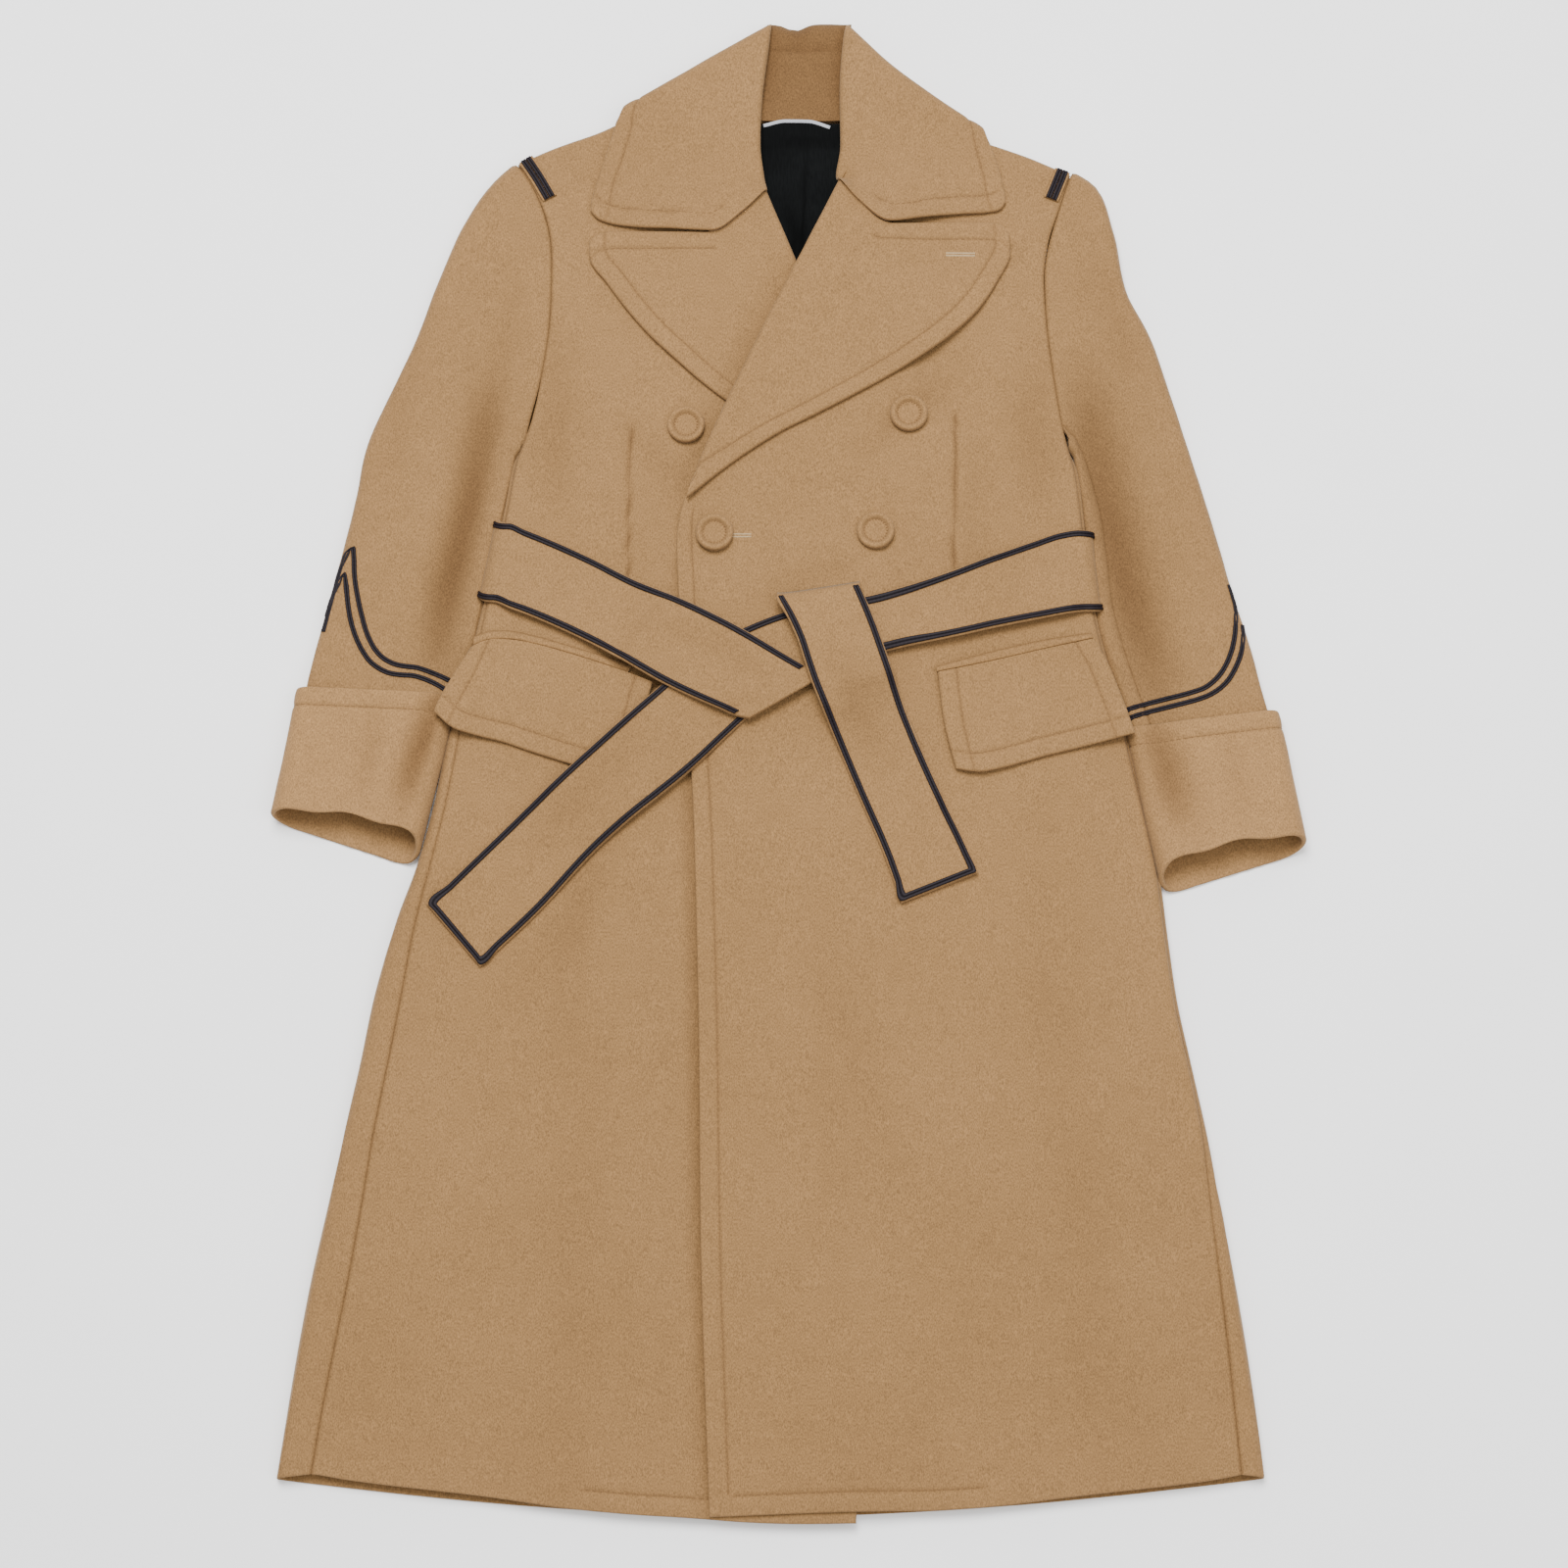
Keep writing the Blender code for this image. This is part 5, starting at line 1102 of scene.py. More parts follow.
def edge_drop(spec, outer, inner, away):
    """Distance to the nearest free edge, and how far the face falls at edges and seams."""
    edge = np.full(outer.shape[:2], NO_EDGE)
    for key in spec["free"]:
        low, high = spec.get("seamed", {}).get(key, (FAR, -FAR))
        sewn = (outer[..., 0] > low) & (outer[..., 0] < high)
        edge = np.minimum(edge, np.where(sewn, NO_EDGE, away[key]))
    wall = np.linalg.norm(outer - inner, axis=-1)
    round_at = np.maximum(wall * EDGE_ROUND_SHARE, EDGE_ROUND_LEAST)
    turn = np.clip(1 - edge / round_at, 0, 1)
    drop = round_at * (1 - np.sqrt(np.clip(1 - turn**2, 0, 1))) * EDGE_ROUND
    for key in spec.get("seam", ()):
        drop = np.maximum(drop, SEAM_DEPTH * bell(away[key], SEAM_WIDTH))
    return edge, drop


def stitch_relief(spec, outer, away):
    """Groove of the topstitching, the painted shade in it, and the pad of cloth between it and the edge."""
    groove, shade, pad = np.zeros((3,) + outer.shape[:2])
    for key, limits in spec.get("stitch", ()):
        held = within(limits, outer)
        inside = away[key] - STITCH_IN
        groove = np.maximum(groove, held * bell(inside, GROOVE_WIDTH))
        shade = np.maximum(shade, held * GROOVE_SHADE * bell(inside, GROOVE_SHADE_WIDTH))
        pad = np.maximum(pad, held * PAD_HEIGHT * bell(away[key] - PAD_IN, PAD_WIDTH))
    return groove * GROOVE_DEPTH, shade, pad


def slab(name, outer, inner, closed=False):
    """Dress a piece: refine its two grids, add the relief of the cloth, and put its mesh in the scene."""
    if "braid" in name or name == "hanger_loop":
        return braid(name, outer, inner, "loop" if name == "hanger_loop" else "braid")
    spec = SPECS.get(name, PLAIN)
    stitched = [side_name for side_name, _ in spec.get("stitch", ())]
    if spec.get("fold"):
        outer, inner = folded_edge(outer, inner, spec["fold"])
    outer, inner = refine(outer, inner, spec["step"], bool(stitched), closed)
    normal = directions(outer, inner, closed)
    along = lengths_along(outer, 0)
    away = {"v0": along, "v1": along[-1:] - along}
    if not closed:
        across = lengths_along(outer, 1)
        away["u0"] = across
        away["u1"] = across[:, -1:] - across
    rise, painted_shade = creased(name, spec, outer, normal)
    edge, drop = edge_drop(spec, outer, inner, away)
    groove, shade, pad = stitch_relief(spec, outer, away)
    # Painted shade along the topstitching and the seams.
    painted_shade = np.maximum(painted_shade, shade)
    for key in spec.get("seam", ()):
        painted_shade = np.maximum(painted_shade, SEAM_SHADE * bell(away[key], SEAM_SHADE_WIDTH))
    inner_drop = np.where(edge < EDGE_NEAR, drop * INNER_FOLLOWS, 0.0)
    outer = outer + normal * (rise + pad - drop - groove)[..., None]
    inner = inner + normal * (rise * INNER_FOLLOWS + inner_drop)[..., None]
    kept[name] = (outer.reshape(-1, 3), normal.reshape(-1, 3))
    if name.endswith("cuff"):
        outer, inner = open_lip(outer, inner)
    if name == "collar_stand":
        outer, inner = dipped(outer, inner)
    # Nothing of the cloth goes below the surface that the coat lies on.
    below = np.clip(-np.minimum(outer[..., 2], inner[..., 2]), 0, None)
    outer[..., 2] += below
    inner[..., 2] += below
    mesh = join_grid(name, outer, inner, closed)
    set_painted_shade(mesh, painted_shade)
    look = spec.get("material", "wool")
    made[name] = add_piece(name, mesh, look, name)
    for key, limits in spec.get("stitch", ()):
        stitch_line(name, outer, normal, away, key, limits, stitched)
    return made[name]


# Dip in the roll of the stand: depth, place and width across, y where it begins and how soon it is
# full, and how much it lowers the roll.
DIP_DEPTH = 5.0
DIP_X = 9.0
DIP_WIDTH = 10.0
DIP_FROM = 632
DIP_OVER = 24
DIP_LOWERS = 0.25


def dipped(outer, inner):
    """The roll of the stand sinks a little beside its middle, where it was pressed flat."""
    begun = np.clip((outer[..., 1] - DIP_FROM) / DIP_OVER, 0, 1)
    dip = DIP_DEPTH * bell(outer[..., 0] - DIP_X, DIP_WIDTH) * begun**2
    fall = np.stack((np.zeros_like(dip), dip, DIP_LOWERS * dip), axis=-1)
    return outer - fall, inner - fall


# Open lip of a cuff: height where its upper half begins and rise over which it is full, how far it falls
# back, its waves, and the uneven pleats inside it.
LIP_FROM = 12.0
LIP_OVER = 14.0
LIP_BACK = 5.0
LIP_WAVE = 1.8
LIP_WAVE_TURNS = 13.0
LIP_WAVE_SHIFT = 1.0
PLEAT_HEIGHT = 0.8
PLEAT_TURNS = 46.0
PLEAT_SWAY = 3.0
PLEAT_SWAY_TURNS = 9.0


def open_lip(outer, inner):
    """The upper half of a cuff's lip falls back in uneven waves, so that the inside shows."""
    reach = np.linspace(0, 1, len(outer))[:, None] ** 3
    upper = np.clip((outer[..., 2] - LIP_FROM) / LIP_OVER, 0, 1)
    low, high = outer[-1, :, 0].min(), outer[-1, :, 0].max()
    share = np.clip((outer[..., 0] - low) / (high - low), 0, 1)
    arch = np.sin(share * math.pi)
    back = LIP_BACK * arch + LIP_WAVE * np.sin(share * LIP_WAVE_TURNS + LIP_WAVE_SHIFT) * arch
    push = reach * upper * back
    outer = outer.copy()
    inner = inner.copy()
    outer[..., 1] += push
    inner[..., 1] += push
    pleat = np.sin(share * PLEAT_TURNS + PLEAT_SWAY * np.sin(share * PLEAT_SWAY_TURNS))
    inner[..., 2] += PLEAT_HEIGHT * reach * (1 - upper) * pleat * arch
    return outer, inner


def stitch_line(name, outer, normal, away, key, limits, stitched):
    """Places of the stitches at a fixed distance inside one side of a piece."""
    if key[0] == "v":
        outer, normal = np.swapaxes(outer, 0, 1), np.swapaxes(normal, 0, 1)
        away = {side_name: field.T for side_name, field in away.items()}
    points = []
    pushes = []
    for k, distance in enumerate(away[key]):
        if distance.max() < STITCH_IN * STITCH_ROOM:
            continue
        order = np.argsort(distance)
        distance = distance[order]
        point = picked(STITCH_IN, distance, outer[k, order])
        others = [np.interp(STITCH_IN, distance, away[s][k, order]) for s in stitched if s != key]
        clear = all(other >= STITCH_IN - STITCH_CORNER for other in others)
        if clear and within(limits, point):
            points.append(point)
            pushes.append(picked(STITCH_IN, distance, normal[k, order]))
    if len(points) < 3:
        return
    points = np.array(points)
    place = places_along(points)
    at = np.arange(STITCH_PITCH / 2, place[-1], STITCH_PITCH)
    centre = picked(at, place, points)
    ahead = picked(at + LOOK_AHEAD, place, points) - centre
    stitch_places.setdefault(name, []).append((centre, picked(at, place, np.array(pushes)), ahead))


# One thread: places of its rings along the half length, sides of a ring, and least share of its width.
THREAD_RINGS = (-1.0, -0.55, 0.0, 0.55, 1.0)
THREAD_SIDES = 6
THREAD_TIP = 0.02


def thread_shape(size):
    """Points and faces of one thread, round and thinner towards its ends."""
    long, wide, high = size
    points = []
    for along in THREAD_RINGS:
        reach = math.sqrt(max(THREAD_TIP, 1 - along * along))
        for k in range(THREAD_SIDES):
            angle = 2 * math.pi * k / THREAD_SIDES
            points.append((along * long, math.cos(angle) * wide * reach, math.sin(angle) * high * reach))
    index = np.arange(len(points)).reshape(len(THREAD_RINGS), THREAD_SIDES)
    turned = np.roll(index, -1, axis=1)
    faces = np.stack((index[:-1], turned[:-1], turned[1:], index[1:]), axis=-1).reshape(-1, 4).tolist()
    return np.array(points), faces + [index[0, ::-1].tolist(), index[-1].tolist()]


def unit(vector):
    """Vector scaled to length 1."""
    return vector / max(np.linalg.norm(vector), 1e-9)


def stitches(name, groups, look="thread", size=STITCH_SIZE):
    """Short raised threads at the given places, as one piece."""
    shape, faces = thread_shape(size)
    points = []
    all_faces = []
    for group in groups:
        for centre, lean, ahead in zip(*group):
            ahead = unit(ahead)
            lean = unit(lean - ahead * np.dot(lean, ahead))
            beside = np.cross(lean, ahead)
            base = len(points)
            thread = centre - ORIGIN + shape[:, :1] * ahead + shape[:, 1:2] * beside + shape[:, 2:] * lean
            points.extend((thread * MM).tolist())
            all_faces.extend(tuple(base + i for i in face) for face in faces)
    return add_piece(name, smooth_mesh(name, points, all_faces), look)


# Threads and braid set on a dressed piece: how many points of it they follow, and the softening of
# the nearest ones.
SEAM_NEIGHBOURS = 6
SEAM_SOFT = 0.5
BRAID_NEIGHBOURS = 4
BRAID_SOFT = 0.3


def on_piece(name, places):
    """Points of a piece's outer face above plan places, with the outward direction there."""
    points, pushes = kept[name]
    out = []
    lean = []
    for place in np.asarray(places, float):
        gap = np.sum((points[:, :2] - place) ** 2, axis=1)
        near = np.argpartition(gap, SEAM_NEIGHBOURS)[:SEAM_NEIGHBOURS]
        share = 1 / (gap[near] + SEAM_SOFT)
        share /= share.sum()
        out.append((place[0], place[1], float(points[near, 2] @ share)))
        lean.append(pushes[near].T @ share)
    return np.array(out), np.array(lean)


def row_along(line, pitch):
    """Places and headings at a pitch along a plan line."""
    line = np.asarray(line, float)
    place = places_along(line)
    at = np.arange(pitch / 2, place[-1], pitch)
    spots = picked(at, place, line)
    ahead = picked(at + LOOK_AHEAD, place, line) - spots
    return spots, np.concatenate((ahead, np.zeros((len(ahead), 1))), axis=1)


def seam_row(name, host, lines, pitch, size, look, turned=False):
    """Threads laid on a piece along plan lines, either along them or across them."""
    groups = []
    for line in lines:
        spots, ahead = row_along(line, pitch)
        centre, lean = on_piece(host, spots)
        if turned:
            ahead = np.stack((-ahead[:, 1], ahead[:, 0], ahead[:, 2]), axis=1)
        groups.append((centre, lean, ahead))
    made[name] = stitches(name, groups, look, size)


# Sleeve braid: least upward turn of the cloth it lies on, reach for cloth beside it, how far a row may
# pass the edge, gap under it, and rows that are levelled together.
BRAID_CLOTH_UP = 0.05
BRAID_REACH = 3.0
BRAID_PAST_EDGE = 0.2
BRAID_GAP = 0.2
BRAID_LEVELLED = 5


def on_sleeve(grid, hand_name):
    """Braid rows set down on the dressed sleeve; rows past its edge are left out."""
    parts = [kept[hand_name + part] for part in ("_top_sleeve", "_under_sleeve")]
    points = np.concatenate([places[turned[:, 2] > BRAID_CLOTH_UP] for places, turned in parts])
    gaps = np.linalg.norm(grid[:, :, None, :2] - points[None, None, :, :2], axis=-1)
    near = np.argpartition(gaps, BRAID_NEIGHBOURS, axis=-1)[..., :BRAID_NEIGHBOURS]
    weight = 1 / (np.take_along_axis(gaps, near, axis=-1) + BRAID_SOFT)
    height = (points[near, 2] * weight).sum(axis=-1, keepdims=True) / weight.sum(axis=-1, keepdims=True)
    out = -1 if hand_name == "right" else 1
    level = np.abs(grid[:, :, None, 1] - points[:, 1]) < BRAID_REACH
    edge = np.where(level, points[:, 0] * out, -1e9).max(axis=-1)
    past = np.clip(grid[..., 0] * out - edge, 0, None)
    on_cloth = gaps.min(axis=-1).min(axis=1) < BRAID_REACH
    on_cloth &= (past.min(axis=1) < BRAID_PAST_EDGE) & (edge.min(axis=1) > 0)
    set_down = np.concatenate((past[..., None], height), axis=-1)[on_cloth]
    margin = BRAID_LEVELLED // 2
    set_down = np.pad(set_down, ((margin, margin), (0, 0), (0, 0)), mode="edge")
    grid = grid[on_cloth]
    set_down = sum(set_down[k:k + len(grid)] for k in range(BRAID_LEVELLED)) / BRAID_LEVELLED
    height = set_down[..., 1]
    grid[..., 0] -= out * set_down[..., 0]
    grid[..., 3] -= out * set_down[..., 0]
    grid[..., 5] = height + BRAID_GAP
    grid[..., 2] = height + BRAID_GAP + BRAID_HEIGHT
    return grid, on_cloth


# Soutache: spacing of its rows, places across it, fullness of its two cords, depth of the groove as a
# share of the height, and height, pitch and painted shade of the ribs that twist them.
BRAID_STEP = 1.6
BRAID_ACROSS = np.array((
    0, 0.04, 0.12, 0.22, 0.32, 0.42, 0.47, 0.5, 0.53, 0.58, 0.68, 0.78, 0.88, 0.96, 1.0,
))
CORD_FULLNESS = 0.55
CORD_GROOVE = 0.75
RIB_HEIGHT = 0.12
RIB_PITCH = 3.2
RIB_SHADE = 0.25


def braid(name, outer, inner, look):
    """Soutache: two rounded cords side by side with a groove between, twisted by small ribs."""
    both = np.concatenate((outer, inner), axis=-1)
    along = lengths_along(both[..., :3], 0).mean(axis=1)
    at = np.linspace(0, along[-1], max(8, int(along[-1] / BRAID_STEP)))
    grid = rows_at(both, along, at)
    if "sleeve_braid" in name:
        grid, on_cloth = on_sleeve(grid, name.split("_")[0])
        at = at[on_cloth]
    full = grid[:, :1] + (grid[:, 1:] - grid[:, :1]) * BRAID_ACROSS[None, :, None]
    top, low = full[..., :3], full[..., 3:]
    push = top - low
    push /= np.linalg.norm(push, axis=-1, keepdims=True)
    bead = np.abs(np.sin(BRAID_ACROSS * 2 * math.pi)) ** CORD_FULLNESS
    twist = np.sin(at * 2 * math.pi / RIB_PITCH)[:, None]
    lift = -BRAID_HEIGHT * CORD_GROOVE * (1 - bead[None]) + RIB_HEIGHT * twist * bead[None]
    mesh = join_grid(name, top + push * lift[..., None], low, False)
    # Painted shade in the groove between the cords and at their outer edges, and in bands along the ribs.
    set_painted_shade(mesh, np.tile(1 - bead, (len(top), 1)) + RIB_SHADE * twist)
    return add_piece(name, mesh, look, name)


WHITE = (1.0, 1.0, 1.0)


def nodes_of(name):
    """New material with its node tree and shader."""
    made_material = bpy.data.materials.new(name)
    made_material.use_nodes = True
    tree = made_material.node_tree
    return made_material, tree, tree.nodes["Principled BSDF"]


def grain(tree, scale, detail, stretch=(1, 1, 1)):
    """Noise in the cloth's own coordinates."""
    place = tree.nodes.new("ShaderNodeTexCoord")
    turn = tree.nodes.new("ShaderNodeMapping")
    turn.inputs["Scale"].default_value = stretch
    made_noise = tree.nodes.new("ShaderNodeTexNoise")
    made_noise.inputs["Scale"].default_value = scale
    made_noise.inputs["Detail"].default_value = detail
    tree.links.new(place.outputs["Object"], turn.inputs["Vector"])
    tree.links.new(turn.outputs["Vector"], made_noise.inputs["Vector"])
    return made_noise.outputs["Fac"]


def painted_shade_of(tree):
    """Painted shade of the cloth, as stored with the mesh."""
    stored = tree.nodes.new("ShaderNodeAttribute")
    stored.attribute_name = "painted_shade"
    return stored.outputs["Fac"]


def scaled(tint, share):
    """Colour made darker or lighter by a share."""
    return tuple(min(1.0, share * c) for c in tint)


def ramp(tree, source, stops):
    """Colour read off a row of places and colours."""
    made_ramp = tree.nodes.new("ShaderNodeValToRGB")
    table = made_ramp.color_ramp
    while len(table.elements) < len(stops):
        table.elements.new(0.5)
    for element, (place, colour) in zip(table.elements, stops):
        element.position = place
        element.color = tuple(colour) + (1.0,)
    tree.links.new(source, made_ramp.inputs["Fac"])
    return made_ramp.outputs["Color"]


def multiplied(tree, first, second, share=1.0):
    """One colour multiplied by another, in part if the share is below 1."""
    made_mix = tree.nodes.new("ShaderNodeMix")
    made_mix.data_type = "RGBA"
    made_mix.blend_type = "MULTIPLY"
    made_mix.inputs[0].default_value = share
    tree.links.new(first, made_mix.inputs[6])
    tree.links.new(second, made_mix.inputs[7])
    return made_mix.outputs[2]


def bump(tree, source, strength, distance, under=None):
    """Fine relief of the surface, on top of another relief if one is given."""
    made_bump = tree.nodes.new("ShaderNodeBump")
    made_bump.inputs["Strength"].default_value = strength
    made_bump.inputs["Distance"].default_value = distance
    tree.links.new(source, made_bump.inputs["Height"])
    if under is not None:
        tree.links.new(under, made_bump.inputs["Normal"])
    return made_bump.outputs["Normal"]


def wool_look(name, tint):
    """Brushed wool: short fibres along the grain, mottling, painted shade in creases, seams and stitching,
    worn lighter edges and a soft sheen.
    """
    made_material, tree, shader = nodes_of(name)
    fibre = grain(tree, 1300.0, 4.0, (1.0, 0.45, 1.0))
    cross = grain(tree, 1100.0, 3.0, (0.45, 1.0, 1.0))
    mottle = grain(tree, 85.0, 4.0)
    broad = grain(tree, 9.0, 2.0)
    colour = ramp(tree, fibre, ((0.30, scaled(tint, 0.62)), (0.70, scaled(tint, 1.32))))
    blotch = ramp(tree, mottle, ((0.30, (0.93, 0.925, 0.92)), (0.72, WHITE)))
    shade = ramp(tree, broad, ((0.30, (0.92, 0.915, 0.90)), (0.70, WHITE)))
    colour = multiplied(tree, colour, blotch)
    colour = multiplied(tree, colour, shade)
    # Painted shade where the surface is concave, in creases, and lighter worn edges where it is sharply
    # convex.
    edges = tree.nodes.new("ShaderNodeNewGeometry").outputs["Pointiness"]
    crease_shade_and_edge_wear = ramp(tree, edges, ((0.40, (0.82, 0.80, 0.78)), (0.50, WHITE), (0.62, (1.09, 1.08, 1.06))))
    colour = multiplied(tree, colour, crease_shade_and_edge_wear, 0.7)
    # Painted shade: the stored value darkens the colour by up to half.
    painted_shade_colour = ramp(tree, painted_shade_of(tree), ((0.0, WHITE), (1.0, (0.50, 0.46, 0.42))))
    colour = multiplied(tree, colour, painted_shade_colour)
    tree.links.new(colour, shader.inputs["Base Color"])
    lean = bump(tree, mottle, 0.15, 0.0006)
    lean = bump(tree, cross, 0.2, 0.0003, lean)
    lean = bump(tree, fibre, 0.3, 0.0004, lean)
    tree.links.new(lean, shader.inputs["Normal"])
    shader.inputs["Roughness"].default_value = 0.92
    shader.inputs["Specular IOR Level"].default_value = 0.18
    shader.inputs["Sheen Weight"].default_value = 0.12
    shader.inputs["Sheen Roughness"].default_value = 0.45
    shader.inputs["Sheen Tint"].default_value = (1.0, 0.82, 0.60, 1.0)
    return made_material


def plain_look(name, tint, rough, level, scale, spread_share, sheen=0.0):
    """Plain material with a fine grain; spread_share is how far its colour varies."""
    made_material, tree, shader = nodes_of(name)
    fine = grain(tree, scale, 3.0)
    low, high = scaled(tint, 1 - spread_share), scaled(tint, 1 + spread_share)
    colour = ramp(tree, fine, ((0.32, low), (0.68, high)))
    tree.links.new(colour, shader.inputs["Base Color"])
    tree.links.new(bump(tree, fine, 0.4, 0.0003), shader.inputs["Normal"])
    shader.inputs["Roughness"].default_value = rough
    shader.inputs["Specular IOR Level"].default_value = level
    shader.inputs["Sheen Weight"].default_value = sheen
    return made_material


def braid_look(name, crest, groove):
    """Twisted rayon cord: dark crests over a groove darkened by painted shade, with a fine broken grain."""
    made_material, tree, shader = nodes_of(name)
    # The stored painted shade turns the crest colour into the darker groove colour.
    colour = ramp(tree, painted_shade_of(tree), ((0.0, crest), (0.75, groove)))
    fine = grain(tree, 1400.0, 3.0)
    speck = ramp(tree, fine, ((0.32, (0.6, 0.6, 0.62)), (0.68, WHITE)))
    colour = multiplied(tree, colour, speck)
    tree.links.new(colour, shader.inputs["Base Color"])
    tree.links.new(bump(tree, fine, 0.4, 0.0003), shader.inputs["Normal"])
    shader.inputs["Roughness"].default_value = 0.6
    shader.inputs["Specular IOR Level"].default_value = 0.16
    return made_material


def lining_look(name, tint):
    """Black lining: thin ribs along the cloth, painted shade in its creases, and almost no gloss."""
    made_material, tree, shader = nodes_of(name)
    fine = grain(tree, 900.0, 3.0, (1.0, 0.12, 1.0))
    broad = grain(tree, 28.0, 3.0, (0.4, 1.0, 1.0))
    colour = ramp(tree, fine, ((0.32, scaled(tint, 0.75)), (0.68, scaled(tint, 1.25))))
    shade = ramp(tree, broad, ((0.35, (0.72, 0.72, 0.72)), (0.68, (1.25, 1.27, 1.27))))
    colour = multiplied(tree, colour, shade)
    # Painted shade: the stored value darkens the lining in its creases.
    painted_shade_colour = ramp(tree, painted_shade_of(tree), ((0.0, WHITE), (1.0, (0.25, 0.25, 0.25))))
    colour = multiplied(tree, colour, painted_shade_colour)
    tree.links.new(colour, shader.inputs["Base Color"])
    tree.links.new(bump(tree, fine, 0.4, 0.0001), shader.inputs["Normal"])
    shader.inputs["Roughness"].default_value = 0.8
    shader.inputs["Specular IOR Level"].default_value = 0.04
    return made_material


WOOL = (0.226, 0.125, 0.049)
# The cuffs' wool is the same cloth made lighter: painted light for the brightness the cuffs catch.
CUFF_WOOL_PAINTED_LIGHT = (0.266, 0.148, 0.059)
LOOKS = {
    "wool": wool_look("camel_wool", WOOL),
    "cuff_wool_painted_light": wool_look("camel_wool_cuff_painted_light", CUFF_WOOL_PAINTED_LIGHT),
    "thread": plain_look("camel_thread", (0.150, 0.080, 0.032), 0.8, 0.2, 1500.0, 0.15),
    "buttonhole": plain_look("pale_buttonhole", (0.42, 0.31, 0.18), 0.8, 0.25, 1500.0, 0.12),
    "braid": braid_look("navy_braid", (0.0135, 0.0090, 0.0125), (0.0028, 0.0020, 0.0030)),
    "lining": lining_look("black_lining", (0.0032, 0.0035, 0.0036)),
    "loop": plain_look("silver_loop", (0.36, 0.37, 0.40), 0.35, 0.5, 1300.0, 0.15, 0.1),
    "floor": plain_look("pale_floor", (0.93, 0.93, 0.93), 0.9, 0.1, 6.0, 0.01),
}


# Covered button: radius share and height share of its profile, points round it, and the ring of
# stitches that puckers its middle (radius share, height share, lean, size of a thread).
BUTTON_PROFILE = (
    (0.0, 0.52), (0.2, 0.52), (0.4, 0.53), (0.52, 0.55), (0.575, 0.50), (0.60, 0.47), (0.625, 0.52),
    (0.68, 0.72), (0.75, 0.90), (0.83, 0.985), (0.89, 0.97), (0.95, 0.86), (0.985, 0.68), (1.0, 0.46),
    (0.985, 0.22), (0.94, 0.06), (0.86, 0.0), (0.4, 0.0), (0.0, 0.0),
)
BUTTON_POINTS = 72
PUCKERS = 24
PUCKER_FROM = 0.5
PUCKER_TO = 0.72
PUCKER_ABOVE = 0.3
PUCKER_HEIGHT = 0.00022
RING_RADIUS = 0.615
RING_HEIGHT = 0.54
RING_LEAN = 0.25
RING_THREAD = (1.3, 0.36, 0.3)


def button_ring(shape, x, y, base, radius, height):
    """Vertices of one ring of a button's profile, or the single vertex in its middle."""
    x, y, z = (x - ORIGIN_X) * MM, (y - ORIGIN_Y) * MM, (base + height * BUTTON_HEIGHT) * MM
    if radius == 0:
        return [shape.verts.new((x, y, z))]
    reach = radius * BUTTON_RADIUS * MM
    puckered = PUCKER_FROM < radius < PUCKER_TO and height > PUCKER_ABOVE
    ring_points = []
    for k in range(BUTTON_POINTS):
        angle = 2 * math.pi * k / BUTTON_POINTS
        pucker = PUCKER_HEIGHT * math.sin(angle * PUCKERS) if puckered else 0.0
        place = (x + reach * math.cos(angle), y + reach * math.sin(angle), z + pucker)
        ring_points.append(shape.verts.new(place))
    return ring_points


def button(name, x, y, base):
    """Covered button: rounded rim, sunk middle, and a ring of small stitches round the middle."""
    shape = bmesh.new()
    rings = [button_ring(shape, x, y, base, radius, height) for radius, height in BUTTON_PROFILE]
    for first, second in zip(rings[:-1], rings[1:]):
        for k in range(BUTTON_POINTS):
            m = (k + 1) % BUTTON_POINTS
            if len(first) == 1:
                shape.faces.new((first[0], second[k], second[m]))
            elif len(second) == 1:
                shape.faces.new((first[k], second[0], first[m]))
            else:
                shape.faces.new((first[k], second[k], second[m], first[m]))
    bmesh.ops.recalc_face_normals(shape, faces=shape.faces)
    mesh = bpy.data.meshes.new(name)
    shape.to_mesh(mesh)
    shape.free()
    shade_smooth(mesh)
    made[name] = add_piece(name, mesh, "wool", name)
    angles = np.arange(PUCKERS) * 2 * math.pi / PUCKERS
    round_x, round_y = np.cos(angles), np.sin(angles)
    reach = RING_RADIUS * BUTTON_RADIUS
    level = np.full(PUCKERS, base + RING_HEIGHT * BUTTON_HEIGHT)
    spots = np.stack((x + reach * round_x, y + reach * round_y, level), axis=1)
    radial = np.stack((round_x, round_y, np.full(PUCKERS, RING_LEAN)), axis=1)
    up = np.tile((0.0, 0.0, 1.0), (PUCKERS, 1))
    stitches(name + "_stitches", [(spots, up, radial)], "thread", RING_THREAD)


# How far a piece looks round itself for the height of the cloth it is laid on.
FRONT_REACH = 46.0
LAPEL_REACH = 30.0
WELT_REACH = 18.0
FLAP_REACH = 24.0
COLLAR_REACH = 2.0
RIGHT_RUN_REACH = 28.0
LEFT_RUN_REACH = 30.0
OVER_END_REACH = 26.0
# The left front is laid on the right front as far as this x.
OVERLAP_X = 190.0


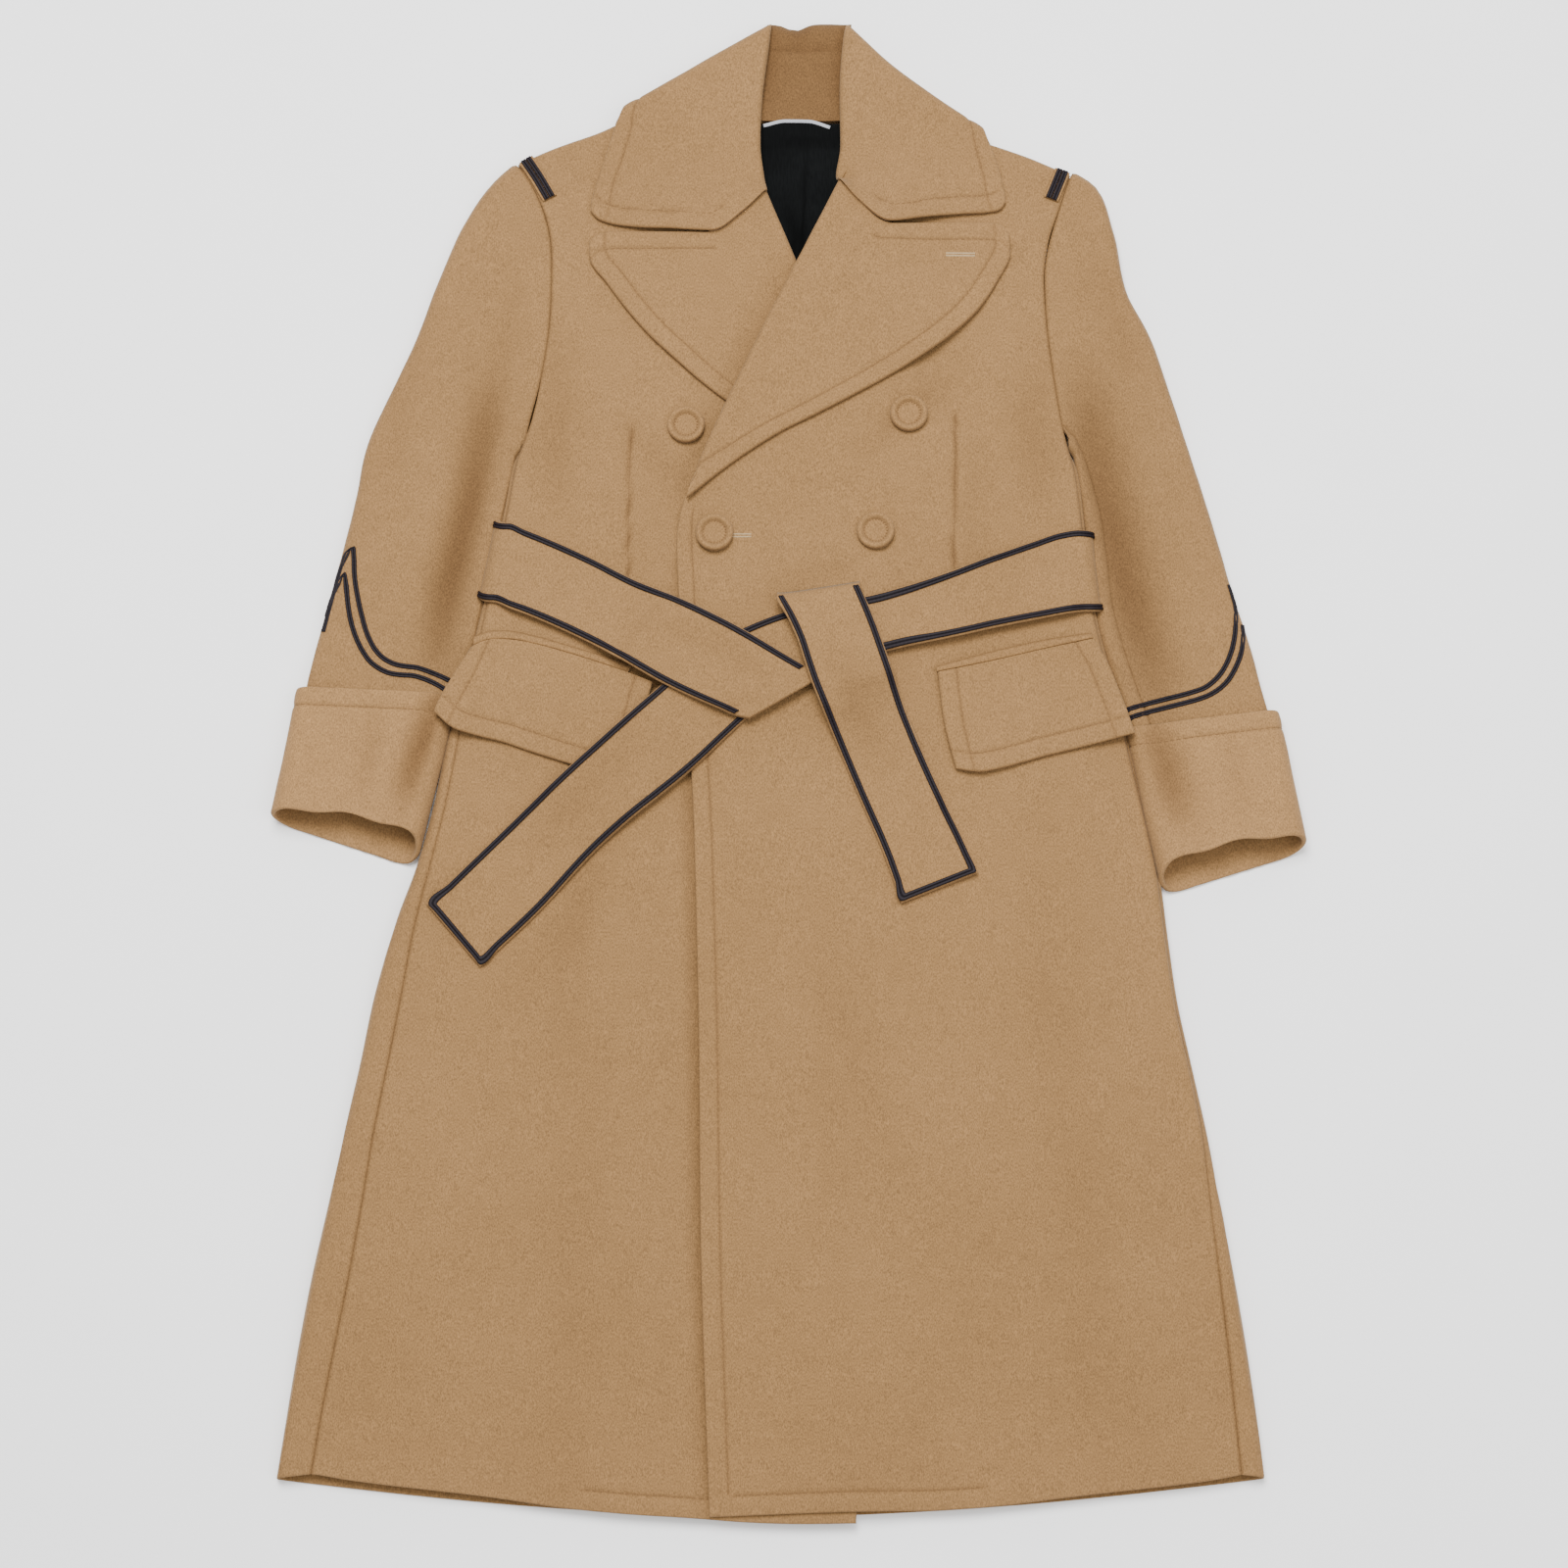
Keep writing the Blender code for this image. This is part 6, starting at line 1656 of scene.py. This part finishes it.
def build_body():
    """Back, fronts and lapels."""
    outer, normal = back_grid()
    slab("back_panel", outer, outer - normal * CLOTH)

    outer, normal = front_grid(1, RIGHT_FRONT_EDGE, HEM, RIGHT_FRONT_TOP)
    slab("right_front", outer, outer - normal * CLOTH)
    press(outer)

    lapel("right_lapel", RIGHT_LAPEL_ROLL, RIGHT_LAPEL_EDGE, RIGHT_LAPEL_TOP)

    outer, normal = front_grid(-1, LEFT_FRONT_EDGE, LEFT_HEM, LEFT_FRONT_TOP)
    raised = np.maximum(outer[..., 2], lay(outer, CLOTH, FRONT_REACH, soften=3))
    outer[..., 2] = np.where(outer[..., 0] < OVERLAP_X, raised, outer[..., 2])
    slab("left_front", outer, outer - normal * CLOTH)
    press(outer)

    lapel("left_lapel", LEFT_LAPEL_ROLL, LEFT_LAPEL_EDGE, LEFT_LAPEL_TOP)


def lapel(name, roll, edge, top):
    """One lapel, laid on the front between its roll line and its edges."""
    low = run(top, LAPEL_COLUMNS)
    high = run(np.array((roll[-1], edge[-1])), LAPEL_COLUMNS)
    plan = patch(low, high, run(roll, LAPEL_ROWS), run(edge, LAPEL_ROWS), LAPEL_COLUMNS, LAPEL_ROWS)
    outer = with_z(plan, lay(plan, LAPEL_CLOTH, LAPEL_REACH))
    slab(name, outer, down(outer, LAPEL_CLOTH))
    press(outer)


def ring(width, radius, middle, place):
    """Inward distance, height and outward direction at a place along a flattened tube's ring."""
    quarter = radius * math.pi / 2
    flat = width - 2 * radius
    total = 2 * flat + 4 * quarter
    place = np.where(place > total - quarter, place - total, place)
    turn = place / radius
    top = (place > quarter) & (place <= quarter + flat)
    far = (place > quarter + flat) & (place <= 3 * quarter + flat)
    angle = (place - quarter - flat) / radius
    under = place > 3 * quarter + flat
    stretches = (top, far, under)
    inward = np.select(stretches, (
        radius + place - quarter,
        width - radius + radius * np.sin(angle),
        width - radius - (place - 3 * quarter - flat),
    ), radius * (1 - np.cos(turn)))
    push = np.select(stretches, (0.0, np.sin(angle), 0.0), -np.cos(turn))
    rise = np.select(stretches, (1.0, np.cos(angle), -1.0), np.sin(turn))
    return inward, middle + radius * rise, push, rise


def sleeve_rows(hand):
    """Outer and inner end, underside and top of each sleeve row."""
    table = SLEEVES[hand]
    outer = table[:, :2].copy()
    outer[:, 0] *= hand
    inner_y = table[:, 2]
    edge, radius, _, _, seam, _ = side(inner_y, hand)
    clear = -SLEEVE_TUCK + SLEEVE_TUCK * bell(inner_y - BESIDE_BELT_Y, BESIDE_BELT_OVER)
    at_armhole = inner_y > ARMHOLE_END_Y
    inner_x = edge + at_armhole * radius * (1 - np.cos(seam / radius)) - clear
    cuff = SLEEVE_INNER_CUFF[hand]
    inner_x = np.where(inner_y <= cuff[-1, 0], -by_x(cuff, inner_y), inner_x)
    inner = np.stack((inner_x, inner_y), axis=1)
    return outer, inner, table[:, 3], table[:, 4], table[:, 5]


def sleeve_part(hand, places_of):
    """Outer face of part of a sleeve; places_of gives the ring places of a row."""
    outer, inner, floor, top, pull = sleeve_rows(hand)
    points = []
    normals = []
    arm_y = np.linspace(outer[0, 1], inner[0, 1], 40)
    edge, radius, _, _, seam, _ = side(arm_y, hand)
    arm_x = edge + radius * (1 - np.cos(seam / radius)) - ARMHOLE_GAP[hand]
    arm_share = (arm_y - outer[0, 1]) / (inner[0, 1] - outer[0, 1])
    chord_x = outer[0, 0] + (inner[0, 0] - outer[0, 0]) * arm_share
    bow = arm_x - chord_x
    bow[0] = 0.0
    bow[-1] = min(bow[-1], 0.0)
    for k in range(len(outer)):
        width = np.linalg.norm(inner[k] - outer[k])
        radius_k = (top[k] - floor[k]) / 2
        middle = (top[k] + floor[k]) / 2
        place = places_of(width, radius_k)
        inward, height, push, rise = ring(width, radius_k, middle, place)
        share = inward / width
        across = (inner[k] - outer[k]) / width
        x = outer[k, 0] + (inner[k, 0] - outer[k, 0]) * share
        x = x + pull[k] * np.interp(share, arm_share, bow)
        y = outer[k, 1] + (inner[k, 1] - outer[k, 1]) * share
        if k == len(outer) - 1:
            y = y + (height - middle) / radius_k * np.interp(share, (0, 1), SLEEVE_END_SLANT)
        points.append(np.stack((x * hand, y, height), axis=1))
        normals.append(np.stack((push * across[0] * hand, push * across[1], rise), axis=1))
    return np.array(points), np.array(normals)


def build_sleeve(hand):
    """Top sleeve and under sleeve of one side."""
    name = "right" if hand > 0 else "left"
    seam_in = SLEEVE_SEAM_IN[hand]

    def limits(width, radius):
        """Places of the underarm seam and the front seam along a ring, and the ring's length."""
        quarter = radius * math.pi / 2
        flat = width - 2 * radius
        if seam_in > radius:
            seam = quarter + flat + radius - seam_in
        else:
            seam = quarter + flat + radius * math.acos(seam_in / radius) * 0.9
        under = UNDERARM_SEAM * quarter
        return under, seam, 2 * flat + 4 * quarter

    def top_places(width, radius):
        """Ring places of the top sleeve, from the underarm seam over the top to the front seam."""
        under, seam, _ = limits(width, radius)
        quarter = radius * math.pi / 2
        bends = np.linspace(under, quarter, 5)
        flat = np.linspace(quarter, seam, SLEEVE_COLUMNS_TOP - 3)
        return np.concatenate((bends, flat[1:]))

    def under_places(width, radius):
        """Ring places of the under sleeve, from the front seam below to the underarm seam."""
        under, seam, total = limits(width, radius)
        quarter = radius * math.pi / 2
        flat_end = total - quarter
        far_end = 3 * quarter + width - 2 * radius
        bends = np.linspace(seam + SEAM_GAP, far_end, 6)
        flat = np.linspace(far_end, flat_end, 5)
        last = np.linspace(flat_end, total + under - SEAM_GAP, 3)
        return np.concatenate((bends, flat[1:], last[1:]))

    outer, normal = sleeve_part(hand, top_places)
    slab(name + "_top_sleeve", outer, outer - normal * CLOTH)
    press(outer)
    under, under_normal = sleeve_part(hand, under_places)
    slab(name + "_under_sleeve", under, under - under_normal * CLOTH)
    press(under[:, :6])


def build_cuff(hand):
    """Turned-back cuff: a closed ring in each row of its table."""
    name = "right_cuff" if hand > 0 else "left_cuff"
    points = []
    normals = []
    for row in CUFFS[hand]:
        outer_x, outer_y, inner_x, inner_y, back_outer_y, back_inner_x, back_inner_y, top = row
        radius = top / 2
        front = np.array((outer_x, outer_y))
        back = np.array((outer_x, back_outer_y))
        front_in = np.array((inner_x, inner_y))
        back_in = np.array((back_inner_x, back_inner_y))
        width = np.linalg.norm(front_in - front)
        quarter = radius * math.pi / 2
        flat = width - 2 * radius
        place = np.concatenate((
            np.linspace(-quarter, quarter, 7),
            np.linspace(quarter, quarter + flat, 6)[1:],
            np.linspace(quarter + flat, 3 * quarter + flat, 7)[1:],
            np.linspace(3 * quarter + flat, 3 * quarter + 2 * flat, 6)[1:-1],
        ))
        inward, height, push, rise = ring(width, radius, radius, place)
        share = (inward / width)[:, None]
        level = (height / top)[:, None]
        begin = back + (front - back) * level
        finish_at = back_in + (front_in - back_in) * level
        plan = begin + (finish_at - begin) * share
        across = (front_in - front) / width
        points.append(np.concatenate((plan, height[:, None]), axis=1))
        normals.append(np.stack((push * across[0], push * across[1], rise), axis=1))
    outer = np.array(points)
    inner = outer - np.array(normals) * CUFF_CLOTH
    slab(name, outer, inner, closed=True)
    press(outer)


def build_neck():
    """Collar stand, lining and hanger loop."""
    rows = np.array(STAND)
    shares = np.linspace(0, 1, 7)
    bowl = np.abs(2 * shares - 1) ** STAND_BOWL
    outer = np.empty((len(rows), len(shares), 3))
    outer[..., 0] = rows[:, 1:2] + (rows[:, 2:3] - rows[:, 1:2]) * shares[None]
    outer[..., 1] = rows[:, :1]
    outer[..., 2] = rows[:, 3:4] + (rows[:, 4:5] - rows[:, 3:4]) * bowl[None]
    turn = np.gradient(outer[:, 0, 1]), np.gradient(outer[:, len(shares) // 2, 2])
    normal = np.zeros_like(outer)
    size = np.hypot(turn[0], turn[1])
    normal[..., 1] = (-turn[1] / size)[:, None]
    normal[..., 2] = (turn[0] / size)[:, None]
    slab("collar_stand", outer, outer - normal * STAND_CLOTH)
    press(outer)

    rows = np.array(LINING)
    y = np.linspace(rows[0, 0], rows[-1, 0], 9)
    left = smooth(rows[:, 0], rows[:, 1], y)
    right = smooth(rows[:, 0], rows[:, 2], y)
    shares = np.linspace(0, 1, 6)
    plan = np.empty((len(y), len(shares), 3))
    plan[..., 0] = left[:, None] + (right - left)[:, None] * shares[None]
    plan[..., 1] = y[:, None]
    plan[..., 2] = (body(y)["floor"] + CLOTH + LAY_GAP + LINING_GAP + LINING_CLOTH)[:, None]
    slab("back_lining", plan, down(plan, LINING_CLOTH))

    strip("hanger_loop", np.array(HANGER), HANGER_WIDTH, HANGER_CLOTH, height=HANGER_TOP)


def band(line, width, count):
    """Plan of a narrow band: points on both sides of a line."""
    middle = run(line, np.linspace(0, 1, count))
    course = np.gradient(middle, axis=0)
    course /= np.linalg.norm(course, axis=1, keepdims=True)
    across = np.stack((-course[:, 1], course[:, 0]), axis=1) * width / 2
    return np.stack((middle - across, middle + across), axis=1)


def strip(name, line, width, thickness, height=None, reach=14.0, count=None):
    """Narrow band along a line, laid on the pile or at a given height of its top."""
    length = np.linalg.norm(np.diff(line, axis=0), axis=1).sum()
    plan = band(line, width, count or max(4, int(length / STRIP_STEP)))
    z = lay(plan, thickness, reach) if height is None else np.full(plan.shape[:2], height)
    outer = with_z(plan, z)
    slab(name, outer, down(outer, thickness))
    return outer


def build_collar():
    """Both leaves of the collar, turned over at the silhouette and joined behind the neck."""
    rows = []
    inner_rows = []
    for hand in (1, -1):
        shares = COLLAR_COLUMNS
        flat_rows = [run(COLLAR_FRONT_END[hand], shares)]
        for roll, edge in COLLAR_ROWS[hand]:
            flat_rows.append(run(np.array((roll, edge)), shares))
        flat = np.array(flat_rows)
        fold = run(COLLAR_FOLD[hand], shares)
        course = (fold[-1] - fold[0]) / np.linalg.norm(fold[-1] - fold[0])
        inward = np.array((-course[1], course[0])) * hand
        first, last = (np.array(turn) for turn in COLLAR_TURN[hand])
        turned = first + (last - first) * shares[:, None]
        z = np.maximum(lay(with_z(flat, 0.0), COLLAR_CLOTH, COLLAR_REACH), COLLAR_TOP)
        radius = z[-1] / 2
        side_rows = [with_z(flat, z)]
        side_inner = [down(side_rows[0], COLLAR_CLOTH)]
        for turn in np.radians(COLLAR_ROUNDING):
            reach = (radius * (1 - math.cos(turn)))[:, None]
            plan = fold + turned * reach
            point = np.concatenate((plan, (radius + radius * math.sin(turn))[:, None]), axis=1)
            push = np.concatenate((-inward * math.cos(turn), (math.sin(turn),)))
            side_rows.append(point[None])
            side_inner.append((point - push * COLLAR_CLOTH)[None])
        grid = np.concatenate(side_rows)
        inner = np.concatenate(side_inner)
        back_row = with_z(run(np.array(COLLAR_BACK), shares), 0.0)
        last = grid[-1]
        extra = np.stack([last + (back_row - last) * share for share in COLLAR_BACK_STEPS])
        rows.append(np.concatenate((grid, extra)))
        inner_rows.append(np.concatenate((inner, down(extra, -COLLAR_CLOTH))))
    back_inner = down(back_row, -COLLAR_CLOTH)
    outer = np.concatenate((rows[0], back_row[None], rows[1][::-1]))
    inner = np.concatenate((inner_rows[0], back_inner[None], inner_rows[1][::-1]))
    slab("collar", outer, inner)
    for leaf in rows:
        press(leaf[:COLLAR_PRESSED])


def build_pockets():
    """Flaps, each with the welt above it."""
    for hand, name in ((1, "right"), (-1, "left")):
        lines = FLAPS[hand]
        shares = np.linspace(0, 1, FLAP_COLUMNS)
        welt = np.stack((run(lines["welt_low"], shares), run(lines["welt"], shares)))
        outer = with_z(welt, lay(with_z(welt, 0.0), WELT_CLOTH, WELT_REACH))
        slab(name + "_welt", outer, down(outer, WELT_CLOTH))
        vs = np.linspace(0, 1, FLAP_ROWS + 1)
        plan = patch(run(lines["top"], shares), run(lines["bottom"], shares), run(lines["left"], vs),
                     run(lines["right"], vs), shares, vs)
        flap = with_z(plan, lay(plan, FLAP_CLOTH, FLAP_REACH))
        slab(name + "_flap", flap, down(flap, FLAP_CLOTH))
        press(outer)
        press(flap)


def wrap_rows(hand, first_across):
    """Belt rows from under the coat round its side, ending where the flat run begins."""
    low, high = WRAP_Y[hand]
    y = low + (high - low) * first_across
    low, high = WRAP_TOP_Y[hand]
    top_y = low + (high - low) * first_across
    edge, radius, middle, _, _, _ = side(y, hand)
    rows = []
    inner = []
    for angle, beyond in WRAP_TURNS:
        turn = math.radians(angle)
        push = np.array((-math.cos(turn), 0.0, math.sin(turn)))
        base_x = edge + radius * (1 - math.cos(turn)) + beyond
        level = y + (top_y - y) * max(0.0, math.sin(turn))
        base = np.stack((base_x, level, middle + radius * math.sin(turn)), axis=1)
        inner_point = base + push * WRAP_GAP
        outer_point = base + push * (WRAP_GAP + BELT_CLOTH)
        outer_point[:, 0] *= hand
        inner_point[:, 0] *= hand
        rows.append(outer_point)
        inner.append(inner_point)
    return np.array(rows), np.array(inner)


def belt_run(name, hand, upper, lower, steps, reach):
    """Length of belt from under the coat, round its side and across the front."""
    shares = np.linspace(0, 1, steps)
    plan = between(run(lower, shares), run(upper, shares), BELT_ACROSS)
    outer = with_z(plan, lay(plan, BELT_CLOTH, reach))
    wrap, wrap_inner = wrap_rows(hand, BELT_ACROSS)
    full = np.concatenate((wrap, outer))
    inner = np.concatenate((wrap_inner, down(outer, BELT_CLOTH)))
    slab(name, full, inner)
    press(outer)
    return full


def belt_normals(grid):
    """Direction across each point of a belt grid."""
    along = np.gradient(grid, axis=0)
    across = np.gradient(grid, axis=1)
    normal = np.cross(across, along)
    normal /= np.linalg.norm(normal, axis=-1, keepdims=True)
    return normal


def braid_on(name, grid, lines):
    """Raised braid on a belt grid; lines are the outer and inner places (column, row)."""
    normal = belt_normals(grid)
    if normal[len(grid) // 2, 2, 2] < 0:
        normal = -normal
    under = []
    over = []
    for column, row in lines:
        point = surface(grid, column, row)
        push = surface(normal, column, row)
        push /= np.linalg.norm(push, axis=-1, keepdims=True)
        under.append(point + push * BELT_BRAID_GAP)
        over.append(point + push * (BELT_BRAID_GAP + BRAID_HEIGHT))
    outer = np.stack(over, axis=1)
    slab(name, outer, np.stack(under, axis=1))
    return outer


def side_lines(grid, low_side, first_row, last_row):
    """Column and row places of a braid along one side of a belt."""
    rows = np.arange(first_row, last_row + 1, dtype=float)
    rows[-1] = min(rows[-1], len(grid) - 1.0)
    span = grid[:, 1] - grid[:, 0] if low_side else grid[:, -1] - grid[:, -2]
    width = np.linalg.norm(span, axis=1)[np.clip(rows.astype(int), 0, len(grid) - 1)]
    near = BELT_BRAID_INSET / width
    far = (BELT_BRAID_INSET + BELT_BRAID_WIDTH) / width
    if low_side:
        return (near, rows), (far, rows)
    last = grid.shape[1] - 1.0
    return (last - near, rows), (last - far, rows)


def end_lines(grid, first_row):
    """Places of a braid down one side, across the end and back up the other side."""
    last = len(grid) - 1.0
    step = np.linalg.norm(grid[-1, 2] - grid[-2, 2])
    near_row = last - BELT_BRAID_INSET / step
    far_row = last - (BELT_BRAID_INSET + BELT_BRAID_WIDTH) / step
    (near_a, rows_a), (far_a, _) = side_lines(grid, True, first_row, int(last) - 1)
    (near_b, rows_b), (far_b, _) = side_lines(grid, False, first_row, int(last) - 1)
    end_across = np.array((1.0, 2.0, 3.0))
    lines = []
    for row, a, b in ((near_row, near_a, near_b), (far_row, far_a, far_b)):
        columns = np.concatenate((a, a[-1:], end_across, b[-1:], b[::-1]))
        lines.append((columns, np.concatenate((rows_a, np.full(len(end_across) + 2, row), rows_b[::-1]))))
    return lines


def build_belt():
    """The belt's length under the back, the two runs round the sides, and the end that lies over them."""
    share = np.linspace(0, 1, BELT_BACK_ROWS)[:, None]
    ends = []
    for hand in (1, -1):
        low, high = WRAP_Y[hand]
        y = low + (high - low) * np.linspace(0, 1, 3)
        edge, radius, _, _, _, _ = side(y, hand)
        ends.append((hand * (edge + radius + WRAP_TURNS[0][1] + 1.0), y))
    plan = np.empty((BELT_BACK_ROWS, 3, 3))
    plan[..., 0] = ends[0][0] + (ends[1][0] - ends[0][0]) * share
    plan[..., 1] = ends[0][1] + (ends[1][1] - ends[0][1]) * share
    plan[..., 2] = BELT_BACK_TOP
    slab("belt_back", plan, down(plan, BELT_BACK_CLOTH))
    for label, at, inward in (("lower", 0, 1), ("upper", 2, -1)):
        line = plan[:, at].copy()
        line[0, 0] += BELT_BACK_BRAID_SHORT
        line[-1, 0] -= BELT_BACK_BRAID_SHORT
        line[:, 2] = BRAID_HEIGHT
        near = line.copy()
        near[:, 1] += inward * BELT_BRAID_INSET
        far = line.copy()
        far[:, 1] += inward * (BELT_BRAID_INSET + BELT_BRAID_WIDTH)
        top = np.stack((near, far), axis=1)
        slab("belt_back_braid_" + label, top, down(top, BRAID_HEIGHT))

    grid = belt_run("belt_right_run", -1, RIGHT_RUN_UPPER, RIGHT_RUN_LOWER,
                    RIGHT_RUN_STEPS, RIGHT_RUN_REACH)
    press(braid_on("belt_right_braid", grid, end_lines(grid, 2))[2:-2])
    grid = belt_run("belt_left_run", 1, LEFT_RUN_UPPER, LEFT_RUN_LOWER, LEFT_RUN_STEPS, LEFT_RUN_REACH)
    press(braid_on("belt_left_braid_lower", grid, side_lines(grid, True, 2, len(grid) - 2)))
    press(braid_on("belt_left_braid_upper", grid, side_lines(grid, False, 2, len(grid) - 2)))

    shares = np.linspace(0, 1, OVER_END_STEPS)
    plan = between(run(OVER_END_LEFT, shares), run(OVER_END_RIGHT, shares), BELT_ACROSS)
    outer = with_z(plan, lay(plan, BELT_CLOTH, OVER_END_REACH))
    lip = outer[:1].copy()
    lip[..., 1] += OVER_LIP_UP
    lip[..., 2] -= OVER_LIP_DOWN
    outer = np.concatenate((lip, outer))
    slab("belt_over_end", outer, down(outer, BELT_CLOTH))
    press(outer)
    braid_on("belt_over_braid", outer, end_lines(outer, 1))


def sleeve_height(hand, plan):
    """Top of a sleeve at plan points, following its rounded outer edge."""
    table = SLEEVES[hand]
    y = plan[..., 1]
    order = np.argsort(table[:, 1])
    edge = np.interp(y, table[order, 1], table[order, 0] * hand)
    top = np.interp(y, table[order, 1], table[order, 4])
    floor = np.interp(y, table[order, 1], table[order, 3])
    radius = (top - floor) / 2
    depth = np.clip((plan[..., 0] * hand - edge) * SLEEVE_SLANT / radius, 0.02, 1)
    return (top + floor) / 2 + radius * np.sqrt(1 - (1 - depth) ** 2)


def build_trim():
    """Sleeve braids, shoulder tabs with their braids, and buttons."""
    for name, (hand, line) in SLEEVE_BRAIDS.items():
        length = np.linalg.norm(np.diff(line, axis=0), axis=1).sum()
        plan = band(line, SLEEVE_BRAID_WIDTH, max(8, int(length / SLEEVE_BRAID_STEP)))
        z = sleeve_height(hand, plan) + BRAID_HEIGHT + SLEEVE_BRAID_GAP
        laid = lay(plan, BRAID_HEIGHT, SLEEVE_BRAID_REACH, soften=1, gap=SLEEVE_BRAID_LAY_GAP)
        z = np.maximum(z, laid)
        outer = with_z(plan, z)
        slab(name, outer, down(outer, BRAID_HEIGHT))
    for hand, name in ((1, "right"), (-1, "left")):
        tab = strip(name + "_shoulder_tab", SHOULDER_TABS[hand], TAB_WIDTH, TAB_CLOTH,
                    reach=TAB_REACH, count=TAB_ROWS)
        press(tab)
        for label, low, high in TAB_BRAIDS:
            row = between(tab[:, 0], tab[:, 1], np.array((low, high)))
            row[..., 2] += TAB_BRAID_GAP + BRAID_HEIGHT
            slab(name + "_shoulder_braid_" + label, row, down(row, BRAID_HEIGHT))
    field = spread(CELL)
    for name, (x, y) in BUTTONS.items():
        angle = np.linspace(0, 2 * math.pi, 24)[None]
        reach = BUTTON_RADIUS * np.array((0.0, 0.5, 1.0))[:, None]
        row, column = cell_of(x + reach * np.cos(angle), y + reach * np.sin(angle))
        button(name, x, y, field[row, column].max() + BUTTON_GAP)


build_body()
for hand in (1, -1):
    build_sleeve(hand)
    build_cuff(hand)
build_neck()
build_collar()
build_pockets()
build_belt()
build_trim()

for host, line in DARTS:
    seam_row(host + "_dart", host, (line,), DART_PITCH, DART_THREAD, "thread")
for name, (host, lines, thread) in BUTTONHOLES.items():
    seam_row(name, host, lines, BUTTONHOLE_PITCH, thread, "buttonhole", True)

for name, groups in stitch_places.items():
    made[name + "_stitches"] = stitches(name + "_stitches", groups)

# Studio, in metres: half size of the floor, lamps (place, size, power), sky, and the camera's lens,
# distance and lean off the vertical.
FLOOR_HALF = 6
LAMPS = {
    "key": ((-0.3, 1.0, 2.9), 1.6, 165.0),
    "fill": ((1.2, -0.6, 3.0), 2.4, 50.0),
}
SKY_STRENGTH = 0.86
CAMERA_LENS = 73.125
CAMERA_SENSOR = 36.0
CAMERA_DISTANCE = 2.6
CAMERA_LEAN = 11


def floor_piece():
    """Plain pale floor under the part."""
    mesh = bpy.data.meshes.new("floor")
    corners = [(x * FLOOR_HALF, y * FLOOR_HALF, 0) for x, y in ((-1, -1), (1, -1), (1, 1), (-1, 1))]
    mesh.from_pydata(corners, [], [(0, 1, 2, 3)])
    mesh.materials.append(LOOKS["floor"])
    piece = bpy.data.objects.new("floor", mesh)
    bpy.context.scene.collection.objects.link(piece)


def lamp(name, place, size, power):
    """Round area lamp that points at the part's origin."""
    data = bpy.data.lights.new(name, "AREA")
    data.shape = "DISK"
    data.size = size
    data.energy = power
    made_lamp = bpy.data.objects.new(name, data)
    bpy.context.scene.collection.objects.link(made_lamp)
    made_lamp.location = place
    made_lamp.rotation_euler = Vector(-np.array(place)).to_track_quat("-Z", "Y").to_euler()


def studio():
    """Floor, lamps, sky, and a camera at the photo's viewing angle."""
    floor_piece()
    for name, (place, size, power) in LAMPS.items():
        lamp(name, place, size, power)
    world = bpy.data.worlds.new("studio")
    world.use_nodes = True
    sky = world.node_tree.nodes["Background"]
    sky.inputs["Color"].default_value = (1.0, 1.0, 1.0, 1.0)
    sky.inputs["Strength"].default_value = SKY_STRENGTH
    bpy.context.scene.world = world
    data = bpy.data.cameras.new("camera")
    data.lens = CAMERA_LENS
    data.sensor_width = CAMERA_SENSOR
    camera = bpy.data.objects.new("camera", data)
    bpy.context.scene.collection.objects.link(camera)
    lean = math.radians(CAMERA_LEAN)
    back = CAMERA_DISTANCE * math.sin(lean)
    camera.location = (-ORIGIN_X * MM, -ORIGIN_Y * MM - back, CAMERA_DISTANCE * math.cos(lean))
    camera.rotation_euler = (lean, 0.0, 0.0)
    bpy.context.scene.camera = camera


studio()
